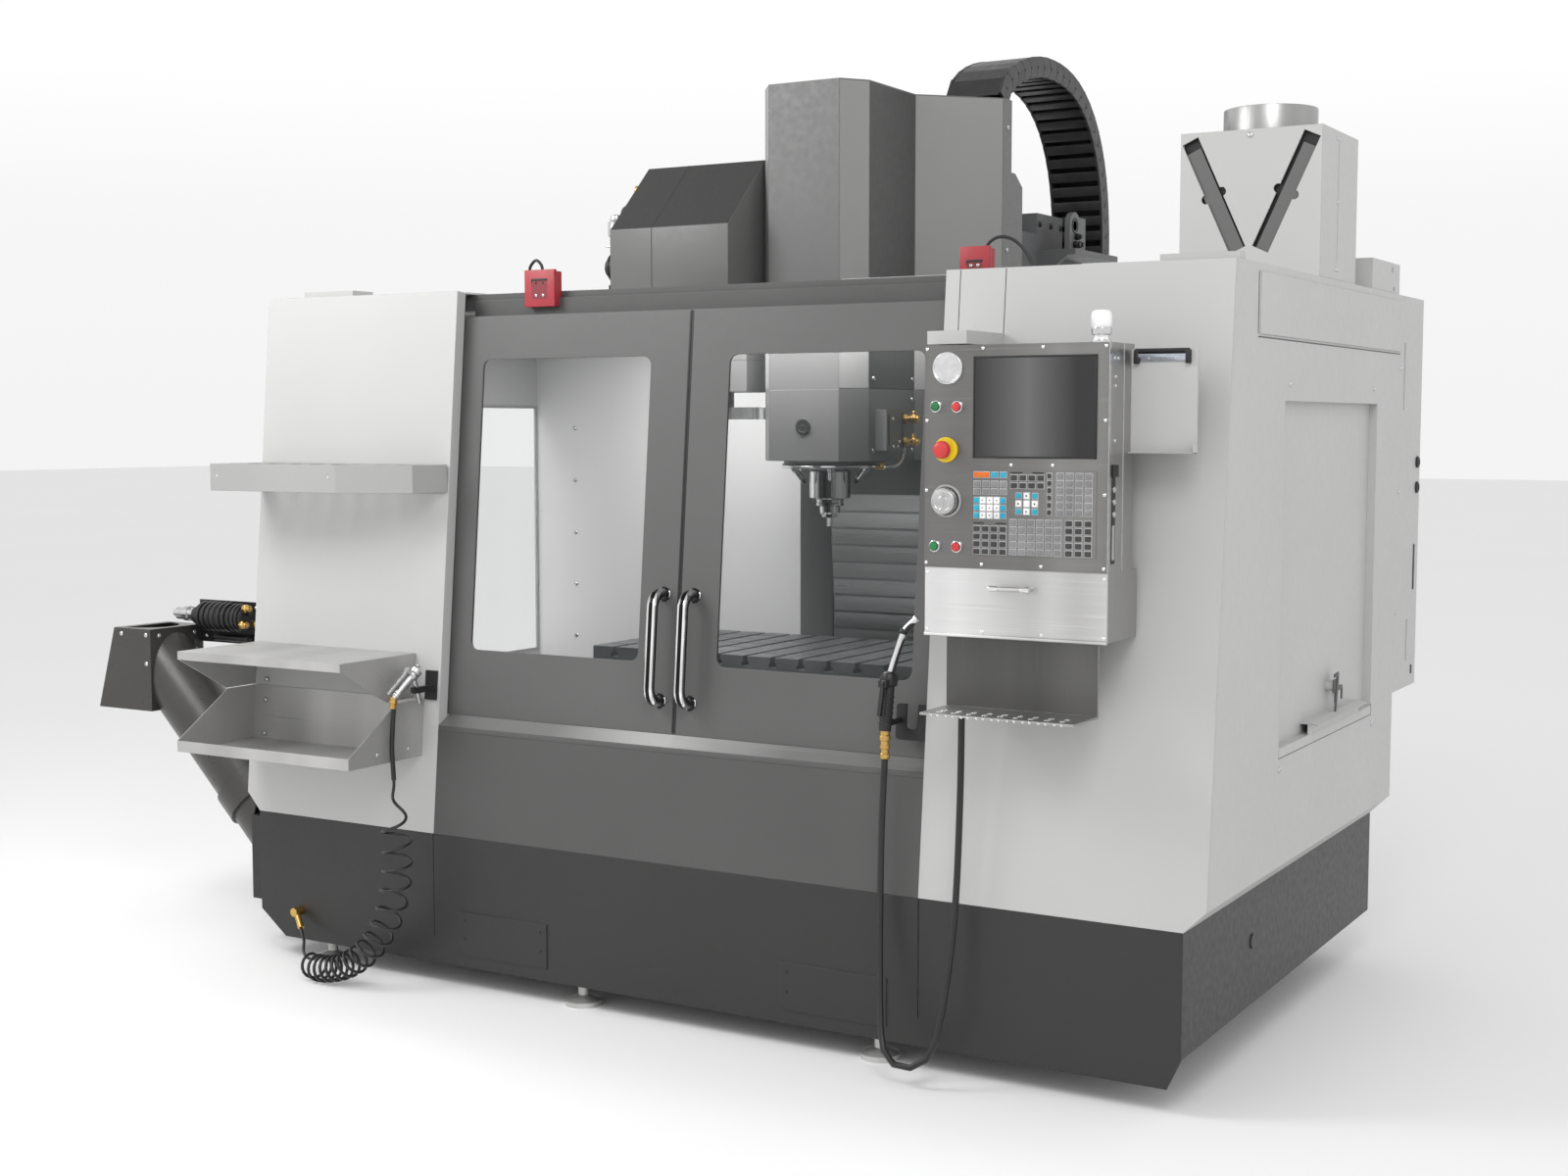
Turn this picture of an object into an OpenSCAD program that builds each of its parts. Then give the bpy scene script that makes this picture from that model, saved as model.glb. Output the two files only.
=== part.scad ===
// Vertical machining center with a sheet metal enclosure, a chip auger and a swivelling control.
// X runs to the right, Y to the back and Z up. Sizes are in millimetres.

/* [Base] */
// Width of the chip pan
base_w = 3120; // [2800:10:3400]
// Depth of the chip pan
base_d = 1805; // [1700:5:1900]
// Height of the pan's top edge above the floor
base_top = 471; // [450:1:500]
// Height of the pan's floor above the ground
pan_floor = 150; // [130:1:170]
// Height of the front skirt's lower edge
skirt_z = 70; // [55:1:90]
// Wall of the chip pan
pan_wall = 8; // [5:1:10]

/* [Enclosure] */
// Width of the enclosure
encl_w = 3235; // [3200:5:3300]
// Height of the enclosure's top edge
encl_top = 2131; // [2110:1:2160]
// Depth of the rear cabinet
cabinet_d = 302; // [240:1:380]
// Step from the pan's rear edge to the rear cabinet
cabinet_gap = 12; // [8:1:40]
// Underside of the rear cabinet
cabinet_z = 863; // [820:1:900]
// Lean of the front plane
lean_deg = 5.1; // [4:0.1:6]
// Sheet metal thickness
sheet = 6; // [4:0.5:7]
// Room behind the inner back wall, down to the pan's rear edge
rear_room = 245; // [235:1:255]
// Half width of the throat for the head
throat_half = 430; // [425:1:440]

/* [Doors] */
// Half width of the door opening
opening_half = 830; // [820:1:835]
// Width of each door
door_w = 850; // [842:1:870]
// Depth of the doors behind the front plane
door_recess = 49; // [45:1:55]
// Thickness of the doors
door_t = 35; // [30:1:38]
// Lower edge of the doors along the front plane
door_low = 367; // [360:1:375]
// Upper edge of the doors along the front plane
door_high = 1594; // [1580:1:1598]
// Height of the door handles
handle_h = 342; // [300:1:380]

/* [Table] */
// Length of the work table along X
table_l = 1372; // [1200:4:1500]
// Width of the work table along Y
table_w = 635; // [600:5:660]
// Height of the table's top face
table_z = 1000; // [980:1:1010]
// Thickness of the table
table_t = 95; // [80:1:110]
// Number of T-slots across the table
slot_count = 13; // [7:1:13]
// Spacing of the T-slots
slot_pitch = 100; // [90:1:105]
// Width of a T-slot's neck
slot_neck = 16; // [12:1:18]

/* [Head] */
// Throat from the spindle axis to the inner back wall
throat_d = 554; // [545:1:560]
// Half width of the head's front facet
nose_half = 127; // [120:1:132]
// Half width of the head's body
head_half = 190; // [180:1:190]
// Half width of the head's rear flare
flare_half = 407; // [395:1:415]
// Reach of the head ahead of the spindle axis
head_ahead = 174; // [165:1:180]
// Room between the head and the inner back wall
slide_room = 51; // [49:1:54]
// Underside of the head casting
head_low = 1607; // [1590:1:1620]
// Split between casting and cover
head_split = 1833; // [1820:1:1850]
// Top of the head cover
head_top = 2792; // [2780:1:2805]
// Radius of the spindle nose
spindle_r = 42; // [38:1:46]

/* [Tool changer] */
// Left face of the tool changer cover
changer_left = 650; // [620:1:680]
// Right face of the tool changer cover
changer_right = 198; // [196:1:204]
// Reach of the cover ahead of the spindle axis
changer_ahead = 306; // [290:1:320]
// Height of the cover's front wall above the roof
changer_wall_h = 221; // [150:1:300]
// Rise of the cover's sloping front
changer_rise = 221; // [150:1:300]
// Reach of the tool arm
arm_reach = 160; // [140:1:165]

/* [Chip auger] */
// Radius of the discharge tube
tube_r = 112; // [100:1:114]
// Rise of the discharge tube
tube_deg = 45; // [44:0.5:46]
// Height of the hood's top
hood_top = 1024; // [1018:1:1040]
// Height of the hood's lower edge
hood_low = 742; // [700:1:760]

/* [Front furniture] */
// Depth of the work shelf ahead of the base
shelf_front = 290; // [260:1:300]
// Height of the work shelf
shelf_z = 1018; // [1005:1:1030]
// Depth of the parts bin ahead of the base
bin_front = 305; // [301:1:330]
// Height of the bin's floor
bin_z = 705; // [690:1:720]
// Depth of the tool rack ahead of the front plane
rack_d = 220; // [200:1:230]
// Height of the tool rack's walls
rack_h = 85; // [70:1:100]

/* [Control] */
// Width of the control
pendant_w = 490; // [480:1:500]
// Left edge of the control, measured from the door opening's side
pendant_off = 85; // [80:1:95]
// Front of the control ahead of the base
pendant_front = 140; // [130:1:150]
// Lower edge of the control face
pendant_mid = 1365; // [1355:1:1375]
// Height of the control face
face_h = 555; // [545:1:565]
// Height of the storage bay below the face
bay_h = 170; // [160:1:185]
// Radius of a push button's cap
button_r = 11; // [9:0.5:12]
// Radius of the jog wheel
jog_r = 32; // [28:1:34]

/* [Exhaust and cable chain] */
// Radius of the exhaust collar
collar_r = 132; // [110:1:140]
// Height of the exhaust box
exhaust_h = 419; // [380:1:440]
// Width of the cable chain
chain_w = 200; // [180:1:204]
// Height of a cable chain link
chain_t = 70; // [64:1:74]

/* [Hidden] */

$fn = 48;
// Overrun of every cut
over = 5;
// Gap between pieces that move past each other
gap = 0.4;
// Radial clearance of running fits
fit = 0.05;
// Step between a raised panel and the sheet below it
raised = 4;

base_half = base_w / 2;
encl_half = encl_w / 2;
corner = encl_half - base_half;
shoulder_z = base_top + corner;
panel_len = (encl_top - base_top) / cos(lean_deg);
lean_lift = sheet * tan(lean_deg);
inner_half = encl_half - sheet;
// Depth of the folded edges of the front panels
fold_d = 39;
cabinet_front = base_d + cabinet_gap;
cabinet_rear = cabinet_front + cabinet_d;
liner_y = base_d - rear_room;
spindle_y = liner_y - throat_d;
head_front = spindle_y - head_ahead;
head_rear = liner_y - slide_room;
changer_front = spindle_y - changer_ahead;
changer_brow = encl_top + changer_wall_h;
changer_top = changer_brow + changer_rise;
pendant_x = opening_half + pendant_off;
pendant_top = pendant_mid + face_h;
pendant_low = pendant_mid - bay_h;

// Hood outline
hood_right = 2150;
hood_left_top = 2326;
hood_left = 2409;
hood_y = [90, 330];
tube_y = (hood_y[0] + hood_y[1]) / 2;
tube_mouth_z = 848;

// Middle line of the cable chain, from the head's top over the crown to the ledge behind the column
chain_in = 200;
chain_x = [chain_in, chain_in + chain_w];
chain_seat = 46;
chain_run = 379;
chain_rise = 154;
chain_reach = 541;
chain_clear = 430;
column_top = 2400;
beam_h = 75;
chain_foot_drop = 55;
chain_start = [head_rear - chain_seat, head_top + gap];
// The crown stands above the head, and above the column's beam
chain_crown = [chain_start[0] + chain_run,
  max(chain_start[1] + chain_rise, column_top + beam_h + chain_clear)];
chain_foot = [chain_crown[0] + chain_reach, column_top - chain_foot_drop];
ledge_edge = 8;
ledge_rear = chain_foot[0] + chain_t / 2 + ledge_edge;

// Shift that puts the origin under the middle of the machine
machine_x = (hood_left - encl_half - raised) / 2;
machine_y = (bin_front - ledge_rear) / 2;

// Shared shapes

// Box between pairs of limits
module block(x, y, z) {
  translate([x[0], y[0], z[0]])
    cube([x[1] - x[0], y[1] - y[0], z[1] - z[0]]);
}

// Profile in Y and Z carried along X
module along_x(x) {
  translate([x[0], 0, 0])
    rotate([90, 0, 90])
      linear_extrude(x[1] - x[0])
        children();
}

// Profile in X and Z carried along Y
module along_y(y) {
  translate([0, y[1], 0])
    rotate([90, 0, 0])
      linear_extrude(y[1] - y[0])
        children();
}

// Profile in X and Y carried along Z
module along_z(z) {
  translate([0, 0, z[0]])
    linear_extrude(z[1] - z[0])
      children();
}

module rod_x(x, y, z, r) {
  translate([x[0], y, z])
    rotate([0, 90, 0])
      cylinder(r = r, h = x[1] - x[0]);
}

module rod_y(x, y, z, r) {
  translate([x, y[1], z])
    rotate([90, 0, 0])
      cylinder(r = r, h = y[1] - y[0]);
}

module rod_z(x, y, z, r) {
  translate([x, y, z[0]])
    cylinder(r = r, h = z[1] - z[0]);
}

// Straight rod between two points
module rod(a, b, r) {
  d = b - a;
  translate(a)
    rotate([0, acos(d[2] / norm(d)), atan2(d[1], d[0])])
      cylinder(r = r, h = norm(d));
}

// Rectangle with round corners
module rounded(x, y, r) {
  translate([x[0] + r, y[0]])
    square([x[1] - x[0] - 2 * r, y[1] - y[0]]);
  translate([x[0], y[0] + r])
    square([x[1] - x[0], y[1] - y[0] - 2 * r]);
  for (cx = [x[0] + r, x[1] - r], cy = [y[0] + r, y[1] - r])
    translate([cx, cy])
      circle(r = r);
}

module both_sides() {
  children();
  mirror([1, 0, 0])
    children();
}

// Frame of the leaning front plane
module leaning() {
  translate([0, 0, base_top])
    rotate([-lean_deg, 0, 0])
      children();
}

module in_place() {
  translate([machine_x, machine_y, 0])
    children();
}

// Depth of the front plane at a height
function plane_y(z) = (z - base_top) * tan(lean_deg);
// Depth of the front sheet's rear face at a height
function sheet_y(z) = plane_y(z) + sheet / cos(lean_deg);

// Base

foot_r = 55;
foot_pad_h = 30;
foot_stud_r = 16;
foot_front_y = 62;
foot_inset = 115;
foot_rear_y = base_d - foot_inset;
foot_x_shares = [-0.84, -0.2, 0.44];
foot_rear_shares = [-0.75, 0, 0.75];

module foot(x, y) {
  translate([x, y, 0]) {
    rotate_extrude()
      polygon([[0, 0], [foot_r, 0], [foot_r, foot_pad_h / 2], [foot_stud_r, foot_pad_h], [0, foot_pad_h]]);
    cylinder(r = foot_stud_r, h = pan_floor);
    translate([0, 0, pan_floor - foot_stud_r])
      cylinder(r = 2 * foot_stud_r, h = foot_stud_r, $fn = 6);
  }
}

module levelling_feet() {
  color([0.72, 0.72, 0.7])
    in_place() {
      for (s = foot_x_shares)
        foot(s * base_half, foot_front_y);
      for (s = foot_rear_shares)
        foot(s * base_half, foot_rear_y);
    }
}

corner_left = 104;
corner_right = 37;
cover_w = 338;
cover_h = 134;
cover_z = 108;
cover_x = 568;
cover_cut = 26;
screw_r = 5;
screw_h = 3;
seam = 3;
side_disc_r = 21;
side_disc_y = 568;
side_disc_z = 325;

module access_cover() {
  along_y([-pan_wall / 2, 0])
    polygon([[cover_cut, 0], [cover_w, 0], [cover_w, cover_h], [0, cover_h], [0, cover_cut]]);
  for (sx = [cover_cut, cover_w - cover_cut], sz = [cover_cut * 2, cover_h - cover_cut])
    rod_y(sx, [-pan_wall / 2 - screw_h, -pan_wall / 2], sz, screw_r);
}

module chip_pan() {
  color([0.2, 0.2, 0.2])
    in_place() {
      difference() {
        union() {
          block([-base_half, base_half], [0, base_d], [pan_floor, pan_floor + pan_wall]);
          along_y([0, pan_wall])
            polygon([[-base_half, pan_floor], [corner_left - base_half, skirt_z],
              [base_half - corner_right, skirt_z], [base_half, pan_floor],
              [base_half, base_top], [-base_half, base_top]]);
          block([-base_half, base_half], [base_d - pan_wall, base_d], [pan_floor, base_top]);
          both_sides()
            block([base_half - pan_wall, base_half], [0, base_d], [pan_floor, base_top]);
        }
        both_sides()
          block([opening_half, opening_half + seam], [-over, seam], [pan_floor, base_top + over]);
      }
      for (x = [-cover_x - cover_w / 2, cover_x - cover_w / 2])
        translate([x, 0, cover_z])
          access_cover();
      rod_x([base_half, base_half + raised], side_disc_y, side_disc_z, side_disc_r);
      auger_boot();
    }
}

boot_w = 130;
boot_h = 280;

// Boot on the left wall that the discharge tube rises from
module auger_boot() {
  block([-base_half - boot_w, -base_half], hood_y, [pan_floor, pan_floor + boot_h]);
}

bed_half = 420;
bed_front = 330;
rear_clear = 15;
bed_rear = base_d - rear_clear;
bed_top = 600;
rail_w = 45;
rail_h = 50;
rail_x = 300;
bed_pocket = 90;
bed_rib = 160;
bed_ribs = 4;

module machine_bed() {
  color([0.45, 0.46, 0.47])
    in_place() {
      difference() {
        block([-bed_half, bed_half], [bed_front, bed_rear], [pan_floor + pan_wall, bed_top]);
        for (i = [0 : bed_ribs - 1])
          both_sides()
            bed_window(i);
      }
      both_sides()
        block([rail_x - rail_w / 2, rail_x + rail_w / 2], [bed_front, liner_y - rail_h - over],
          [bed_top, bed_top + rail_h]);
    }
}

// Pocket between two ribs of the bed's flank
module bed_window(i) {
  pitch = (bed_rear - bed_front) / bed_ribs;
  y0 = bed_front + i * pitch + bed_rib / 2;
  block([bed_half - bed_pocket, bed_half + over], [y0, y0 + pitch - bed_rib],
    [pan_floor + pan_wall + bed_pocket, bed_top - bed_pocket]);
}

column_half = 290;
column_room = 8;
column_front = liner_y;
column_rear = base_d - rear_clear;
column_deep = cabinet_rear - sheet - column_room;
column_reach = 125;
column_back = column_deep + column_reach;
guide_x = 200;
guide_top = 2350;
beam_d = 230;
ledge_w = 20;
ledge_d = 214;
ledge_side = 30;
rib_h = 90;
lug_r = 48;
lug_hole_r = 18;
lug_back = 278;
lug_rise = 86;
foot_plate_h = 118;
foot_plate_d = 50;
lug_y = base_d + lug_back;
lug_x = [chain_x[1] - ledge_w, chain_x[1]];

// Deep column: it stands on the bed, fills the middle of the rear cabinet and overhangs above its roof
module column() {
  color([0.5, 0.51, 0.52])
    in_place() {
      along_x([-column_half, column_half])
        polygon([[column_front, bed_top], [column_rear, bed_top], [column_rear, cabinet_z + sheet],
          [column_deep, cabinet_z + sheet], [column_deep, column_top - 2 * column_reach],
          [column_back, column_top - column_reach], [column_back, column_top], [column_front, column_top]]);
      both_sides()
        block([guide_x - rail_w / 2, guide_x + rail_w / 2], [head_rear + gap, column_front + over],
          [table_z - table_t, guide_top]);
      block([-column_half, column_half], [column_back - beam_d, column_back],
        [column_top - over, column_top + beam_h]);
      chain_ledge();
    }
}

// Ledge that carries the fixed end of the cable chain, with its rib, a lifting lug and a foot plate
module chain_ledge() {
  low = chain_foot[1] - ledge_w;
  block([chain_x[0], chain_x[1] + ledge_side], [column_back - ledge_d, ledge_rear], [low, chain_foot[1]]);
  along_y([column_back - ledge_d, column_back - ledge_d + ledge_w])
    polygon([[column_half - over, low - rib_h], [column_half, low - rib_h], [chain_x[1], low],
      [chain_x[1], low + over],
      [column_half - over, low + over]]);
  along_x([column_half - ledge_w, column_half])
    polygon([[column_back - over, column_top - column_reach], [column_back, column_top - column_reach],
      [ledge_rear, low], [ledge_rear, low + over], [column_back - over, low + over]]);
  along_x(lug_x)
    difference() {
      union() {
        translate([lug_y, chain_foot[1] + lug_rise])
          circle(r = lug_r);
        translate([lug_y - lug_r, chain_foot[1] - over])
          square([2 * lug_r, lug_rise + over]);
        translate([lug_y, chain_foot[1] - over])
          square([lug_r + foot_plate_d, foot_plate_h + over]);
      }
      translate([lug_y, chain_foot[1] + lug_rise])
        circle(r = lug_hole_r);
    }
}

// Enclosure

module front_panel() {
  leaning() {
    along_y([0, sheet])
      polygon([[opening_half, lean_lift], [base_half, lean_lift], [encl_half, corner],
        [encl_half, panel_len], [opening_half, panel_len]]);
    block([opening_half, opening_half + sheet], [sheet, fold_d], [lean_lift * fold_d / sheet, panel_len]);
    block([opening_half + sheet, inner_half], [sheet, fold_d], [panel_len - sheet, panel_len]);
  }
}

cap_w = 208;
cap_h = 20;
cap_y = [104, 290];

module left_front_panel() {
  color([0.86, 0.86, 0.86])
    in_place()
      mirror([1, 0, 0])
        front_panel();
}

module right_front_panel() {
  color([0.86, 0.86, 0.86])
    in_place()
      front_panel();
}

bay_front = 580;
bay_rear_in = 15;
bay_y = [bay_front, liner_y - bay_rear_in];
bay_low = 855;
bay_high = 1785;
bay_z = [bay_low, bay_high];
bay_d = 30;
brow_front = 340;
brow_in = 5;
brow_y = [brow_front, cabinet_front - brow_in];
brow_h = 158;
brow_down = 20;
brow_z = [encl_top - brow_down - brow_h, encl_top - brow_down];
vent_w = 14;
vent_back = [56, 166];
vent_h = [212, 137];
vent_high = [14, 95];
vent_a = [cabinet_front + vent_back[0], bay_z[1] - vent_high[0], bay_z[1] - vent_high[0] + vent_h[0]];
vent_b = [cabinet_front + vent_back[1], bay_z[0] + vent_high[1], bay_z[0] + vent_high[1] + vent_h[1]];

module side_sheet() {
  along_x([inner_half, encl_half])
    difference() {
      polygon([[sheet_y(shoulder_z), shoulder_z], [sheet_y(encl_top), encl_top], [cabinet_rear, encl_top],
        [cabinet_rear, cabinet_z], [cabinet_front, cabinet_z], [cabinet_front, shoulder_z]]);
      translate([bay_y[0], bay_z[0]])
        square([bay_y[1] - bay_y[0], bay_z[1] - bay_z[0]]);
      for (v = [vent_a, vent_b])
        translate([v[0], v[1]])
          square([vent_w, v[2] - v[1]]);
    }
  along_y([2 * sheet, base_d])
    polygon([[inner_half, shoulder_z], [encl_half, shoulder_z], [base_half, base_top],
      [base_half - sheet, base_top]]);
}

// Raised panel below the top edge
module brow() {
  block([encl_half, encl_half + raised], brow_y, brow_z);
}

module left_side_panel() {
  color([0.86, 0.86, 0.86])
    in_place()
      mirror([1, 0, 0]) {
        side_sheet();
        brow();
      }
}

pane_t = 8;
pane_lap = 12;

module left_side_window() {
  color([0.75, 0.82, 0.85, 0.4])
    in_place()
      block([-inner_half, -inner_half + pane_t], [bay_y[0] - pane_lap, bay_y[1] + pane_lap],
        [bay_z[0] - pane_lap, bay_z[1] + pane_lap]);
}

lip_in = [283, 144];
lip_y = [bay_y[0] + lip_in[0], bay_y[1] - lip_in[1]];
lip_z = 890;
latch_in = 551;
latch_y = bay_y[0] + latch_in;
latch_z = 963;
latch_r = 16;

module right_side_panel() {
  color([0.86, 0.86, 0.86])
    in_place() {
      side_sheet();
      brow();
      difference() {
        block([encl_half - bay_d, inner_half], [bay_y[0] - sheet, bay_y[1] + sheet],
          [bay_z[0] - sheet, bay_z[1] + sheet]);
        block([encl_half - bay_d + sheet, encl_half], bay_y, bay_z);
      }
      block([encl_half - bay_d + sheet, encl_half], lip_y, [lip_z - sheet, lip_z]);
      rod_x([encl_half - bay_d + sheet, encl_half], latch_y, latch_z, latch_r);
      block([encl_half - sheet, encl_half], [latch_y - latch_r / 2, latch_y + latch_r / 2],
        [latch_z - 3 * latch_r, latch_z]);
    }
}

module rear_cabinet() {
  color([0.84, 0.84, 0.84])
    in_place() {
      difference() {
        block([-inner_half, inner_half], [cabinet_front, cabinet_rear], [cabinet_z, encl_top]);
        block([sheet - inner_half, inner_half - sheet], [cabinet_front - over, cabinet_rear - sheet],
          [cabinet_z + sheet, encl_top - sheet]);
        block([-column_half - column_room, column_half + column_room],
          [cabinet_front - over, column_deep + column_room / 2],
            [encl_top - sheet - over, encl_top + over]);
      }
      along_y([base_d - sheet, base_d])
        polygon([[sheet - base_half, base_top], [base_half - sheet, base_top], [inner_half, shoulder_z],
          [inner_half, cabinet_z], [-inner_half, cabinet_z], [-inner_half, shoulder_z]]);
      block([-inner_half, inner_half], [base_d - sheet, cabinet_front], [cabinet_z, cabinet_z + sheet]);
    }
}

roof_front = 195;
header_y = [240, 300];

// Opening in the roof for the tool changer's gear case
case_x = [-560, -240];
case_off = [126, 124];
case_y = [spindle_y - case_off[0], spindle_y + case_off[1]];
case_low = 1830;
case_room = 10;

module liner_half() {
  along_y([liner_y, liner_y + sheet])
    polygon([[throat_half, base_top], [base_half - sheet, base_top], [inner_half, shoulder_z],
      [inner_half, encl_top - sheet], [throat_half, encl_top - sheet]]);
  block([throat_half, throat_half + sheet], [liner_y + sheet, base_d - sheet], [base_top, encl_top - sheet]);
  along_z([encl_top - sheet, encl_top])
    polygon([[throat_half, header_y[1]], [opening_half + sheet, header_y[1]], [opening_half + sheet, roof_front],
      [inner_half, roof_front], [inner_half, cabinet_front], [throat_half, cabinet_front]]);
}

module liner() {
  color([0.8, 0.8, 0.8])
    in_place()
      difference() {
        both_sides()
          liner_half();
        block([case_x[0] - case_room, case_x[1]], [case_y[0] - case_room, case_y[1] + case_room],
          [encl_top - sheet - over, encl_top + over]);
      }
}

header_h = 50;

module door_header() {
  color([0.55, 0.55, 0.55])
    in_place()
      block([-inner_half, inner_half], header_y, [encl_top - sheet - header_h, encl_top - sheet]);
}

// Doors

sill_z = 320;
sill_lip = 12;
split_gap = 2;
skin = 4;
window_x = [135, 757];
window_z = [571, 1461];
window_r = 28;
lap = 14;
door_back = door_recess + door_t;

module lower_front_panel() {
  color([0.32, 0.32, 0.32])
    in_place()
      leaning()
        block([-opening_half, opening_half], [0, sheet], [lean_lift, sill_z]);
}

module door_sill() {
  color([0.5, 0.5, 0.5])
    in_place()
      leaning()
        along_x([-opening_half, opening_half])
          polygon([[0, sill_z], [0, sill_z + sill_lip], [door_recess, door_low - gap],
            [door_back, door_low - gap], [door_back, door_low - gap - sheet],
            [door_recess + sheet, door_low - gap - sheet], [sheet, sill_z]]);
}

module door() {
  leaning()
    difference() {
      block([split_gap / 2, door_w], [door_recess, door_back], [door_low, door_high]);
      block([split_gap / 2 + skin, door_w - skin], [door_recess + skin, door_back + over],
        [door_low + skin, door_high - skin]);
      along_y([door_recess - over, door_recess + skin + over])
        rounded(window_x, window_z, window_r);
    }
}

module door_pane() {
  leaning()
    block([window_x[0] - lap, window_x[1] + lap], [door_recess + skin, door_recess + skin + pane_t],
      [window_z[0] - lap, window_z[1] + lap]);
}

handle_x = 52;
handle_z = 445;
handle_r = 12;
handle_off = 60;
handle_bend_r = 36;
handle_flange_r = 20;

module door_handle() {
  y = door_recess - handle_off;
  low = handle_z + handle_r;
  high = handle_z + handle_h - handle_r;
  leaning()
    translate([handle_x, y, 0]) {
      rod_z(0, 0, [low + handle_bend_r, high - handle_bend_r], handle_r);
      for (z = [low, high]) {
        rod_y(0, [handle_bend_r, handle_off], z, handle_r);
        rod_y(0, [handle_off - raised, handle_off], z, handle_flange_r);
      }
      translate([0, handle_bend_r, low + handle_bend_r])
        handle_bend(270);
      translate([0, handle_bend_r, high - handle_bend_r])
        handle_bend(180);
    }
}

// Quarter bend of a handle's tube in the Y and Z plane
module handle_bend(turn) {
  rotate([0, 90, 0])
    rotate([0, 0, turn])
      rotate_extrude(angle = 90)
        translate([handle_bend_r, 0])
          circle(r = handle_r);
}

module left_door() {
  color([0.42, 0.42, 0.42])
    in_place()
      mirror([1, 0, 0])
        door();
}

module right_door() {
  color([0.42, 0.42, 0.42])
    in_place()
      door();
}

module left_window() {
  color([0.75, 0.82, 0.85, 0.4])
    in_place()
      mirror([1, 0, 0])
        door_pane();
}

module right_window() {
  color([0.75, 0.82, 0.85, 0.4])
    in_place()
      door_pane();
}

module left_handle() {
  color([0.85, 0.85, 0.86])
    in_place()
      mirror([1, 0, 0])
        door_handle();
}

module right_handle() {
  color([0.85, 0.85, 0.86])
    in_place()
      door_handle();
}

// Table and saddle

table_off = 48;
table_y = spindle_y - table_off;
saddle_half = 380;
saddle_d = 520;
cross_rail_y = 190;
slot_foot = 28;
slot_foot_h = 12;
slot_depth = 32;
cross_count = 5;
cross_pitch = 115;
cross_w = 8;
cross_d = 6;
table_front = table_y - table_w / 2;

module saddle() {
  low = bed_top + rail_h + gap;
  high = table_z - table_t - gap;
  color([0.4, 0.41, 0.42])
    in_place() {
      block([-saddle_half, saddle_half], [table_y - saddle_d / 2, table_y + saddle_d / 2],
        [low, high - rail_h]);
      for (y = [table_y - cross_rail_y, table_y + cross_rail_y])
        block([-saddle_half, saddle_half], [y - rail_w / 2, y + rail_w / 2], [high - rail_h, high]);
    }
}

// One T-slot profile below the table's top
module t_slot() {
  translate([-slot_neck / 2, -slot_depth])
    square([slot_neck, slot_depth + over]);
  translate([-slot_foot / 2, -slot_depth])
    square([slot_foot, slot_foot_h]);
}

module table() {
  color([0.5, 0.51, 0.52])
    in_place()
      difference() {
        block([-table_l / 2, table_l / 2], [table_front, table_front + table_w],
          [table_z - table_t, table_z]);
        for (i = [0 : slot_count - 1])
          translate([(i - (slot_count - 1) / 2) * slot_pitch, 0, table_z])
            along_y([table_front - over, table_front + table_w + over])
              t_slot();
        for (i = [0 : cross_count - 1])
          block([-table_l / 2 - over, table_l / 2 + over],
            [table_y + (i - (cross_count - 1) / 2) * cross_pitch - cross_w / 2,
            table_y + (i - (cross_count - 1) / 2) * cross_pitch + cross_w / 2],
            [table_z - cross_d, table_z + over]);
      }
}

// Head

chamfer_d = 83;
flare_run = 280;
flare_edge = 69;
chamfer_y = head_front + chamfer_d;
flare_start = head_rear - flare_run;
flare_end = head_rear - flare_edge;
cover_wall = 5;
plate_half = 260;
block_low = 1483;
cartridge_r = 66;
cartridge_low = 1486;
ring_r = 150;
ring_h = 22;
nozzle_r = 7;
nozzle_l = 46;
nozzle_count = 6;
nozzle_deg = 40;
port_r = 26;
port_z = 1716;
side_box_z = [1640, 1770];
side_box_off = [46, 94];
side_box_y = [spindle_y - side_box_off[0], spindle_y + side_box_off[1]];
side_box_w = 40;
wing_in = 300;
wing_d = 91;
wing_drop = 235;
wing_top = head_top - wing_drop;
wing_chamfer = 60;
wing_fall = 41;

// Plan of the head cover, drawn in by a wall
function head_plan(w) = [[nose_half - w / 2, head_front + w], [head_half - w, chamfer_y + w / 2],
  [head_half - w, flare_start + w / 2], [flare_half - w, flare_end + w / 2], [flare_half - w, head_rear - w],
  [w - flare_half, head_rear - w], [w - flare_half, flare_end + w / 2], [w - head_half, flare_start + w / 2],
  [w - head_half, chamfer_y + w / 2], [w / 2 - nose_half, head_front + w]];

module head_casting() {
  color([0.35, 0.36, 0.37])
    in_place()
      difference() {
        union() {
          along_z([head_low, head_split])
            polygon([[nose_half, head_front], [head_half, chamfer_y], [head_half, flare_start],
              [plate_half, flare_start + plate_half - head_half], [plate_half, head_rear],
              [-plate_half, head_rear], [-plate_half, flare_start + plate_half - head_half],
              [-head_half, flare_start], [-head_half, chamfer_y], [-nose_half, head_front]]);
          block([-plate_half, plate_half], [flare_end, head_rear], [block_low, head_low + over]);
          rod_z(0, spindle_y, [cartridge_low, head_low + over], cartridge_r);
          rod_z(0, spindle_y, [head_low - ring_h, head_low + over], ring_r);
          for (i = [0 : nozzle_count - 1])
            translate([0, spindle_y, head_low - ring_h])
              rotate([0, 0, i * 360 / nozzle_count])
                translate([ring_r - 2 * nozzle_r, 0, 0])
                  rotate([0, nozzle_deg, 0])
                    translate([0, 0, -nozzle_l])
                      cylinder(r = nozzle_r, h = nozzle_l + nozzle_r);
          rod_y(0, [head_front - raised, head_front + over], port_z, port_r);
          block([head_half - over, head_half + side_box_w], side_box_y, side_box_z);
        }
        rod_z(0, spindle_y, [cartridge_low - over, head_split + over], spindle_r + fit);
      }
}

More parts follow.
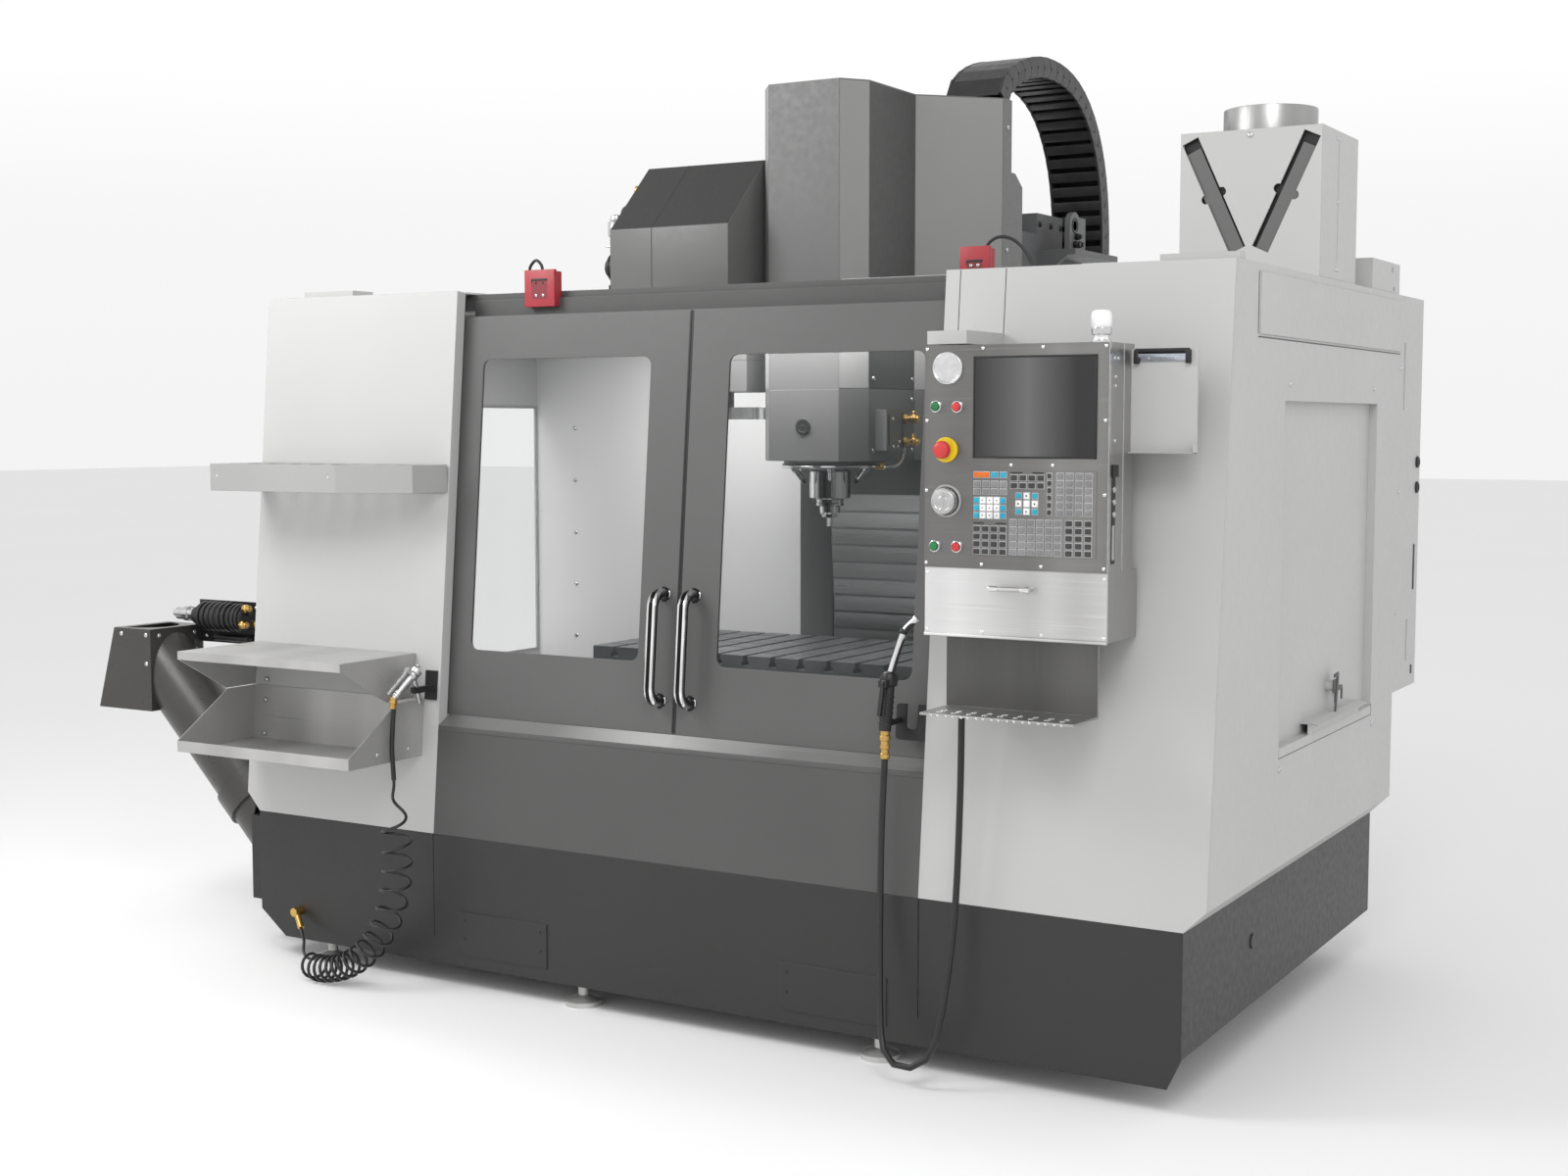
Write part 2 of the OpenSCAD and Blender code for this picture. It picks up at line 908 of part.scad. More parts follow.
module head_cover() {
  color([0.5, 0.5, 0.5])
    in_place() {
      difference() {
        along_z([head_split, head_top])
          polygon(head_plan(0));
        along_z([head_split - over, head_top - cover_wall])
          polygon(head_plan(cover_wall));
      }
      both_sides()
        along_x([wing_in, flare_half])
          polygon([[head_rear, head_split], [head_rear + wing_d, head_split],
            [head_rear + wing_d, wing_top - wing_fall], [head_rear + wing_d - wing_chamfer, wing_top],
            [head_rear, wing_top]]);
    }
}

holder_r = 32;
holder_h = 26;
tool_r = 10;
tool_low = 1393;
spindle_top = 1800;
collet_r = 24;
collet_low = 1425;

module spindle() {
  color([0.75, 0.75, 0.76])
    in_place()
      translate([0, spindle_y, 0])
        rotate_extrude()
          polygon([[0, tool_low], [tool_r, tool_low], [tool_r, collet_low], [collet_r, collet_low],
            [collet_r, cartridge_low - holder_h - holder_h],
              [holder_r, cartridge_low - holder_h - holder_h],
            [holder_r, cartridge_low - holder_h], [spindle_r, cartridge_low - holder_h],
            [spindle_r, spindle_top], [0, spindle_top]]);
}

cover_panels = 5;
cover_step = 5;
cover_room = 56;
cover_y = liner_y - cover_room;

module way_cover() {
  low = bed_top;
  high = block_low - gap;
  pitch = (high - low) / cover_panels;
  color([0.3, 0.3, 0.31])
    in_place()
      for (i = [0 : cover_panels - 1])
        block([i * cover_step - plate_half, plate_half - i * cover_step],
          [cover_y - (cover_panels - i) * cover_step - sheet, cover_y],
          [low + i * pitch, low + (i + 1) * pitch]);
}

// Tool changer

changer_back = 194;
changer_slope = 226;
changer_rear = spindle_y + changer_back;
changer_eave = changer_front + changer_slope;
hub_r = 52;
shaft_r = 30;
shaft_in = 100;
arm_z = [1740, 1780];
arm_w = 60;
grip_r = 46;
grip_hole_r = 24;
arm_x = (case_x[0] + case_x[1]) / 2;
arm_y = (case_y[0] + case_y[1]) / 2;
roof_a = atan2(changer_top - changer_brow, changer_eave - changer_front);

module changer_profile(w) {
  polygon([[changer_front + w, encl_top - w],
    [changer_front + w, changer_brow - w * (1 - sin(roof_a)) / cos(roof_a)],
    [changer_eave + w * tan(roof_a / 2), changer_top - w], [changer_rear - w, changer_top - w],
    [changer_rear - w, encl_top - w]]);
}

module tool_changer() {
  color([0.45, 0.45, 0.45])
    in_place()
      difference() {
        union() {
          difference() {
            along_x([-changer_left, -changer_right])
              changer_profile(0);
            along_x([sheet - changer_left, -changer_right - sheet])
              changer_profile(sheet);
          }
          block(case_x, case_y, [case_low, changer_top - sheet]);
        }
        rod_z(arm_x, arm_y, [case_low - over, case_low + shaft_in + over], shaft_r + fit);
      }
}

module tool_arm() {
  color([0.6, 0.6, 0.61])
    in_place()
      translate([arm_x, arm_y, 0])
        difference() {
          union() {
            rod_z(0, 0, arm_z, hub_r);
            rod_z(0, 0, [arm_z[1], case_low + shaft_in], shaft_r);
            block([-arm_reach, arm_reach], [-arm_w / 2, arm_w / 2], arm_z);
            for (x = [-arm_reach, arm_reach])
              rod_z(x, 0, arm_z, grip_r);
          }
          for (s = [0, 1])
            mirror([s, 0, 0]) {
              rod_z(arm_reach, 0, [arm_z[0] - over, arm_z[1] + over], grip_hole_r);
              block([arm_reach, arm_reach + grip_r + over], [-grip_hole_r, grip_hole_r],
                [arm_z[0] - over, arm_z[1] + over]);
            }
        }
}

// Exhaust box and cable chain

exhaust_w = 406;
exhaust_x = [inner_half - exhaust_w, inner_half];
exhaust_off = [106, 269];
exhaust_y = [spindle_y - exhaust_off[0], spindle_y + exhaust_off[1]];
collar_h = 75;
collar_wall = 4;
louvre_w = 50;
louvre_l = 344;
louvre_deg = 24.5;
louvre_off = 104;
louvre_mid = 240;
notch_r = 13;
baffle_in = 14;
box_low_in = [345, 7];
box_low_y = [cabinet_front - box_low_in[0], cabinet_front - box_low_in[1]];
box_low_w = 191;
box_low_x = [inner_half - box_low_w, inner_half];
box_low_h = 94;

module exhaust_duct() {
  cx = (exhaust_x[0] + exhaust_x[1]) / 2;
  cy = (exhaust_y[0] + exhaust_y[1]) / 2;
  top = encl_top + exhaust_h;
  baffle_y = exhaust_y[0] + sheet + baffle_in;
  color([0.86, 0.86, 0.86])
    in_place() {
      difference() {
        union() {
          block(exhaust_x, exhaust_y, [encl_top, top]);
          rod_z(cx, cy, [top, top + collar_h], collar_r);
        }
        block([exhaust_x[0] + sheet, exhaust_x[1] - sheet], [exhaust_y[0] + sheet, exhaust_y[1] - sheet],
          [encl_top + sheet, top - sheet]);
        rod_z(cx, cy, [top - sheet - over, top + collar_h + over], collar_r - collar_wall);
        for (s = [-1, 1])
          translate([cx + s * louvre_off, 0, encl_top + louvre_mid])
            rotate([0, s * louvre_deg, 0])
              louvre();
      }
      block([exhaust_x[0] + sheet, exhaust_x[1] - sheet], [baffle_y, baffle_y + sheet],
        [encl_top + sheet, top - sheet]);
      block(box_low_x, box_low_y, [encl_top, encl_top + box_low_h]);
      block([inner_half - cap_w, inner_half], [roof_front, roof_front + cap_h * 2],
        [encl_top, encl_top + cap_h]);
      block([-inner_half + cap_w / 2, cap_w + cap_w / 2 - inner_half], [roof_front, cap_y[1]],
        [encl_top, encl_top + cap_h]);
    }
}

// Long slot in the exhaust box's front, with a round notch in the middle of each edge
module louvre() {
  cut = [exhaust_y[0] - over, exhaust_y[0] + sheet + over];
  block([-louvre_w / 2, louvre_w / 2], cut, [-louvre_l / 2, louvre_l / 2]);
  for (x = [-louvre_w / 2, louvre_w / 2])
    rod_y(x, cut, 0, notch_r);
}

link_count = 24;
plate_t = 8;
bar_t = 6;
bar_in = 1;
bar_start = 13;
bar_room = 15;
bar_room_in = 26;
hinge_over = 4;
hinge_r = chain_t / 2 + hinge_over;
hinge_gap = 0.6;
pin_r = 5;
pin_h = 1.5;

// The middle line is two quarters of a superellipse, sampled finely and then stepped off in equal lengths
rise_power = 1.72;
fall_power = 2.45;
fine_steps = 90;
function chain_up(t) = [chain_crown[0] - chain_run * pow(cos(t), 2 / rise_power),
  chain_start[1] + (chain_crown[1] - chain_start[1]) * pow(sin(t), 2 / rise_power)];
function chain_down(t) = [chain_crown[0] + chain_reach * pow(sin(t), 2 / fall_power),
  chain_foot[1] + (chain_crown[1] - chain_foot[1]) * pow(cos(t), 2 / fall_power)];
chain_fine = concat([for (t = [0 : fine_steps - 1]) chain_up(t * 90 / fine_steps)],
  [for (t = [0 : fine_steps]) chain_down(t * 90 / fine_steps)]);
chain_runs = [for (k = 0, s = 0; k < len(chain_fine);
  s = s + norm(chain_fine[min(k + 1, len(chain_fine) - 1)] - chain_fine[k]), k = k + 1) s];
chain_length = chain_runs[len(chain_runs) - 1];
chain_ys = [for (k = [0 : len(chain_fine) - 1]) [chain_runs[k], chain_fine[k][0]]];
chain_zs = [for (k = [0 : len(chain_fine) - 1]) [chain_runs[k], chain_fine[k][1]]];
chain_path = [for (i = [0 : link_count])
  let (s = i * chain_length / link_count) [lookup(s, chain_ys), lookup(s, chain_zs)]];

// Side of one link in the chain's plane: its far end is round about the hinge there, and its near end is hollowed to
// turn round the end of the link before it
module link_side(i, l) {
  difference() {
    union() {
      translate([0, -chain_t / 2])
        square([l, chain_t]);
      intersection() {
        translate([l, 0])
          circle(r = hinge_r);
        translate([l - over, -chain_t / 2])
          square([hinge_r + 2 * over, chain_t]);
      }
    }
    if (i > 0)
      circle(r = hinge_r + hinge_gap);
  }
}

// One link: two side plates with a pin head on each, and a bar across on the inside and the outside of the bend
module chain_link(i) {
  d = chain_path[i + 1] - chain_path[i];
  l = norm(d);
  edge = sqrt(hinge_r * hinge_r - chain_t * chain_t / 4);
  for (x = [chain_x[0], chain_x[1] - plate_t])
    along_x([x, x + plate_t])
      chain_turn(i, d)
        link_side(i, l);
  along_x([chain_x[0] + plate_t / 2, chain_x[1] - plate_t / 2])
    chain_turn(i, d)
      for (b = [[bar_in - chain_t / 2, bar_room_in], [chain_t / 2 - bar_in - bar_t, bar_room]])
        translate([edge + bar_start, b[0]])
          square([l - b[1], bar_t]);
  for (x = [[chain_x[0] - pin_h, chain_x[0] + plate_t / 2], [chain_x[1] - plate_t / 2, chain_x[1] + pin_h]])
    rod_x(x, chain_path[i + 1][0], chain_path[i + 1][1], pin_r);
}

module chain_turn(i, d) {
  translate(chain_path[i])
    rotate(atan2(d[1], d[0]))
      children();
}

module cable_chain() {
  color([0.22, 0.22, 0.23])
    in_place()
      for (i = [0 : link_count - 1])
        difference() {
          chain_link(i);
          if (i == 0)
            chain_end(chain_start);
          if (i == link_count - 1)
            chain_end(chain_foot);
        }
}

// Room below an end of the chain, which squares that end off on its seat
module chain_end(p) {
  block([chain_x[0] - over, chain_x[1] + over], [p[0] - chain_t, p[0] + chain_t], [p[1] - chain_t, p[1]]);
}

switch_d = 40;
switch_rise = 64;
switch_a = [-613, -501, 2078, 2189];
switch_b = [843, 930, encl_top, encl_top + switch_rise];
lead_r = 5;
loop_r = 30;

module door_switch(s) {
  block([s[0], s[1]], [header_y[0] - switch_d, header_y[0]], [s[2], s[3]]);
  translate([s[0] + loop_r, header_y[0] - switch_d / 2, s[3]])
    rotate([90, 0, 0])
      rotate_extrude(angle = 180)
        translate([loop_r - lead_r, 0])
          circle(r = lead_r);
}

module door_switches() {
  color([0.65, 0.2, 0.2])
    in_place() {
      door_switch(switch_a);
      door_switch(switch_b);
    }
}

// Chip auger

tube_wall = 6;
collar_x = 1790;
collar_l = 90;
collar_t = 10;
screw_shaft_r = 22;
screw_flight_r = tube_r - tube_wall - 2 * gap;
flight_t = 12;
flight_count = 5;
flight_deg = 18;
mouth = [-hood_right, tube_y, tube_mouth_z];
tube_run = (hood_right - base_half - boot_w) / cos(tube_deg);

// Frame with its Z along the tube, from the hood's wall down to the boot
module tube_axis() {
  translate(mouth)
    rotate([0, 90 + tube_deg, 0])
      children();
}

module boot_side() {
  block([-base_half - boot_w, 0], [hood_y[0] - tube_r, hood_y[1] + tube_r], [-tube_r, encl_top]);
}

module hood_side() {
  block([-2 * hood_left, -hood_right], [hood_y[0] - tube_r, hood_y[1] + tube_r], [-tube_r, encl_top]);
}

module auger_tube() {
  color([0.3, 0.29, 0.28])
    in_place()
      difference() {
        union() {
          tube_axis()
            translate([0, 0, -2 * tube_r])
              cylinder(r = tube_r, h = tube_run + 4 * tube_r);
          tube_axis()
            translate([0, 0, tube_run - 2 * collar_l])
              cylinder(r = tube_r + collar_t, h = collar_l);
        }
        tube_axis()
          translate([0, 0, -2 * tube_r - over])
            cylinder(r = tube_r - tube_wall, h = tube_run + 4 * tube_r + 2 * over);
        boot_side();
        hood_side();
      }
}

module auger_screw() {
  length = tube_run - 3 * tube_r;
  color([0.5, 0.5, 0.5])
    in_place()
      tube_axis()
        translate([0, 0, tube_r + flight_t]) {
          cylinder(r = screw_shaft_r, h = length);
          for (i = [0 : flight_count - 1])
            translate([0, 0, flight_t * 3 + i * (length - flight_t * 6) / (flight_count - 1)])
              rotate([0, flight_deg, 0])
                translate([0, 0, -flight_t / 2])
                  cylinder(r = screw_flight_r, h = flight_t);
        }
}

hood_sheet = 5;
hook_room = 3;

module discharge_hood() {
  color([0.3, 0.3, 0.3])
    in_place()
      difference() {
        along_y(hood_y)
          polygon([[-hood_left, hood_low], [-hood_right, hood_low], [-hood_right, hood_top],
            [-hood_left_top, hood_top]]);
        along_y([hood_y[0] + hood_sheet, hood_y[1] - hood_sheet])
          polygon([[hood_sheet - hood_left, hood_low - over], [-hood_right - hood_sheet, hood_low - over],
            [-hood_right - hood_sheet, hood_top - hood_sheet],
              [hood_sheet - hood_left_top, hood_top - hood_sheet]]);
        tube_axis()
          translate([0, 0, -tube_r * 2])
            cylinder(r = tube_r - tube_wall, h = tube_r * 4);
      }
}

motor_x = [-2080, -1880];
motor_r = 45;
motor_z = 1062;
plate_x = [-2150, -1850];
plate_z = [965, 1112];
plate_y = 324;
fin_t = 6;
fin_count = 6;
gland_r = 14;
gland_l = 26;
gear_x = [-2110, -2080];

module auger_motor() {
  color([0.15, 0.15, 0.16])
    in_place() {
      block(plate_x, [plate_y - sheet, plate_y], plate_z);
      rod_x(motor_x, plate_y - sheet - motor_r - fin_t, motor_z, motor_r);
      rod_x(gear_x, plate_y - sheet - motor_r - fin_t, motor_z, motor_r * 2 / 3);
      for (i = [0 : fin_count - 1])
        rod_x([motor_x[0] + (2 * i + 1) * fin_t * 2, motor_x[0] + (2 * i + 2) * fin_t * 2],
          plate_y - sheet - motor_r - fin_t, motor_z, motor_r + fin_t);
      block([motor_x[0] + motor_r, motor_x[1] - motor_r], [plate_y - sheet - motor_r, plate_y - sheet],
        [motor_z - motor_r / 2, motor_z + motor_r / 2]);
      rod_x([motor_x[1], motor_x[1] + gland_l], plate_y - sheet - motor_r - fin_t,
        motor_z + motor_r / 2, gland_r);
      rod_x([motor_x[1], motor_x[1] + gland_l], plate_y - sheet - motor_r - fin_t,
        motor_z - motor_r / 2, gland_r);
    }
}

// Front furniture

rack_z = 1515;
rack_wall = 6;
rack_inset = 0.5;
rack_left = encl_half - rack_inset;
rack_out = [260, 40, 6];
rack_bend = opening_half + rack_out[0];
rack_bend_d = 220;
rack_right = opening_half + rack_out[1];
rack_right_d = 120;
rack_end = opening_half + rack_out[2];
pocket_r = 36;
pocket_rows = 2;
pocket_cols = 6;
pocket_pitch = 88;

module rack_plan(w) {
  back = plane_y(rack_z);
  polygon([[w - rack_left, back], [w - rack_left, back - rack_d + w], [-rack_bend, back - rack_d + w],
    [-rack_right - w / 2, back - rack_right_d + w], [-rack_end - w, back]]);
}

module tool_rack() {
  back = plane_y(rack_z);
  color([0.8, 0.8, 0.8])
    in_place()
      difference() {
        along_z([rack_z, rack_z + rack_h])
          rack_plan(0);
        difference() {
          along_z([rack_z - over, rack_z + rack_h - rack_wall])
            rack_plan(rack_wall);
          block([-rack_left, -rack_end], [back - rack_wall, back], [rack_z - over, rack_z + rack_h]);
        }
        for (i = [0 : pocket_cols - 1], j = [0 : pocket_rows - 1])
          rod_z(pocket_r * 2 - rack_left + i * pocket_pitch, back - rack_d + pocket_r * 1.5 + j * pocket_pitch,
            [rack_z, rack_z + rack_h + over], pocket_r);
        for (i = [0 : 1])
          rod_z(pocket_r * 2 - rack_left + (pocket_cols + i) * pocket_pitch,
            back - rack_d + pocket_r * 1.5 + pocket_pitch, [rack_z, rack_z + rack_h + over], pocket_r);
      }
}

shelf_in = [10.5, 102];
bin_in = [17.5, 60];
shelf_x = [shelf_in[0] - encl_half, -opening_half - shelf_in[1]];
bin_x = [bin_in[0] - encl_half, -opening_half - bin_in[1]];
thin = 3;
shelf_lip = 26;
bin_lip = 35;
meet_y = -90;
meet_z = 880;
seat = 1;

module work_shelf() {
  top_y = plane_y(shelf_z - shelf_lip);
  color([0.72, 0.72, 0.72])
    in_place() {
      block(shelf_x, [-shelf_front, top_y], [shelf_z - thin, shelf_z]);
      block(shelf_x, [-shelf_front, thin - shelf_front], [shelf_z - shelf_lip, shelf_z]);
      for (x = [shelf_x[0], shelf_x[1] - thin])
        along_x([x, x + thin])
          polygon([[thin - shelf_front, shelf_z - shelf_lip], [meet_y, meet_z + seat],
            [plane_y(meet_z), meet_z + seat], [top_y, shelf_z - shelf_lip], [top_y, shelf_z - thin],
            [thin - shelf_front, shelf_z - thin]]);
    }
}

module parts_bin() {
  color([0.74, 0.74, 0.74])
    in_place() {
      block(bin_x, [-bin_front, plane_y(bin_z)], [bin_z, bin_z + thin]);
      block(bin_x, [-bin_front, thin - bin_front], [bin_z, bin_z + bin_lip]);
      for (x = [bin_x[0], bin_x[1] - thin])
        along_x([x, x + thin])
          polygon([[-bin_front, bin_z], [-bin_front, bin_z + bin_lip], [meet_y, meet_z],
            [plane_y(meet_z), meet_z], [plane_y(bin_z), bin_z]]);
      along_x(bin_x)
        polygon([[plane_y(bin_z) - thin, bin_z], [plane_y(bin_z), bin_z], [plane_y(meet_z), meet_z],
          [plane_y(meet_z) - thin, meet_z]]);
    }
}

// Air gun on its bracket
left_side = [-opening_half, 0, 0];
right_side = [opening_half, 0, 0];
gun_tail = left_side + [-40, -126, 902];
gun_head = left_side + [-13, -69, 968];
gun_r = 13;
gun_cap_r = 17;
nozzle_end = left_side + [-22, -30, 880];
nozzle_gun_r = 8;
bracket_out = [55, 10];
bracket_x = [-opening_half - bracket_out[0], -opening_half - bracket_out[1]];
bracket_z = [410, 500];
bracket_arm = 9;
lever_t = 7;
lever_w = 16;
lever_off = 22;
lever_l = 96;
hang_share = 0.55;

// Wash gun on its hook
wash_grip = right_side + [-90, -21, 914];
wash_head = right_side + [-88, -2, 1045];
wash_bend = right_side + [-55, 18, 1177];
wash_tip = right_side + [-27, 24, 1207];
wash_grip_r = 16;
wash_wand_r = 8;
hook_w_all = 94;
hook_x = [opening_half - hook_w_all, opening_half];
hook_z = [415, 512];
hook_w = 30;
hook_y = [10, 16];
hook_pin_r = 8;
hook_pin_z = 935;
trigger_t = 10;
trigger_l = 86;
trigger_y = 34;
trigger_deg = 14;
cheek_t = 6;
pin_small_r = 3;
knuckle = 3;

function mix(a, b, t) = a + (b - a) * t;

hang_point = mix(gun_head, nozzle_end, hang_share);

module gun_brackets() {
  color([0.12, 0.12, 0.12])
    in_place() {
      leaning()
        block(bracket_x, [-sheet, 0], bracket_z);
      difference() {
        block([hang_point[0] - bracket_arm, hang_point[0] + bracket_arm],
          [hang_point[1] - bracket_arm * 2, plane_y(hang_point[2]) - sheet],
          [hang_point[2] - bracket_arm, hang_point[2] + bracket_arm]);
        rod(gun_head, nozzle_end, nozzle_gun_r + fit);
      }
      leaning()
        difference() {
          along_y(hook_y)
            rounded(hook_x, hook_z, hook_w / 3);
          along_y([hook_y[0] - over, hook_y[1] + over])
            rounded([hook_x[0] + hook_w, hook_x[1] - hook_w],
              [hook_z[0] + hook_w, hook_z[1] + hook_w], hook_w / 3);
        }
      hook_pin();
    }
}

// Peg between the hook plate and the wash gun's grip
module hook_pin() {
  grip_y = mix(wash_grip, wash_head, (hook_pin_z - wash_grip[2]) / (wash_head[2] - wash_grip[2]))[1];
  rod_y(wash_grip[0] + hook_pin_r, [grip_y + wash_grip_r, plane_y(hook_pin_z) + hook_y[0]], hook_pin_z, hook_pin_r);
}

module air_gun() {
  color([0.6, 0.6, 0.6])
    in_place() {
      rod(gun_tail, gun_head, gun_r);
      translate(gun_head)
        sphere(r = gun_cap_r);
      rod(gun_head, nozzle_end, nozzle_gun_r);
      gun_frame() {
        for (s = [-1, 1])
          translate([0, s * (lever_w / 2 + gap + lever_t / 4), 0])
            block([-lever_off - lever_t, 0], [-lever_t / 4, lever_t / 4], [-lever_t, lever_t]);
        rod_y(-lever_off - lever_t / 2, [-lever_w / 2 - gap - lever_t / 2, lever_w / 2 + gap + lever_t / 2], 0,
          lever_t / 4);
      }
    }
}

// Frame at the gun's head with its Z along the barrel
module gun_frame() {
  d = gun_head - gun_tail;
  translate(gun_head)
    rotate([0, acos(d[2] / norm(d)), atan2(d[1], d[0])])
      children();
}

module air_gun_lever() {
  color([0.8, 0.8, 0.8])
    in_place()
      gun_frame()
        difference() {
          block([-lever_off - lever_t, -lever_off], [-lever_w / 2, lever_w / 2], [-lever_l, lever_t]);
          rod_y(-lever_off - lever_t / 2, [-lever_w, lever_w], 0, lever_t / 4 + fit);
        }
}

module wash_gun() {
  color([0.2, 0.2, 0.2])
    in_place() {
      rod(wash_grip, wash_head, wash_grip_r);
      translate(wash_head)
        sphere(r = wash_grip_r + knuckle);
      rod(wash_head, wash_bend, wash_wand_r);
      translate(wash_bend)
        sphere(r = wash_wand_r + knuckle);
      rod(wash_bend, wash_tip, wash_wand_r);
      translate(wash_head) {
        for (s = [-1, 1])
          translate([s * (trigger_t / 2 + gap + cheek_t / 2), 0, 0])
            block([-cheek_t / 2, cheek_t / 2], [-trigger_y - cheek_t, 0], [-2 * cheek_t, cheek_t]);
        rod_x([-trigger_t / 2 - gap - cheek_t, trigger_t / 2 + gap + cheek_t],
          -trigger_y, -cheek_t / 2, pin_small_r);
      }
    }
}

module wash_gun_trigger() {
  color([0.1, 0.1, 0.1])
    in_place()
      translate(wash_head + [0, -trigger_y, -cheek_t / 2])
        rotate([-trigger_deg, 0, 0])
          difference() {
            union() {
              block([-trigger_t / 2, trigger_t / 2], [-cheek_t, cheek_t], [-trigger_l, 0]);
              rod_x([-trigger_t / 2, trigger_t / 2], 0, 0, cheek_t * 1.5);
            }
            rod_x([-trigger_t, trigger_t], 0, 0, pin_small_r + fit);
          }
}

// Hoses, swept along hand-chosen points
hose_r = 9;
coil_r = 40;
air_top_r = 6;
hose_sides = 8;
outlet_in = 143;
outlet_out = 40;
outlet_drop = 143;
outlet_tail = 22;
outlet = right_side + [outlet_in, -outlet_out, pendant_low - outlet_drop];
wash_run = [[-88, -25, 840], [-92, -34, 640], [-86, -55, 380], [-62, -95, 170], [-20, -130, 70],
  [32, -140, 50], [85, -120, 95], [120, -90, 230], [136, -60, 450], [142, -45, 750]];
air_run = [[-40, -126, 880], [-43, -130, 810], [-44, -133, 750], [-40, -134, 690], [-38, -134, 655], [-34, -134, 600],
  [-31, -134, 500], [-28, -134, 410], [-38, -138, 310], [-70, -145, 210], [-130, -160, 125], [-210, -168, 72],
  [-300, -165, 48], [-370, -150, 45], [-420, -120, 60], [-480, -70, 90], [-520, -40, 118]];
air_radii = [6, 6, 6, 8, 34, 40, 40, 40, 40, 40, 40, 42, 40, 30, 8, 6, 6];
wash_route = concat([for (p = wash_run) right_side + p], [outlet - [0, 0, outlet_tail]]);
air_route = [for (p = air_run) left_side + p];

function ring(p, t, r, n) =
  let (u = cross([0, 1, 0], t), a = u / norm(u), b = cross(t, a))
  [for (k = [0 : n - 1]) p + r * (a * cos(k * 360 / n) + b * sin(k * 360 / n))];

function tangent(route, i) =
  let (d = route[min(i + 1, len(route) - 1)] - route[max(i - 1, 0)]) d / norm(d);

module swept(route, radii, n) {
  rings = len(route);
  points = [for (i = [0 : rings - 1]) each ring(route[i], tangent(route, i), radii[i], n)];
  sides = [for (i = [0 : rings - 2], k = [0 : n - 1])
    [i * n + k, i * n + (k + 1) % n, (i + 1) * n + (k + 1) % n, (i + 1) * n + k]];
  first = [[for (k = [n - 1 : -1 : 0]) k]];
  last = [[for (k = [0 : n - 1]) (rings - 1) * n + k]];
  polyhedron(points = points, faces = [for (f = concat(sides, first, last)) [for (k = [len(f) - 1 : -1 : 0]) f[k]]]);
}

module air_hose() {
  color([0.05, 0.05, 0.05])
    in_place()
      swept(air_route, air_radii, hose_sides);
}

module wash_hose() {
  color([0.05, 0.05, 0.05])
    in_place()
      swept(wash_route, [for (p = wash_route) hose_r], hose_sides);
}

// Brass fittings
elbow_out = 556;
elbow_z = 163;
elbow_at = [-opening_half - elbow_out, elbow_z];
elbow_r = 14;
elbow_l = 36;
ferrule_r = 10;

module brass_fittings() {
  color([0.8, 0.62, 0.3])
    in_place() {
      rod_y(elbow_at[0], [-elbow_l, 0], elbow_at[1], elbow_r);
      rod([elbow_at[0], elbow_r - elbow_l, elbow_at[1]], air_route[len(air_route) - 1], ferrule_r);
      rod(gun_tail, air_route[0], ferrule_r);
      rod(wash_grip, wash_route[0], ferrule_r);
      rod_y(outlet[0], [outlet[1], plane_y(outlet[2] - elbow_r)], outlet[2], elbow_r);
      rod_z(outlet[0], outlet[1], [wash_route[len(wash_route) - 1][2], outlet[2]], elbow_r);
    }
}

// Control

pendant_right = pendant_x + pendant_w;
pendant_rear = 20;
bay_clear = 8.6;
bay_back = plane_y(pendant_low) - bay_clear;
face_t = 6;
pivot_at = [35, -40];
pivot = [pendant_x + pivot_at[0], pivot_at[1]];
pivot_r = 20;
pivot_in = 60;
boss_r = 34;
boss_h = 5;
arm_h = 34;
arm_w2 = 110;
arm_clear = 12;
arm_plate_t = 8;
arm_plate_h = 240;
door_thick = 5;
grip_w = 104;
grip_off = 26;
grip_rod_r = 6;
grip_in = 243;
grip_x = pendant_x + grip_in;
grip_down = 47;
grip_z = pendant_mid - grip_down;
back_plate_in = [26, 440];
back_plate_x = [pendant_x + back_plate_in[0], pendant_x + back_plate_in[1]];
back_plate_y = [-66, -60];
plate_drop = 197;
shelf_low = pendant_low - plate_drop;
shelf_plate_y = [-220, -60];
hole_r = 6;
hole_count = 9;
button_shares = [[0.0653, 0.7261], [0.1857, 0.7243], [0.1245, 0.53153], [0.12653, 0.3009],
  [0.06327, 0.0955], [0.18776, 0.0955]];
button_at = [for (p = button_shares) [pendant_x + p[0] * pendant_w, pendant_mid + p[1] * face_h]];
bezel_r = 15;
bezel_h = 6;
stop_ring_r = 30;
stop_r = 20;
button_out = 12;
stop_out = 38;
stop_cap = 18;
screen_x_shares = [0.2796, 0.93265];
screen_x = [for (k = screen_x_shares) pendant_x + k * pendant_w];
screen_z_shares = [0.5009, 0.94234];
screen_z = [for (k = screen_z_shares) pendant_mid + k * face_h];
keypad_x_shares = [0.28571, 0.93673];
keypad_x = [for (k = keypad_x_shares) pendant_x + k * pendant_w];
keypad_z_shares = [0.06667, 0.43063];
keypad_z = [for (k = keypad_z_shares) pendant_mid + k * face_h];
film = 2;
key_rows = 6;
key_cols = 12;
key_gap = 5;
beacon_in = [435, -60];
beacon_at = [pendant_x + beacon_in[0], beacon_in[1]];
beacon_r = 26;
beacon_h = 81;
clip_w = 169;
clip_x = pendant_right + clip_w;
clip_z_shares = [0.51892, 0.97297];
clip_z = [for (k = clip_z_shares) pendant_mid + k * face_h];
clip_y = [0, 6];

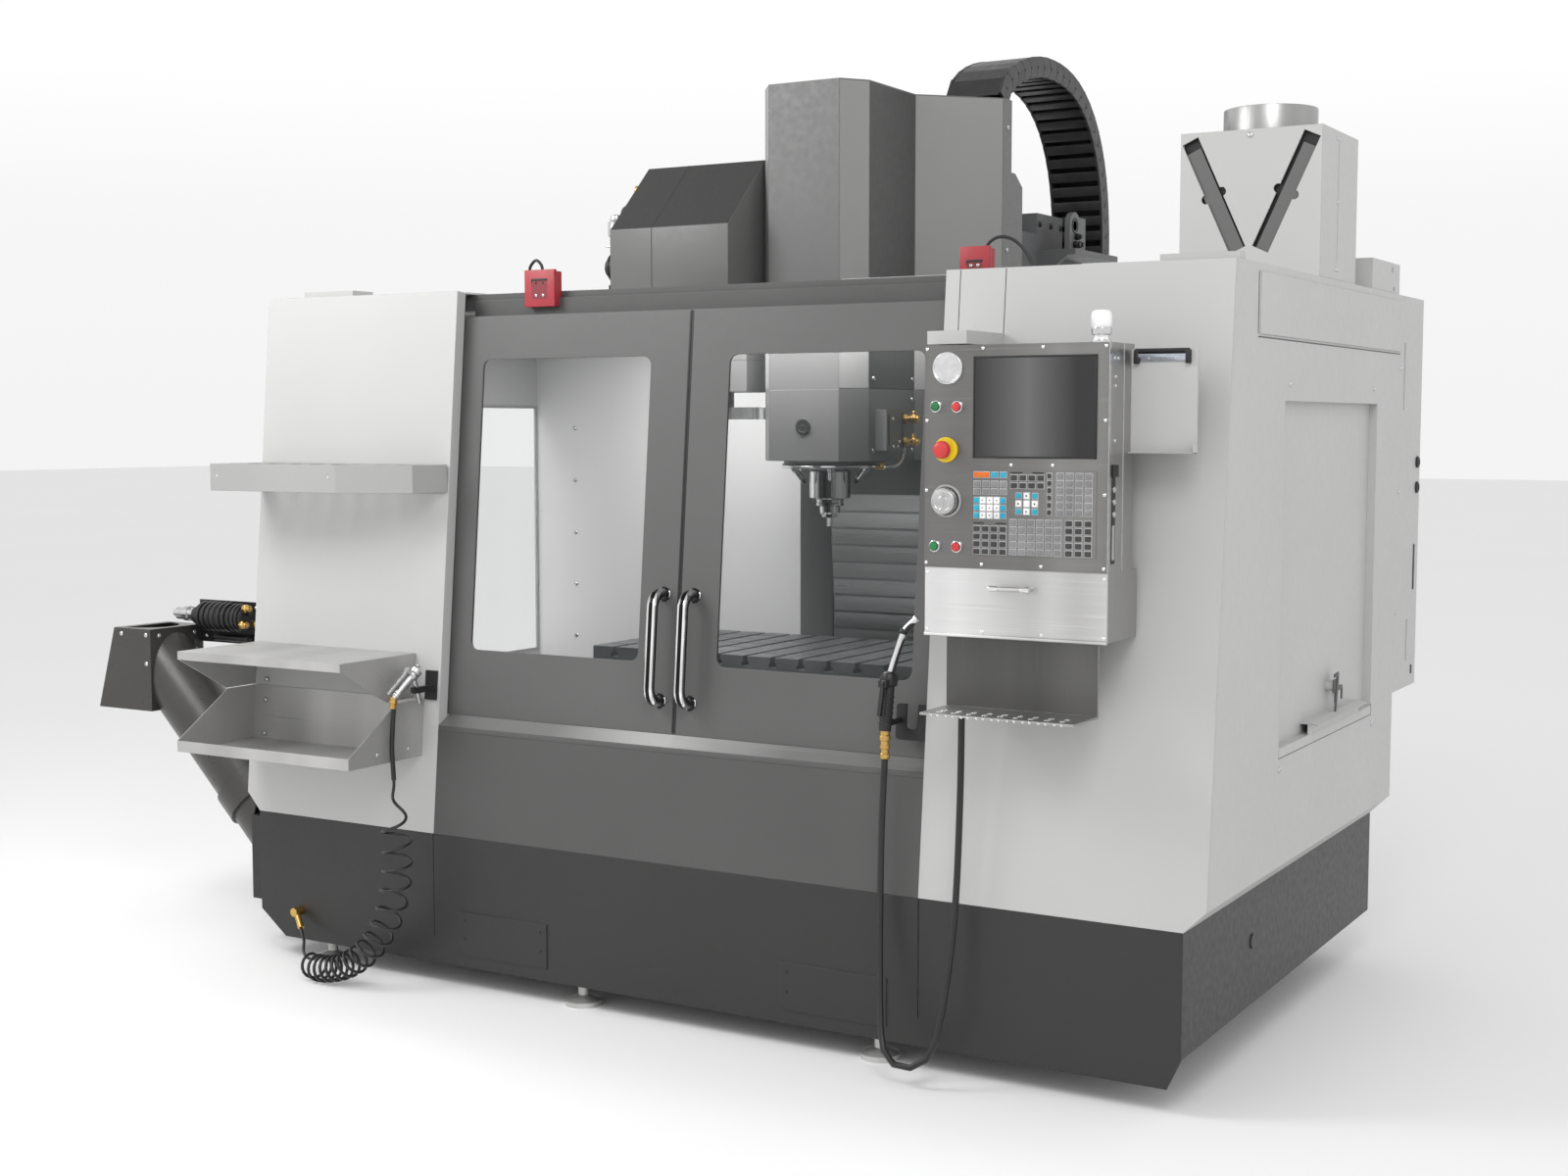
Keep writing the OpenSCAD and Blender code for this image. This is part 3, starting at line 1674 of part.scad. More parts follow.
module pendant_arm() {
  high = pendant_top + boss_h + arm_h;
  color([0.8, 0.8, 0.8])
    in_place() {
      block([pivot[0] - arm_w2 / 2, pivot[0] + arm_w2 / 2],
        [pivot[1] - arm_w2 / 2, plane_y(pendant_top + boss_h)],
        [pendant_top + boss_h, high]);
      leaning()
        block([pivot[0] - arm_w2 / 2, pivot[0] + arm_w2 / 2], [-arm_plate_t, 0],
          [(high - base_top) / cos(lean_deg) - arm_plate_h, (high - base_top) / cos(lean_deg)]);
      rod_z(pivot[0], pivot[1], [pendant_top - pivot_in + gap, pendant_top + boss_h], pivot_r);
    }
}

module pendant_case() {
  color([0.75, 0.75, 0.75])
    in_place()
      difference() {
        union() {
          block([pendant_x, pendant_right], [-pendant_front, pendant_rear], [pendant_mid, pendant_top]);
          difference() {
            block([pendant_x, pendant_right], [door_thick - pendant_front, bay_back],
              [pendant_low, pendant_mid]);
            block([pendant_x + sheet, pendant_right - sheet], [-pendant_front - over, bay_back - sheet],
              [pendant_low + sheet, pendant_mid - sheet]);
          }
          rod_z(pivot[0], pivot[1], [pendant_top, pendant_top + boss_h - gap], boss_r);
          block(back_plate_x, back_plate_y, [shelf_low, pendant_low]);
          difference() {
            block(back_plate_x, shelf_plate_y, [shelf_low, shelf_low + sheet]);
            for (i = [0 : hole_count - 1], j = [0, 1])
              rod_z(back_plate_x[0] + (i + 1) * (back_plate_x[1] - back_plate_x[0]) / (hole_count + 1),
                shelf_plate_y[0] + (j + 1) * hole_r * 5, [shelf_low - over, shelf_low + sheet + over],
                  hole_r);
          }
        }
        rod_z(pivot[0], pivot[1], [pendant_top - pivot_in, pendant_top + boss_h + over], pivot_r + fit);
      }
}

module pendant_face() {
  front = -pendant_front - face_t;
  color([0.6, 0.6, 0.6])
    in_place()
      difference() {
        union() {
          block([pendant_x, pendant_right], [front, -pendant_front], [pendant_mid, pendant_top]);
          for (i = [0, 1, 4, 5])
            rod_y(button_at[i][0], [front - bezel_h, front], button_at[i][1], bezel_r);
          rod_y(button_at[2][0], [front - bezel_h, front], button_at[2][1], stop_ring_r);
        }
        for (i = [0, 1, 2, 4, 5])
          rod_y(button_at[i][0], [front - bezel_h - over, over - pendant_front], button_at[i][1],
            button_r + gap);
      }
}

module pendant_screen() {
  front = -pendant_front - face_t;
  color([0.1, 0.12, 0.15])
    in_place()
      block(screen_x, [front - film, front], screen_z);
}

module keypad() {
  front = -pendant_front - face_t;
  kw = (keypad_x[1] - keypad_x[0] - key_gap) / key_cols;
  kh = (keypad_z[1] - keypad_z[0] - key_gap) / key_rows;
  color([0.2, 0.2, 0.22])
    in_place() {
      block(keypad_x, [front - film, front], keypad_z);
      for (i = [0 : key_cols - 1], j = [0 : key_rows - 1])
        translate([keypad_x[0] + key_gap + i * kw, front - film - film, keypad_z[0] + key_gap + j * kh])
          cube([kw - key_gap, film, kh - key_gap]);
    }
}

module push_button(i) {
  front = -pendant_front - face_t;
  rod_y(button_at[i][0], [front - button_out, front + gap], button_at[i][1], button_r);
}

module power_on() {
  color([0.1, 0.5, 0.25])
    in_place()
      push_button(0);
}

module power_off() {
  color([0.75, 0.1, 0.1])
    in_place()
      push_button(1);
}

module emergency_stop() {
  front = -pendant_front - face_t;
  color([0.8, 0.08, 0.08])
    in_place() {
      push_button(2);
      rod_y(button_at[2][0], [front - stop_out, front - stop_out + stop_cap], button_at[2][1], stop_r);
      rod_y(button_at[2][0], [front - stop_out + stop_cap, front - button_out], button_at[2][1], button_r);
    }
}

module jog_wheel() {
  front = -pendant_front - face_t;
  color([0.2, 0.2, 0.2])
    in_place()
      difference() {
        rod_y(button_at[3][0], [front - 2 * button_out, front - gap], button_at[3][1], jog_r);
        translate([button_at[3][0], front - 2 * button_out, button_at[3][1] + jog_r / 2])
          sphere(r = jog_r / 4);
      }
}

module cycle_start() {
  color([0.1, 0.5, 0.25])
    in_place()
      push_button(4);
}

module feed_hold() {
  color([0.75, 0.1, 0.1])
    in_place()
      push_button(5);
}

module storage_door() {
  front = -pendant_front;
  color([0.6, 0.6, 0.6])
    in_place() {
      block([pendant_x, pendant_right], [front - gap, front + door_thick - gap],
        [pendant_low, pendant_mid - gap]);
      rod_x([pendant_x, pendant_right], front - gap, pendant_low, door_thick);
      rod_x([grip_x - grip_w / 2, grip_x + grip_w / 2], front - grip_off, grip_z, grip_rod_r);
      for (x = [grip_x - grip_w / 2 + grip_rod_r, grip_x + grip_w / 2 - grip_rod_r])
        rod_y(x, [front - grip_off, front - gap], grip_z, grip_rod_r);
    }
}

module beacon() {
  color([0.9, 0.9, 0.9])
    in_place() {
      rod_z(beacon_at[0], beacon_at[1], [pendant_top, pendant_top + beacon_h / 4], beacon_r);
      rod_z(beacon_at[0], beacon_at[1], [pendant_top + beacon_h / 4, pendant_top + beacon_h - beacon_r / 2],
        beacon_r - cover_wall);
      rod_z(beacon_at[0], beacon_at[1],
        [pendant_top + beacon_h - beacon_r / 2, pendant_top + beacon_h], beacon_r);
    }
}

module clipboard() {
  color([0.55, 0.55, 0.55])
    in_place() {
      block([pendant_right, clip_x], clip_y, clip_z);
      block([(pendant_right + clip_x) / 2 - clip_y[1] * 5, (pendant_right + clip_x) / 2 + clip_y[1] * 5],
        [-clip_y[1], clip_y[0]], [clip_z[1] - clip_y[1] * 4, clip_z[1]]);
    }
}

levelling_feet();
chip_pan();
machine_bed();
column();
left_front_panel();
right_front_panel();
left_side_panel();
left_side_window();
right_side_panel();
rear_cabinet();
liner();
door_header();
door_sill();
lower_front_panel();
left_door();
left_window();
left_handle();
right_door();
right_window();
right_handle();
saddle();
table();
head_casting();
head_cover();
spindle();
way_cover();
tool_changer();
tool_arm();
exhaust_duct();
cable_chain();
door_switches();
auger_tube();
auger_screw();
discharge_hood();
auger_motor();
tool_rack();
work_shelf();
parts_bin();
gun_brackets();
air_gun();
air_gun_lever();
air_hose();
wash_gun();
wash_gun_trigger();
wash_hose();
brass_fittings();
pendant_arm();
pendant_case();
pendant_face();
pendant_screen();
keypad();
power_on();
power_off();
emergency_stop();
jog_wheel();
cycle_start();
feed_hold();
storage_door();
beacon();
clipboard();
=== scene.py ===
"""Dressed model of a vertical machining center: stage, hoses, finishes and small parts over the solids."""
import logging
import math
from dataclasses import dataclass
from enum import Enum
from typing import Iterable, Sequence

import bmesh
import bpy
from mathutils import Matrix, Vector


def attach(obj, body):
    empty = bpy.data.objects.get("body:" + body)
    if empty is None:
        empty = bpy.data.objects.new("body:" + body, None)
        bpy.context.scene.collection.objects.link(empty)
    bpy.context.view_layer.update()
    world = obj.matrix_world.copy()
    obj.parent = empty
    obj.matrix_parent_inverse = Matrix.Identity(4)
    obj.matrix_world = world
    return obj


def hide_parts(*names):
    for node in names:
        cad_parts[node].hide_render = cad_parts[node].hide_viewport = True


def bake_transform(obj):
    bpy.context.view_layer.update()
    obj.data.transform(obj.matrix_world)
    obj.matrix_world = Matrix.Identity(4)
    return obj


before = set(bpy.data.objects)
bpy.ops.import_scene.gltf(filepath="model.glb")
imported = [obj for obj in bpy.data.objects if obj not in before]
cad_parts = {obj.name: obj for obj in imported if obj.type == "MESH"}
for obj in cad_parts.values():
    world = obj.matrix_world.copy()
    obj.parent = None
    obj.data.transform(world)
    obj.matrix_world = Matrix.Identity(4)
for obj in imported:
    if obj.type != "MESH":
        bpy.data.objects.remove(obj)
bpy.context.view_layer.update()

LOG = logging.getLogger("machining_center")

Pair = tuple[float, float]
Point = tuple[float, float, float]
Colour = tuple[float, float, float]
Socket = bpy.types.NodeSocket
Corner = bmesh.types.BMVert

# Shapes are in millimetres of the machine: X right, Y back from the base's front, Z up from the floor.
SHIFT = Vector((0.39375, -1.0605, 0.0))
TO_METRES = Matrix.Translation(SHIFT) @ Matrix.Scale(0.001, 4)
LEAN_DEG = 5.1
BASE_TOP = 471.0
LEANING = Matrix.Translation((0, 0, BASE_TOP)) @ Matrix.Rotation(math.radians(-LEAN_DEG), 4, "X")
UPRIGHT = Matrix.Identity(4)
FRONT: Point = (0, -1, 0)
RIGHT: Point = (1, 0, 0)
LEFT: Point = (-1, 0, 0)
UP: Point = (0, 0, 1)
DOWN: Point = (0, 0, -1)
LINE_STEPS = 24
MIDDLE: Pair = (0.3, 0.7)


def at(x: float, y: float, z: float) -> Vector:
    """Point of the machine, in metres of the shared frame."""
    return TO_METRES @ Vector((x, y, z))


def plane_y(z: float) -> float:
    """Depth of the leaning front plane at a height."""
    return (z - BASE_TOP) * math.tan(math.radians(LEAN_DEG))


def smooth_line(points: Sequence[Point], count: int) -> list[Vector]:
    """Spreads points evenly along a rounded line through the given ones.

    Args:
        points: The points that the line passes through.
        count: How many points come back.

    Returns:
        The points, at equal steps along the line.
    """
    given = [Vector(p) for p in points]
    ends = [given[0] * 2 - given[1]] + given + [given[-1] * 2 - given[-2]]
    fine: list[Vector] = []
    for a, b, c, d in zip(ends, ends[1:], ends[2:], ends[3:]):
        for k in range(LINE_STEPS):
            t = k / LINE_STEPS
            fine.append(0.5 * (2 * b + (c - a) * t + (2 * a - 5 * b + 4 * c - d) * t * t
                               + (3 * b - a - 3 * c + d) * t * t * t))
    fine.append(given[-1])
    return even_steps(fine, count)


def even_steps(fine: Sequence[Vector], count: int) -> list[Vector]:
    """Points at equal steps along a finely drawn line.

    Args:
        fine: The line.
        count: How many points come back.

    Returns:
        The points, ends included.
    """
    runs = [0.0]
    for a, b in zip(fine, fine[1:]):
        runs.append(runs[-1] + (b - a).length)
    steps: list[Vector] = []
    k = 0
    for i in range(count):
        want = runs[-1] * i / (count - 1)
        while k < len(runs) - 2 and runs[k + 1] < want:
            k += 1
        span = max(runs[k + 1] - runs[k], 1e-9)
        steps.append(fine[k].lerp(fine[k + 1], unit((want - runs[k]) / span)))
    return steps


def unit(value: float) -> float:
    """The value, held between 0 and 1."""
    return min(max(value, 0), 1)


def line_length(points: Sequence[Vector]) -> float:
    """Length of a line through points."""
    return sum((b - a).length for a, b in zip(points, points[1:]))


class Axis(Enum):
    """Direction that a form is carried along, or that a finish's grain runs in."""

    X = 0
    Y = 1
    Z = 2


class Graph:
    """Lays the nodes of one material."""

    def __init__(self, material: bpy.types.Material) -> None:
        """Starts from the material's own shader.

        Args:
            material: The material to lay out.
        """
        material.use_nodes = True
        self.tree = material.node_tree
        self.shader = self.tree.nodes["Principled BSDF"]
        self.place = self.add("ShaderNodeTexCoord").outputs["Object"]

    def add(self, kind: str, **settings: object) -> bpy.types.Node:
        """Adds a node.

        Args:
            kind: The node's type.
            settings: Its settings, by name.

        Returns:
            The new node.
        """
        node = self.tree.nodes.new(kind)
        for key, value in settings.items():
            setattr(node, key, value)
        return node

    def link(self, source: Socket, target: Socket) -> None:
        """Joins two sockets."""
        self.tree.links.new(source, target)

    def shade(self, socket: str, source: Socket) -> None:
        """Feeds one of the shader's sockets."""
        self.link(source, self.shader.inputs[socket])

    def fix(self, **values: object) -> None:
        """Sets the shader's own sockets, named with _ for spaces."""
        for key, value in values.items():
            self.shader.inputs[key.replace("_", " ")].default_value = value

    def noise(self, scale: float, detail: float = 3.0, stretch: Point = (1, 1, 1)) -> Socket:
        """Noise over the object's own place.

        Args:
            scale: Cells in a metre.
            detail: Octaves.
            stretch: Factors on the three directions; a small one draws streaks along it.

        Returns:
            The noise's value.
        """
        source = self.place
        if stretch != (1, 1, 1):
            mapping = self.add("ShaderNodeMapping")
            mapping.inputs["Scale"].default_value = stretch
            self.link(source, mapping.inputs["Vector"])
            source = mapping.outputs["Vector"]
        node = self.add("ShaderNodeTexNoise")
        node.inputs["Scale"].default_value = scale
        node.inputs["Detail"].default_value = detail
        self.link(source, node.inputs["Vector"])
        return node.outputs["Fac"]

    def span(self, value: Socket, given: Pair, wanted: Pair) -> Socket:
        """Maps a value from one range to another, held at its ends.

        Args:
            value: The value.
            given: The range it has.
            wanted: The range it gets.

        Returns:
            The mapped value.
        """
        node = self.add("ShaderNodeMapRange")
        for key, number in zip(("From Min", "From Max", "To Min", "To Max"), (*given, *wanted)):
            node.inputs[key].default_value = number
        self.link(value, node.inputs["Value"])
        return node.outputs["Result"]

    def product(self, a: Socket, b: Socket) -> Socket:
        """Product of two values that both vary.

        Args:
            a: One value.
            b: The other.

        Returns:
            The product.
        """
        node = self.add("ShaderNodeMath", operation="MULTIPLY")
        self.link(a, node.inputs[0])
        self.link(b, node.inputs[1])
        return node.outputs[0]

    def ramp(self, value: Socket, stops: Sequence[tuple[float, Colour]]) -> Socket:
        """Colour along a row of stops.

        Args:
            value: The value that runs along the row.
            stops: Places from 0 to 1, each with its colour.

        Returns:
            The colour.
        """
        node = self.add("ShaderNodeValToRGB")
        row = node.color_ramp.elements
        while len(row) < len(stops):
            row.new(0.5)
        for element, (place, colour) in zip(row, stops):
            element.position = place
            element.color = (*colour, 1)
        self.link(value, node.inputs["Fac"])
        return node.outputs["Color"]

    def over(self, mask: Socket, under: Socket, colour: Colour) -> Socket:
        """Lays a colour over another where a mask says so.

        Args:
            mask: How much of the colour is seen.
            under: The colour below.
            colour: The colour laid over it.

        Returns:
            The mixed colour.
        """
        node = self.add("ShaderNodeMix", data_type="RGBA")
        self.link(mask, node.inputs["Factor"])
        self.link(under, node.inputs[6])
        node.inputs[7].default_value = (*colour, 1)
        return node.outputs[2]

    def tones(self, value: Socket, colour: Colour, factors: Pair) -> Socket:
        """Colour that goes from one tone to another over the middle of a noise.

        Args:
            value: The noise's value.
            colour: The main colour.
            factors: Factors on the main colour for the two tones.

        Returns:
            The colour.
        """
        return self.ramp(value, [(place, toned(colour, factor)) for place, factor in zip(MIDDLE, factors)])

    def gloss(self, value: Socket, roughness: float, swing: Pair, given: Pair = MIDDLE) -> None:
        """Lets a value vary the shader's roughness.

        Args:
            value: The value.
            roughness: The main roughness.
            swing: What the value's ends add to it.
            given: The value's range.
        """
        self.shade("Roughness", self.span(value, given, (roughness + swing[0], roughness + swing[1])))

    def bump(self, height: Socket, strength: float, depth: float,
             normal: Socket | None = None) -> None:
        """Presses a height into the shader's normal.

        Args:
            height: The height's value.
            strength: Strength of the relief.
            depth: Its depth in metres.
            normal: A normal that it starts from.
        """
        node = self.add("ShaderNodeBump")
        node.inputs["Strength"].default_value = strength
        node.inputs["Distance"].default_value = depth
        self.link(height, node.inputs["Height"])
        if normal:
            self.link(normal, node.inputs["Normal"])
        self.shade("Normal", node.outputs["Normal"])

    def rim(self, radius: float) -> tuple[Socket, Socket]:
        """Rounded normals and a mask along the edges.

        Args:
            radius: Radius of the rounding in metres.

        Returns:
            The rounded normal, and a value that is 1 on edges.
        """
        node = self.add("ShaderNodeBevel", samples=4)
        node.inputs["Radius"].default_value = radius
        plain = self.add("ShaderNodeNewGeometry").outputs["Normal"]
        dot = self.add("ShaderNodeVectorMath", operation="DOT_PRODUCT")
        self.link(node.outputs["Normal"], dot.inputs[0])
        self.link(plain, dot.inputs[1])
        return node.outputs["Normal"], self.span(dot.outputs["Value"], (0.995, 0.85), (0.0, 1.0))


def toned(colour: Colour, factor: float) -> Colour:
    """A colour made lighter or darker."""
    return tuple(min(max(c * factor, 0.0), 1.0) for c in colour)


@dataclass(frozen=True)
class Finish:
    """A finish with a name and a main colour."""

    name: str
    colour: Colour
    roughness: float = 0.5

    def material(self) -> bpy.types.Material:
        """The material of this finish, made on first use.

        Returns:
            The material.
        """
        label = f"{self.name}_finish"
        found = bpy.data.materials.get(label)
        if found:
            return found
        made = bpy.data.materials.new(label)
        made.diffuse_color = (*self.colour, 1)
        graph = Graph(made)
        graph.fix(Roughness=self.roughness)
        self.lay(graph)
        return made

    def lay(self, graph: Graph) -> None:
        """Lays the finish's nodes."""
        raise NotImplementedError


@dataclass(frozen=True)
class Paint(Finish):
    """Powder coat: soft mottle, orange peel and light wear along the edges."""

    mottle: float = 0.05
    peel: float = 0.12
    wear: float = 0.5
    rim_mm: float = 3.0

    def lay(self, graph: Graph) -> None:
        """Lays mottle, wear, gloss and peel.

        Args:
            graph: The material's nodes.
        """
        broad = graph.noise(1.6, 4)
        fine = graph.noise(45, 4)
        base = graph.tones(broad, self.colour, (1 - self.mottle, 1 + self.mottle))
        normal, rim = graph.rim(self.rim_mm / 1000)
        worn = graph.product(rim, graph.span(fine, (0.45, 0.75), (0.0, self.wear)))
        light = tuple(c + (0.8 - c) * 0.35 for c in self.colour)
        graph.shade("Base Color", graph.over(worn, base, light))
        graph.gloss(fine, self.roughness, (-0.05, 0.06))
        graph.bump(graph.noise(700, 2), self.peel, 0.0004, normal)


@dataclass(frozen=True)
class Brushed(Finish):
    """Bare metal with grain along one direction, and broad soft light and dark bands across another that are
    painted reflections in its colour.
    """

    grain: Axis = Axis.X
    # Direction across which the painted reflection bands vary; their strength and scale follow.
    reflection_bands: Axis = Axis.X
    swing: float = 0.3
    reflection_band_scale: float = 3.0
    relief: float = 0.06
    metallic: float = 1.0

    def lay(self, graph: Graph) -> None:
        """Lays grain, painted reflection bands and edge light.

        Args:
            graph: The material's nodes.
        """
        along = [260.0, 260.0, 260.0]
        along[self.grain.value] = 3.0
        streak = graph.noise(1.0, 3, tuple(along))
        # Painted reflection: broad light and dark bands in the base colour stand in for the studio seen in
        # the metal.
        across = [0.05, 0.05, 0.05]
        across[self.reflection_bands.value] = 1.0
        reflection_band = graph.noise(self.reflection_band_scale, 2, tuple(across))
        base = graph.tones(reflection_band, self.colour, (1 - self.swing, 1 + self.swing))
        scratch = graph.span(streak, (0.62, 0.78), (0.0, 0.35))
        graph.shade("Base Color", graph.over(scratch, base, toned(self.colour, 1.5)))
        graph.gloss(streak, self.roughness, (-0.07, 0.09))
        normal, _ = graph.rim(0.0015)
        graph.bump(streak, self.relief, 0.0003, normal)
        graph.fix(Metallic=self.metallic)


@dataclass(frozen=True)
class Polished(Finish):
    """Bright metal: fine swirl and faint smears."""

    smear: float = 0.06

    def lay(self, graph: Graph) -> None:
        """Lays smears and swirl.

        Args:
            graph: The material's nodes.
        """
        fine = graph.noise(60, 4)
        graph.shade("Base Color", graph.tones(fine, self.colour, (0.9, 1.08)))
        graph.gloss(fine, self.roughness, (0.0, self.smear), (0.35, 0.7))
        normal, _ = graph.rim(0.0012)
        graph.bump(graph.noise(900, 2), 0.02, 0.0002, normal)
        graph.fix(Metallic=1.0)


@dataclass(frozen=True)
class PaintedReflectionChrome(Finish):
    """Chrome with painted reflections: light and dark bands in its colour, set by which way the surface
    faces, like a studio seen in round bars.
    """

    across: Point = (0.862, 0.507, 0.0)
    reflection_bands: tuple[Pair, ...] = ((0.0, 0.35), (0.06, 1.0), (0.18, 1.0), (0.22, 0.03), (0.52, 0.02),
                               (0.56, 1.1), (0.78, 1.0), (0.87, 0.35), (0.94, 0.08), (1.0, 0.05))

    def lay(self, graph: Graph) -> None:
        """Lays the painted reflection bands round the bar and the smears in its gloss.

        Args:
            graph: The material's nodes.
        """
        # Painted reflection: the base colour turns light or dark with the normal's direction along a fixed
        # line across the view, not with any lamp.
        dot = graph.add("ShaderNodeVectorMath", operation="DOT_PRODUCT")
        graph.link(graph.add("ShaderNodeNewGeometry").outputs["Normal"], dot.inputs[0])
        dot.inputs[1].default_value = self.across
        turn = graph.span(dot.outputs["Value"], (-1.0, 1.0), (0.0, 1.0))
        stops = [(place, toned(self.colour, tone)) for place, tone in self.reflection_bands]
        graph.shade("Base Color", graph.ramp(turn, stops))
        graph.gloss(graph.noise(60, 4), self.roughness, (0.0, 0.06), (0.35, 0.7))
        normal, _ = graph.rim(0.0012)
        graph.bump(graph.noise(900, 2), 0.02, 0.0002, normal)
        graph.fix(Metallic=1.0)


@dataclass(frozen=True)
class Cast(Finish):
    """Machined or cast iron: tool marks in two directions over a cloudy tone."""

    metallic: float = 0.6
    marks: float = 0.1

    def lay(self, graph: Graph) -> None:
        """Lays clouds and crossing marks.

        Args:
            graph: The material's nodes.
        """
        cloud = graph.noise(9, 5)
        mark = graph.product(graph.noise(1.0, 2, (420, 14, 60)), graph.noise(1.0, 2, (14, 420, 60)))
        graph.shade("Base Color", graph.tones(cloud, self.colour, (0.8, 1.2)))
        graph.gloss(mark, self.roughness, (-0.08, 0.1), (0.1, 0.45))
        normal, _ = graph.rim(0.002)
        graph.bump(mark, self.marks, 0.0005, normal)
        graph.fix(Metallic=self.metallic)


@dataclass(frozen=True)
class Moulded(Finish):
    """Moulded plastic or rubber with a fine spark texture."""

    grit: float = 900.0
    relief: float = 0.15
    sheen: float = 0.0

    def lay(self, graph: Graph) -> None:
        """Lays spark texture and tone.

        Args:
            graph: The material's nodes.
        """
        fine = graph.noise(self.grit, 2)
        broad = graph.noise(25, 3)
        graph.shade("Base Color", graph.tones(broad, self.colour, (0.85, 1.15)))
        graph.gloss(broad, self.roughness, (-0.06, 0.08))
        normal, _ = graph.rim(0.0012)
        graph.bump(fine, self.relief, 0.0002, normal)
        if self.sheen:
            graph.fix(Sheen_Weight=self.sheen)


@dataclass(frozen=True)
class Pane(Finish):
    """Clear window: faint tint, wiping marks and a soft gloss."""

    clear: float = 0.03

    def lay(self, graph: Graph) -> None:
        """Lays wiping marks in gloss and tint.

        Args:
            graph: The material's nodes.
        """
        smear = graph.noise(7, 4, (1.0, 1.0, 0.35))
        graph.shade("Base Color", graph.ramp(smear, [(0.35, toned(self.colour, 0.92)), (0.65, self.colour)]))
        graph.gloss(smear, self.roughness, (0.0, 0.05), (0.4, 0.7))
        graph.shade("Alpha", graph.span(smear, (0.35, 0.75), (self.clear, self.clear * 1.5)))


@dataclass(frozen=True)
class Display(Finish):
    """Dark screen with a soft painted reflection band across it."""

    left_m: float = 0.0
    right_m: float = 1.0
    reflection_band: tuple[Pair, ...] = ((0.0, 1.5), (0.25, 9), (0.45, 16), (0.62, 9), (0.85, 1), (1.0, 1))

    def lay(self, graph: Graph) -> None:
        """Lays the painted reflection band, the pixel grid's relief and the cover glass.

        Args:
            graph: The material's nodes.
        """
        split = graph.add("ShaderNodeSeparateXYZ")
        graph.link(graph.place, split.inputs[0])
        run = graph.span(split.outputs["X"], (self.left_m, self.right_m), (0.0, 1.0))
        # Painted reflection: a soft light band across the screen's colour.
        stops = [(place, toned(self.colour, tone)) for place, tone in self.reflection_band]
        graph.shade("Base Color", graph.ramp(run, stops))
        graph.gloss(graph.noise(30, 3), self.roughness, (0.0, 0.06))
        graph.bump(graph.noise(1600, 1), 0.03, 0.0001)
        graph.fix(Coat_Weight=0.4, Coat_Roughness=0.06)


@dataclass(frozen=True)
class Strip(Finish):
    """Satin steel strip with a painted highlight at its middle."""

    left_m: float = 0.0
    right_m: float = 1.0
    painted_highlight: tuple[Pair, ...] = ((0.0, 0.4), (0.25, 0.45), (0.44, 0.95), (0.5, 1), (0.58, 0.8), (0.74, 0.45),
                             (1.0, 0.4))

    def lay(self, graph: Graph) -> None:
        """Lays the painted highlight at the middle, the grain and the edge light.

        Args:
            graph: The material's nodes.
        """
        split = graph.add("ShaderNodeSeparateXYZ")
        graph.link(graph.place, split.inputs[0])
        run = graph.span(split.outputs["X"], (self.left_m, self.right_m), (0.0, 1.0))
        # Painted highlight: the base colour is brightest at the strip's middle and darker towards its ends.
        base = graph.ramp(run, [(place, toned(self.colour, tone)) for place, tone in self.painted_highlight])
        streak = graph.noise(1.0, 3, (3.0, 260.0, 260.0))
        scratch = graph.span(streak, (0.62, 0.78), (0.0, 0.25))
        graph.shade("Base Color", graph.over(scratch, base, toned(self.colour, 1.3)))
        graph.gloss(streak, self.roughness, (-0.06, 0.08))
        normal, _ = graph.rim(0.0015)
        graph.bump(streak, 0.05, 0.0003, normal)
        graph.fix(Metallic=0.6)


COAT_WHITE = Paint("coat_white", (0.48, 0.48, 0.476), 0.42, mottle=0.025)
COAT_LINER = Paint("coat_liner", (0.70, 0.70, 0.695), 0.4, mottle=0.03)
COAT_CHARCOAL = Paint("coat_charcoal", (0.021, 0.021, 0.0205), 0.42, mottle=0.1, wear=0.25)
COAT_DOOR = Paint("coat_door", (0.098, 0.097, 0.096), 0.45, mottle=0.06, wear=0.3)
COAT_LOWER = Paint("coat_lower", (0.072, 0.072, 0.071), 0.45, mottle=0.07, wear=0.3)
COAT_HEADER = Paint("coat_header", (0.075, 0.075, 0.074), 0.5, mottle=0.07, wear=0.3)
COAT_COVER = Paint("coat_cover", (0.122, 0.121, 0.12), 0.4, mottle=0.05, wear=0.3)
COAT_CHANGER = Paint("coat_changer", (0.125, 0.125, 0.123), 0.38, mottle=0.06, wear=0.3)
# Lighter and darker copies of the head cover's paint, laid on its faces as painted light and painted shade.
COVER_PAINTED_LIGHT = Paint("cover_painted_light", (0.255, 0.254, 0.251), 0.4, mottle=0.05, wear=0.3)
COVER_PAINTED_SHADE = Paint("cover_painted_shade", (0.055, 0.055, 0.054), 0.42, mottle=0.06, wear=0.3)
# Near-black copy of the changer's paint for its slope: painted shade.
SLOPE_PAINTED_SHADE = Paint("slope_painted_shade", (0.026, 0.026, 0.0255), 0.42, mottle=0.08, wear=0.3)
COAT_AUGER = Paint("coat_auger", (0.046, 0.044, 0.042), 0.32, mottle=0.12, wear=0.3)
COAT_RACK = Paint("coat_rack", (0.34, 0.34, 0.336), 0.42, mottle=0.04)
COAT_IRON = Paint("coat_iron", (0.11, 0.112, 0.115), 0.5, mottle=0.12, peel=0.3)
COAT_RED = Paint("coat_red", (0.34, 0.03, 0.04), 0.4, mottle=0.06, rim_mm=1.5)
# Darker copy of the switch red for its recess: painted shade.
SWITCH_RED_PAINTED_SHADE = Paint("switch_red_painted_shade", (0.19, 0.02, 0.026), 0.45, mottle=0.08, rim_mm=1.0)
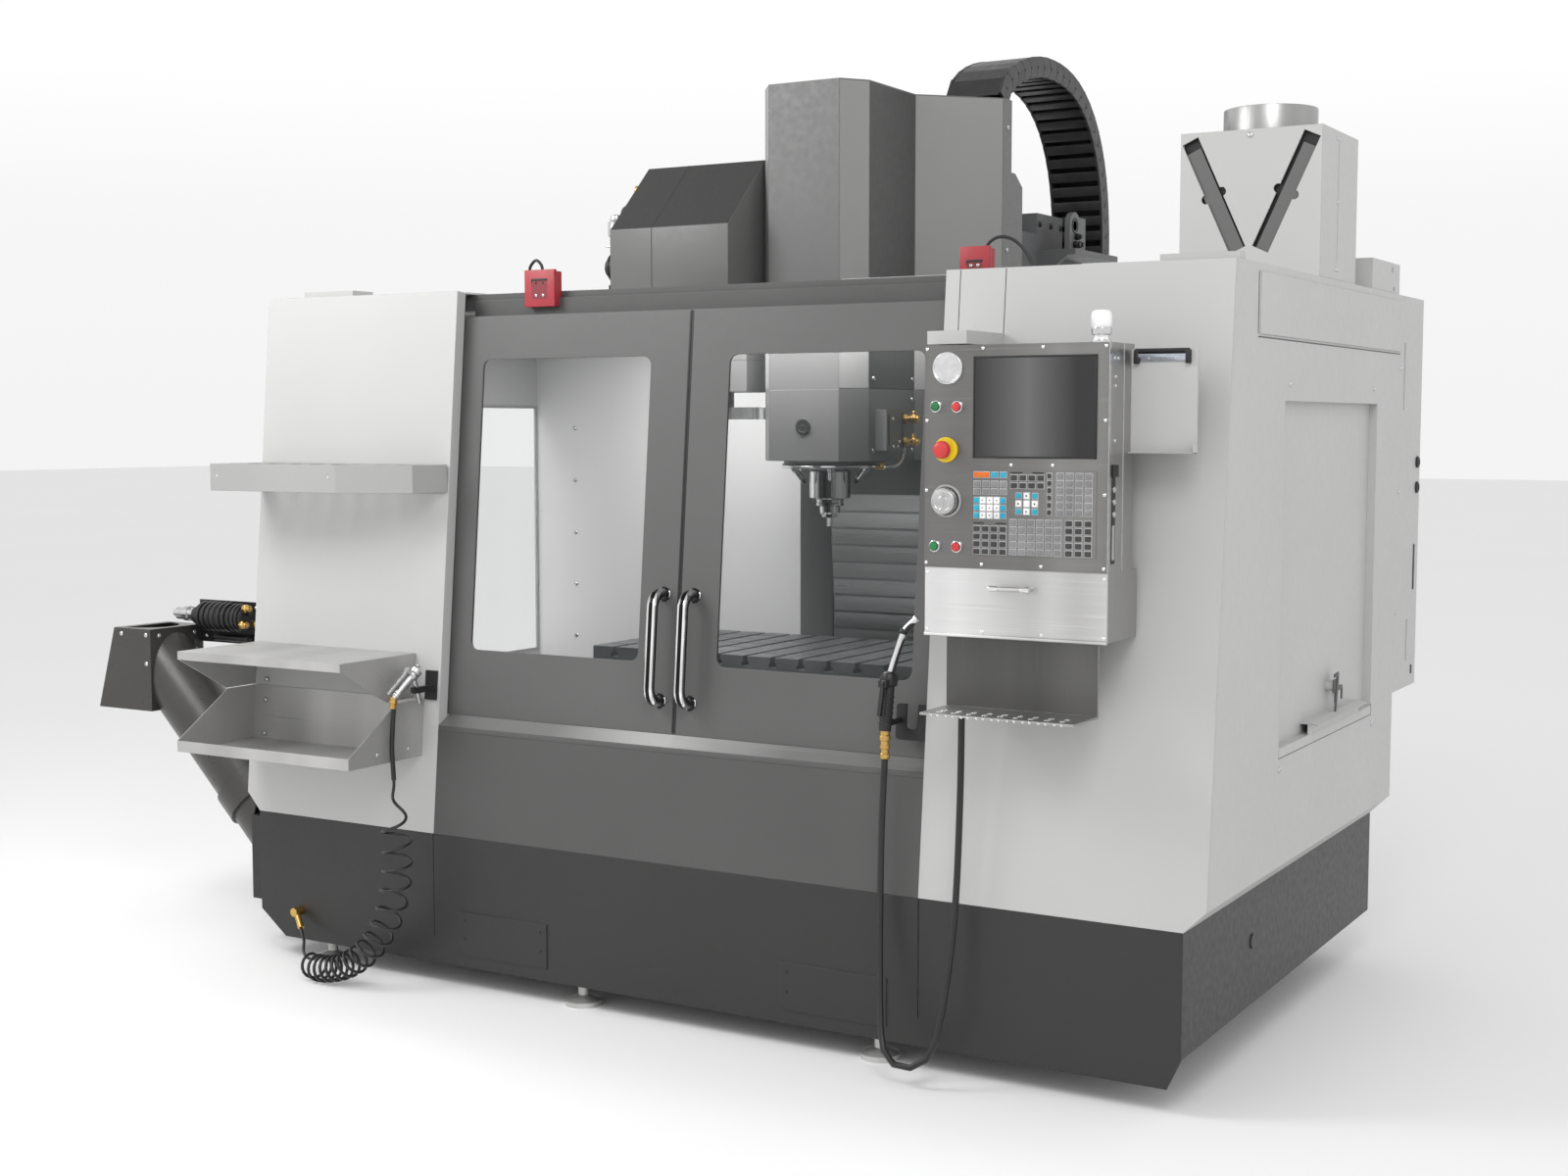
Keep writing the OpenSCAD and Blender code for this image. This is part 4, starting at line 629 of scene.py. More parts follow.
# Sill steel with a painted highlight at the middle of the doorway.
SILL_STEEL = Strip("sill_steel", (0.62, 0.62, 0.615), 0.5, left_m=-0.436, right_m=1.224)
STAINLESS = Brushed("stainless", (0.43, 0.427, 0.42), 0.34, swing=0.25, reflection_band_scale=4.0, metallic=0.45)
FACE_STEEL = Brushed("face_steel", (0.235, 0.232, 0.228), 0.36, swing=0.25, reflection_band_scale=5.0)
FLAP_STEEL = Brushed("flap_steel", (0.86, 0.855, 0.845), 0.38, swing=0.4)
CASE_STEEL = Brushed("case_steel", (0.5, 0.496, 0.486), 0.36, grain=Axis.Z, swing=0.22, reflection_band_scale=4.0)
WAY_STEEL = Brushed("way_steel", (0.37, 0.373, 0.376), 0.33, reflection_bands=Axis.Z, swing=0.25, reflection_band_scale=6.0)
TRAY_STEEL = Brushed("tray_steel", (0.135, 0.134, 0.131), 0.4, grain=Axis.Z, swing=0.25, reflection_band_scale=5.0)
COLLAR_STEEL = Brushed("collar_steel", (0.38, 0.38, 0.376), 0.34, grain=Axis.Z, reflection_band_scale=14.0)
CHROME = Polished("chrome", (0.78, 0.78, 0.79), 0.05)
# Chrome whose reflections are painted into its colour.
CHROME_PAINTED_REFLECTIONS = PaintedReflectionChrome("chrome_painted_reflections", (0.9, 0.9, 0.9), 0.06)
BRIGHT = Polished("bright_steel", (0.62, 0.62, 0.62), 0.2)
BRASS = Polished("brass", (0.62, 0.40, 0.13), 0.26)
GUN_METAL = Brushed("gun_metal", (0.45, 0.45, 0.45), 0.3, grain=Axis.Z, reflection_bands=Axis.Z, swing=0.2,
                    reflection_band_scale=20)
TABLE_IRON = Cast("table_iron", (0.13, 0.134, 0.138), 0.42)
SADDLE_IRON = Cast("saddle_iron", (0.16, 0.165, 0.17), 0.5)
FOOT_STEEL = Cast("foot_steel", (0.55, 0.55, 0.54), 0.4)
BLACK_PLASTIC = Moulded("black_plastic", (0.012, 0.012, 0.013), 0.42)
CHAIN_PLASTIC = Moulded("chain_plastic", (0.02, 0.02, 0.021), 0.38, grit=500)
CHAIN_SIDE = Moulded("chain_side", (0.026, 0.026, 0.027), 0.42, grit=500)
RUBBER = Moulded("rubber", (0.010, 0.010, 0.010), 0.34, grit=400, sheen=0.1)
GLASS = Pane("window_pane", (0.30, 0.34, 0.34), 0.03)
# Screen with a painted reflection band across it.
SCREEN = Display("screen_glass", (0.0065, 0.0065, 0.0065), 0.12, left_m=1.446, right_m=1.766)
KEY_GREY = Moulded("key_grey", (0.20, 0.20, 0.205), 0.45)
KEY_DARK = Moulded("key_dark", (0.035, 0.035, 0.036), 0.45)
KEY_WHITE = Moulded("key_white", (0.78, 0.78, 0.78), 0.4)
KEY_CYAN = Moulded("key_cyan", (0.02, 0.32, 0.46), 0.4)
KEY_ORANGE = Moulded("key_orange", (0.62, 0.13, 0.01), 0.4)
CAP_GREEN = Moulded("cap_green", (0.02, 0.17, 0.05), 0.3)
CAP_RED = Moulded("cap_red", (0.55, 0.04, 0.04), 0.3)
CAP_YELLOW = Moulded("cap_yellow", (0.72, 0.52, 0.01), 0.4)
KEY_RIM = Moulded("key_rim", (0.50, 0.50, 0.50), 0.4)
CLIP_BLUE = Polished("clip_spring_steel", (0.52, 0.55, 0.62), 0.22)
LENS_WHITE = Moulded("lens_white", (0.80, 0.80, 0.80), 0.35)


class Shell:
    """Gathers forms in millimetres of the machine and turns them into one piece."""

    def __init__(self, name: str, place: Matrix = UPRIGHT) -> None:
        """Starts empty.

        Args:
            name: Name of the piece.
            place: Frame that the next forms are written in.
        """
        self.name = name
        self.place = place
        self.mesh = bmesh.new()

    def corner(self, point: Iterable[float]) -> Corner:
        """New corner, written in the present frame."""
        return self.mesh.verts.new(self.place @ Vector(point))

    def box(self, x: Pair, y: Pair, z: Pair, edge: float = 0.0, steps: int = 2) -> None:
        """Box between limits.

        Args:
            x: Limits along X.
            y: Limits along Y.
            z: Limits along Z.
            edge: Width of its rounded edges.
            steps: Facets of the rounding.
        """
        self.prism([(x[0], y[0]), (x[1], y[0]), (x[1], y[1]), (x[0], y[1])], Axis.Z, z, edge, steps)

    def prism(self, outline: Sequence[Pair], axis: Axis, span: Pair, edge: float = 0.0,
              steps: int = 2) -> None:
        """Outline carried along an axis.

        Args:
            outline: Corners in the plane across the axis, as (Y, Z), (X, Z) or (X, Y).
            axis: The axis.
            span: Limits along it.
            edge: Width of its rounded edges.
            steps: Facets of the rounding.
        """
        def lift(p: Pair, level: float) -> Point:
            """Corner of the outline at a level."""
            return (*p[:axis.value], level, *p[axis.value:])
        low = [self.corner(lift(p, span[0])) for p in outline]
        high = [self.corner(lift(p, span[1])) for p in outline]
        faces = [self.mesh.faces.new(low[::-1]), self.mesh.faces.new(high)]
        for k in range(len(low)):
            n = (k + 1) % len(low)
            faces.append(self.mesh.faces.new((low[k], low[n], high[n], high[k])))
        if edge:
            edges = list(dict.fromkeys(e for f in faces for e in f.edges))
            bmesh.ops.bevel(self.mesh, geom=edges, offset=edge, offset_type="OFFSET", segments=steps,
                            profile=0.6, affect="EDGES", clamp_overlap=True)

    def lathe(self, profile: Sequence[Pair], base: Iterable[float], axis: Iterable[float], sides: int = 24,
              ring: bool = False) -> None:
        """Profile turned about an axis.

        Args:
            profile: Pairs of height along the axis and radius.
            base: Point at height zero.
            axis: Direction of the axis.
            sides: Facets around.
            ring: Whether the profile comes back to its start, which leaves a bore open.
        """
        turn = Vector(axis).normalized().to_track_quat("Z", "Y").to_matrix().to_4x4()
        frame_here = Matrix.Translation(Vector(base)) @ turn
        rows: list[list[Corner]] = []
        for height, radius in profile:
            if radius < 1e-6:
                rows.append([self.corner(frame_here @ Vector((0, 0, height)))])
                continue
            rows.append([self.corner(frame_here @ Vector((radius * math.cos(2 * math.pi * k / sides),
                                                          radius * math.sin(2 * math.pi * k / sides),
                                                          height)))
                         for k in range(sides)])
        for a, b in zip(rows, rows[1:] + rows[:1] if ring else rows[1:]):
            for k in range(sides):
                n = (k + 1) % sides
                face = list(dict.fromkeys((a[k % len(a)], a[n % len(a)], b[n % len(b)], b[k % len(b)])))
                if len(face) > 2:
                    self.mesh.faces.new(face)
        for row in () if ring else (rows[0][::-1], rows[-1]):
            if len(row) > 2:
                self.mesh.faces.new(row)

    def tube(self, points: Sequence[Iterable[float]], radius: float, sides: int = 10,
             closed: bool = False) -> None:
        """Round bar along a line.

        Args:
            points: The line.
            radius: Radius of the bar.
            sides: Facets around.
            closed: Whether the line comes back to its start.
        """
        line = [Vector(p) for p in points]
        count = len(line)
        up = Vector(UP)
        rows: list[list[Corner]] = []
        side = None
        for k, p in enumerate(line):
            before = line[k - 1] if k or closed else p
            after = line[(k + 1) % count] if k < count - 1 or closed else p
            t = (after - before).normalized()
            if side is None:
                side = t.cross(up if abs(t.z) < 0.9 else Vector(RIGHT)).normalized()
            side = (side - t * side.dot(t)).normalized()
            other = t.cross(side)
            rows.append([self.corner(p + radius * (side * math.cos(2 * math.pi * j / sides)
                                                   + other * math.sin(2 * math.pi * j / sides)))
                         for j in range(sides)])
        pairs = list(zip(rows, rows[1:] + rows[:1])) if closed else list(zip(rows, rows[1:]))
        for a, b in pairs:
            for j in range(sides):
                n = (j + 1) % sides
                self.mesh.faces.new((a[j], a[n], b[n], b[j]))
        if not closed:
            self.mesh.faces.new(rows[0][::-1])
            self.mesh.faces.new(rows[-1])

    def screw(self, base: Iterable[float], axis: Iterable[float], radius: float,
              height: float = 0.0) -> None:
        """Button-head screw with a socket.

        Args:
            base: Middle of its seat.
            axis: Direction it faces.
            radius: Radius of its head.
            height: Height of its head, 0.6 of the radius if zero.
        """
        h = height or 0.6 * radius
        self.lathe([(-0.3 * h, radius), (0.35 * h, radius), (0.8 * h, 0.8 * radius), (h, 0.5 * radius),
                    (h, 0.38 * radius), (0.45 * h, 0.34 * radius), (0.45 * h, 0)], base, axis, 12)

    def nut(self, base: Iterable[float], axis: Iterable[float], radius: float, height: float) -> None:
        """Hexagon with a chamfered face.

        Args:
            base: Middle of its seat.
            axis: Direction it faces.
            radius: Distance of its corners.
            height: Its height.
        """
        self.lathe([(0, radius), (0.8 * height, radius), (height, 0.82 * radius), (height, 0)], base, axis,
                   6)

    def piece(self, finish: Finish, body: str, slot: str, replaces: Sequence[str] = (),
              sharp_deg: float = 32.0,
              follow: tuple[str, str, Vector, Vector] | None = None) -> bpy.types.Object:
        """Turns the forms into a piece of the model.

        Args:
            finish: Its finish.
            body: The body it moves with.
            slot: The record's slot for its finish; not used.
            replaces: The solids it stands for.
            sharp_deg: Edges sharper than this stay sharp.
            follow: Two bodies and two points; when given, the piece is not attached to a body and stays
                where it is built.

        Returns:
            The new object.
        """
        bmesh.ops.recalc_face_normals(self.mesh, faces=self.mesh.faces)
        mesh = bpy.data.meshes.new(self.name)
        self.mesh.to_mesh(mesh)
        self.mesh.free()
        mesh.transform(TO_METRES)
        mesh.polygons.foreach_set("use_smooth", [True] * len(mesh.polygons))
        mesh.set_sharp_from_angle(angle=math.radians(sharp_deg))
        mesh.materials.append(finish.material())
        made = bpy.data.objects.new(self.name, mesh)
        bpy.context.scene.collection.objects.link(made)
        if follow:
            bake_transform(made)
        else:
            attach(made, body)
        if replaces:
            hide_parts(*replaces)
        LOG.info("piece %s: %d faces, %s", self.name, len(mesh.polygons), finish.name)
        return made


def dress(finish: Finish, *nodes: str) -> None:
    """Gives solids of the frame a finish.

    Args:
        finish: The finish.
        nodes: Names of the solids.
    """
    for node in nodes:
        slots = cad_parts[node].data.materials
        slots.clear()
        slots.append(finish.material())
        LOG.info("solid %s: %s", node, finish.name)


@dataclass(frozen=True)
class Lamp:
    """A soft square lamp: where it hangs and aims, its width and height, all in metres, and its watts."""

    name: str
    place: Point
    aim: Point
    size: Pair
    watts: float

    def hang(self) -> None:
        """Hangs the lamp, out of the camera's sight."""
        data = bpy.data.lights.new(self.name, "AREA")
        data.shape = "RECTANGLE"
        data.size, data.size_y = self.size
        data.energy = self.watts
        lamp = bpy.data.objects.new(self.name, data)
        lamp.location = self.place
        lamp.visible_camera = False
        lamp.rotation_euler = (Vector(self.aim) - Vector(self.place)).to_track_quat("-Z", "Y").to_euler()
        bpy.context.scene.collection.objects.link(lamp)


@dataclass
class Stage:
    """Floor, light and camera: lamps at the left front, at the right front and inside the machine."""

    camera_at: Point = (3170.7, -4681.8, 1722.4)
    pitch_deg: float = 4.662
    turn_deg: float = 30.454
    lens_mm: float = 45.96
    sky: tuple[Pair, ...] = ((0.0, 0.80), (0.1, 0.82), (0.28, 1.0), (0.55, 0.9), (1.0, 0.3))
    sky_strength: float = 1.13
    sensor_mm: float = 36.0
    floor_half_m: float = 60.0
    floor_tones: Pair = (0.98, 0.99)
    lamps: tuple[Lamp, ...] = (
        Lamp("left_lamp", (-1.8, -3.0, 3.6), (-0.8, -0.95, 1.9), (1.5, 1.5), 68),
        Lamp("right_lamp", (3.6, -5.0, 5.2), (0.5, 0.0, 2.4), (2.4, 2.4), 105),
        Lamp("chamber_lamp", tuple(at(-300, 900, 2090)), tuple(at(-300, 950, 900)), (1.2, 0.7), 30))

    def camera(self) -> None:
        """Stands the camera where the photograph was taken from."""
        data = bpy.data.cameras.new("view_camera")
        data.lens = self.lens_mm
        data.sensor_width = self.sensor_mm
        eye = bpy.data.objects.new("view_camera", data)
        eye.location = at(*self.camera_at)
        eye.rotation_euler = (math.radians(90 - self.pitch_deg), 0, math.radians(self.turn_deg))
        bpy.context.scene.collection.objects.link(eye)
        bpy.context.scene.camera = eye

    def floor(self) -> None:
        """Lays a wide pale floor."""
        mesh = bpy.data.meshes.new("floor")
        half = self.floor_half_m
        corners = [(-half, -half, 0), (half, -half, 0), (half, half, 0), (-half, half, 0)]
        mesh.from_pydata(corners, [], [(0, 1, 2, 3)])
        pale = bpy.data.materials.new("pale_floor")
        graph = Graph(pale)
        graph.shade("Base Color", graph.tones(graph.noise(0.4, 2), (1.0, 1.0, 1.0), self.floor_tones))
        graph.fix(Roughness=0.85)
        mesh.materials.append(pale)
        ground = bpy.data.objects.new("floor", mesh)
        bpy.context.scene.collection.objects.link(ground)

    def surroundings(self) -> None:
        """Pale all round: as light as the floor at the horizon, brightest above it and darker overhead."""
        world = bpy.data.worlds.new("studio")
        world.use_nodes = True
        tree = world.node_tree
        back = tree.nodes["Background"]
        place = tree.nodes.new("ShaderNodeTexCoord")
        split = tree.nodes.new("ShaderNodeSeparateXYZ")
        ramp = tree.nodes.new("ShaderNodeValToRGB")
        row = ramp.color_ramp.elements
        while len(row) < len(self.sky):
            row.new(0.5)
        for element, (height, tone) in zip(row, self.sky):
            element.position = height
            element.color = (tone, tone, tone, 1)
        tree.links.new(place.outputs["Generated"], split.inputs[0])
        tree.links.new(split.outputs["Z"], ramp.inputs["Fac"])
        tree.links.new(ramp.outputs["Color"], back.inputs["Color"])
        back.inputs["Strength"].default_value = self.sky_strength
        bpy.context.scene.world = world
        bpy.context.scene.view_settings.view_transform = "Standard"

    def build(self) -> None:
        """Builds the stage."""
        self.camera()
        self.floor()
        self.surroundings()
        for lamp in self.lamps:
            lamp.hang()


@dataclass
class Hoses:
    """The wash gun's hose and the air gun's curly hose."""

    wash_d: float = 18.0
    air_d: float = 9.6
    coil_r: Pair = (38.4, 42.5)
    sleeve_d: float = 15.0
    coil_steps: int = 900
    coil_turn: float = 2.2
    straight: Pair = (50.0, 226.0)
    swell: Pair = (190.0, 170.0)
    lying_run: Pair = (620.0, 260.0)
    pitch: tuple[float, float, float] = (160.0, 62.0, 36.0)
    curl_step: float = 13.5
    wash_route: tuple[Point, ...] = (
        (973, -40, 1030), (972, -45, 750), (966, -60, 450), (952, -88, 240), (939, -104, 150),
        (927, -116, 97), (898, -131, 66), (858, -140, 55), (818, -136, 66), (789, -122, 97),
        (776, -106, 145), (765, -90, 215), (746, -56, 380), (738, -34, 640), (742, -25, 840))
    air_route: tuple[Point, ...] = (
        (-1350, -40, 118), (-1310, -70, 90), (-1250, -120, 60), (-1200, -150, 46), (-1130, -165, 46),
        (-1040, -168, 70), (-960, -160, 125), (-900, -145, 210), (-868, -138, 310), (-858, -134, 410),
        (-861, -134, 500), (-864, -134, 600), (-868, -134, 655), (-870, -134, 690), (-874, -133, 750),
        (-873, -130, 810), (-870, -126, 880))

    def curve(self, name: str, points: Sequence[Vector], diameter: float) -> bpy.types.Object:
        """Round hose along points.

        Args:
            name: Its name.
            points: The middle line in millimetres.
            diameter: Its diameter in millimetres.

        Returns:
            The hose.
        """
        data = bpy.data.curves.new(name, "CURVE")
        data.dimensions = "3D"
        data.bevel_depth = diameter / 2000
        data.bevel_resolution = 4
        data.use_fill_caps = True
        line = data.splines.new("POLY")
        line.points.add(len(points) - 1)
        for node, p in zip(line.points, points):
            node.co = (*(TO_METRES @ p), 1)
        line.use_smooth = True
        data.materials.append(RUBBER.material())
        hose = bpy.data.objects.new(name, data)
        bpy.context.scene.collection.objects.link(hose)
        return hose

    def coil(self) -> list[Vector]:
        """Middle line of the curly hose: straight at both ends, wound round its route between them.

        Returns:
            Its points in millimetres, from the brass elbow to the gun.
        """
        last = self.coil_steps - 1
        route = smooth_line(self.air_route, self.coil_steps)
        step = line_length(route) / last
        start, stop = self.straight[0], line_length(route) - self.straight[1]
        loose, hung, drawn = self.pitch
        rows: list[tuple[Vector, Vector, Vector, float, float]] = []
        angle = self.coil_turn
        side = Vector((0, 1, 0))
        for k, p in enumerate(route):
            run = k * step
            t = (route[min(k + 1, last)] - route[max(k - 1, 0)]).normalized()
            side = (side - t * side.dot(t)).normalized()
            rise = unit((run - start) / self.swell[0]) * unit((stop - run) / self.swell[1])
            share = rise * rise * (3 - 2 * rise)
            lying = unit((self.lying_run[0] - run) / self.lying_run[1])
            radius = (self.coil_r[1] + (self.coil_r[0] - self.coil_r[1]) * lying) * share
            rows.append((p, side.copy(), t.cross(side), radius, angle))
            if radius > 0:
                angle += 2 * math.pi * step / (loose + (hung - drawn * lying - loose) * share ** 3)
        fine: list[Vector] = []
        for (p, u, v, r0, w0), (q, _, _, r1, w1) in zip(rows, rows[1:]):
            for j in range(6):
                s = j / 6
                w = w0 + (w1 - w0) * s
                fine.append(p.lerp(q, s) + (r0 + (r1 - r0) * s) * (u * math.cos(w) + v * math.sin(w)))
        fine.append(rows[-1][0])
        return even_steps(fine, int(line_length(fine) / self.curl_step))

    def build(self) -> None:
        """Lays both hoses where their solids are."""
        wash = smooth_line(self.wash_route, 40)
        hose = self.curve("wash_hose_tube", wash, self.wash_d)
        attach(hose, "frame")
        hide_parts("wash_hose")
        air = self.coil()
        curl = self.curve("air_hose_curl", air, self.air_d)
        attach(curl, "frame")
        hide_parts("air_hose")
        LOG.info("hoses: %.2f m and %.2f m", line_length(wash) / 1000, line_length(air) / 1000)
        sleeve = Shell("air_hose_sleeve")
        sleeve.tube(smooth_line(self.air_route[-5:], 24), self.sleeve_d / 2, 14)
        sleeve.piece(RUBBER, "frame", "hose_black")


@dataclass
class CableChain:
    """Cable chain from the head's top over a crown to the ledge behind the column."""

    x: Pair = (200, 400)
    start: Pair = (1463, 2792.4)
    crown: Pair = (1842, 2946.4)
    foot: Pair = (2383, 2345)
    powers: Pair = (1.72, 2.45)
    links: int = 24
    thickness: float = 70.0
    plate_t: float = 9.0
    hinge_r: float = 38.0
    play: float = 1.6

    def path(self) -> list[Vector]:
        """Hinge points along the chain.

        Returns:
            The points at equal steps, as (Y, Z) in the chain's plane.
        """
        (y0, z0), (y1, z1), (y2, z2) = self.start, self.crown, self.foot
        up, down = 2 / self.powers[0], 2 / self.powers[1]
        turns = [math.radians(k) for k in range(91)]
        fine = [Vector((y1 - (y1 - y0) * max(math.cos(t), 0) ** up, z0 + (z1 - z0) * math.sin(t) ** up))
                for t in turns[:-1]]
        fine += [Vector((y1 + (y2 - y1) * math.sin(t) ** down, z2 + (z1 - z2) * max(math.cos(t), 0) ** down))
                 for t in turns]
        return even_steps(fine, self.links + 1)

    def outline(self, a: Vector, b: Vector, first: bool, last: bool) -> list[Pair]:
        """Side of one link: round far end, hollow near end.

        Args:
            a: Its near hinge.
            b: Its far hinge.
            first: Whether it stands on the head.
            last: Whether it stands on the ledge.

        Returns:
            Its corners as (Y, Z).
        """
        d = b - a
        length = d.length
        along = d / length
        across = Vector((-along.y, along.x))
        half = self.thickness / 2
        hollow = self.hinge_r + self.play
        swing = math.asin(half / self.hinge_r)
        arc = [swing * (k / 5 - 1) for k in range(11)]
        near = [(0.0, half), (0.0, -half)] if first else \
            [(hollow * math.cos(w), hollow * math.sin(w) * half / (half + 0.9)) for w in arc[::-1]]
        far = [(length, -half), (length, half)] if last else \
            [(length + self.hinge_r * math.cos(w), self.hinge_r * math.sin(w)) for w in arc]
        return [tuple(a + along * u + across * v) for u, v in near + far]

    def build(self) -> None:
        """Builds side plates, lids, inner bars and pins, which run between the ledge and the head and are
        not attached to a body.
        """
        points = self.path()
        follow = ("frame", "spindle_head", at(300, self.foot[0], self.foot[1]), at(300, self.foot[0], 2790))
        sides = Shell("chain_side_plates")
        bars = Shell("chain_lids_and_bars")
        pins = Shell("chain_pins")
        for k, (a, b) in enumerate(zip(points, points[1:])):
            outline = self.outline(a, b, k == 0, k == self.links - 1)
            for x in ((self.x[0], self.x[0] + self.plate_t), (self.x[1] - self.plate_t, self.x[1])):
                sides.prism(outline, Axis.X, x, 1.0, 1)
            d = b - a
            along = d.normalized()
            across = Vector((-along.y, along.x))
            half = self.thickness / 2
            inner = (self.x[0] + self.plate_t - 1, self.x[1] - self.plate_t + 1)
            lap = d.length + 6
            lid = ((-8, half - 1.5), (lap, half - 0.5), (lap, half - 6), (-8, half - 7))
            bars.prism([tuple(a + along * u + across * v) for u, v in lid], Axis.X, inner, 1.2, 1)
            reach = d.length - 22
            bar = ((20, 1), (20 + reach, 1), (20 + reach, 11), (20 + reach * 0.7, 15),
                   (20 + reach * 0.3, 15), (20, 11))
            bars.prism([tuple(a + along * u + across * (v - half)) for u, v in bar], Axis.X, inner, 2.0, 2)
            for x, face in ((self.x[0], -1), (self.x[1], 1)):
                seat = a + d * 0.5 + along * 17
                pins.lathe([(-1, 4.5), (0.8, 4.5), (1.4, 3.6), (1.4, 0)], (x, seat.x, seat.y), (face, 0, 0),
                           10)
        sides.piece(CHAIN_SIDE, "frame", "chain_plastic", replaces=("cable_chain",), follow=follow)
        bars.piece(CHAIN_PLASTIC, "frame", "chain_plastic", follow=follow)
        pins.piece(BLACK_PLASTIC, "frame", "chain_plastic", follow=follow)


@dataclass
class WayCover:
    """Telescopic cover in front of the column, below the head."""

    x: Pair = (-260, 260)
    front: float = 1473.0
    low: float = 600.0
    high: float = 1482.6
    panels: int = 15
    step_y: float = 2.2
    step_x: float = 1.5
    lap: float = 9.0

    def build(self) -> None:
        """Builds overlapping folded panels below the head, not attached to a body."""
        shell = Shell("way_cover_panels")
        pitch = (self.high - self.low) / self.panels
        for k in range(self.panels):
            z = self.low + k * pitch
            y = self.front + 1.0 + self.step_y * (self.panels - 1 - k)
            inset = self.step_x * (self.panels - 1 - k)
            foot = z - self.lap if k else z
            shell.prism([(y, z), (y + 3, foot), (y + 9, foot), (y + 9, z + pitch), (y, z + pitch)],
                        Axis.X, (self.x[0] + inset, self.x[1] - inset), 1.2, 1)
        shell.piece(WAY_STEEL, "frame", "way_steel", replaces=("way_cover",),
                    follow=("frame", "spindle_head", at(0, self.front, self.low),
                            at(0, self.front, self.high)))


@dataclass
class Enclosure:
    """Skirt, folds, seams, screws, side bay and rear fittings of the enclosure."""

    seam_x: tuple[float, ...] = (872.0, 1003.0)
    seam_rise: Pair = (1480.0, 1664.0)
    side_x: float = 1617.5
    left_bolt_x: float = -1431.0
    bolt_heights: tuple[float, ...] = (911, 1111, 1310, 1510, 1709)
    wall_y: float = 1560.0
    bay_y: Pair = (580.0, 1545.0)
    bay_z: float = 855.0
    ledge_y: Pair = (863.0, 1401.0)
    brow_y: Pair = (329.0, 1812.0)
    brow_z: Pair = (1944.0, 2111.0)
    side_screws: tuple[Pair, ...] = ((588, 796), (1838, 1508), (1560, 796), (620, 1830), (1500, 1830),
                                     (1838, 1120), (1838, 1900))
    wall_screw_x: tuple[float, ...] = (-275, 275, 1431)
    wall_screw_z: tuple[float, ...] = (930, 1095, 1262)
    roof_screw_x: tuple[float, ...] = (-1250, -1050, -850, -650, -450, 450, 650, 850, 1050, 1250)
    roof_screw_z: float = 2086.0
    cap_y: float = 2076.0
    cap_z: Pair = (1517, 1600)
    slot_y: float = 2062.0
    slot_z: tuple[Pair, ...] = ((1180, 1330), (900, 930))
    fitting_at: Point = (1588, 1868, 866)
    air_line: tuple[Point, ...] = ((1588, 1868, 816), (1588, 1872, 780), (1587, 1876, 745),
                                   (1585, 1864, 715), (1582, 1835, 705), (1580, 1803, 704))
    hook_plate: tuple[Pair, ...] = ((1106, 944), (1156, 944), (1156, 984), (1106, 984))
    hook: tuple[Pair, ...] = ((1116, 886), (1130, 886), (1146, 950), (1180, 950), (1186, 944), (1182, 920),
                              (1192, 918), (1198, 950), (1190, 962), (1149, 962), (1154, 996), (1148, 1004),
                              (1106, 1000), (1104, 990), (1138, 990))
    sill_fold: tuple[Pair, ...] = ((-1.2, 318), (-1.2, 332.4), (0.8, 334), (0.8, 318))
    sill_half: float = 829.0
    skirt_half: float = 828.0
    skirt_y: Pair = (228.0, 241.0)
    skirt_z: Pair = (2040.0, 2106.0)

    def seams(self) -> None:
        """Draws thin folds on the right front panel and at the brow's front edge."""
        shell = Shell("panel_seams", LEANING)
        for x in self.seam_x:
            shell.box((x - 0.9, x + 0.9), (-0.8, 0.4), self.seam_rise)
        shell.place = UPRIGHT
        proud = (self.side_x - 0.4, self.side_x + 0.8)
        (front, rear), (low, high) = self.brow_y, self.brow_z
        shell.box(proud, (front, front + 3), (low + 9, high))
        shell.box(proud, (front + 3, rear), (low, low + 3))
        shell.piece(COAT_HEADER, "frame", "panel_white")

    def fasteners(self) -> None:
        """Sets screws on the side, the roof edge and the inner back wall."""
        shell = Shell("panel_screws")
        for y, z in self.side_screws:
            shell.screw((self.side_x, y, z), RIGHT, 8)
        for z in self.bolt_heights:
            shell.screw((self.left_bolt_x, self.wall_y, z), FRONT, 9)
        for x in self.wall_screw_x:
            for z in self.wall_screw_z:
                shell.screw((x, self.wall_y, z), FRONT, 8)
        for x in self.roof_screw_x:
            shell.screw((x, self.wall_y, self.roof_screw_z), FRONT, 8)
        shell.piece(BRIGHT, "frame", "liner_white")

    def rear_right(self) -> None:
        """Builds the black caps and slots of the rear edge and the bent air line below it."""
        shell = Shell("rear_caps")
        x = self.side_x
        for z in self.cap_z:
            shell.lathe([(-1, 19), (5, 19), (8, 15), (8, 9), (5, 8), (5, 0)], (x, self.cap_y, z), RIGHT, 24)
        for rise in self.slot_z:
            shell.box((x - 1, x + 2.5), (self.slot_y - 7, self.slot_y + 7), rise, 1.5)
        shell.piece(BLACK_PLASTIC, "frame", "cabinet_white")
        fitting = Shell("air_line_fitting")
        fitting.nut(self.fitting_at, DOWN, 15, 16)
        fitting.lathe([(14, 10), (26, 10), (26, 13), (40, 13), (40, 8), (52, 8), (52, 0)], self.fitting_at,
                      DOWN, 20)
        fitting.piece(BRASS, "frame", "brass")
        line = Shell("air_line")
        line.tube(smooth_line(self.air_line, 26), 6.5, 12)
        line.piece(CAP_RED, "frame", "switch_red")

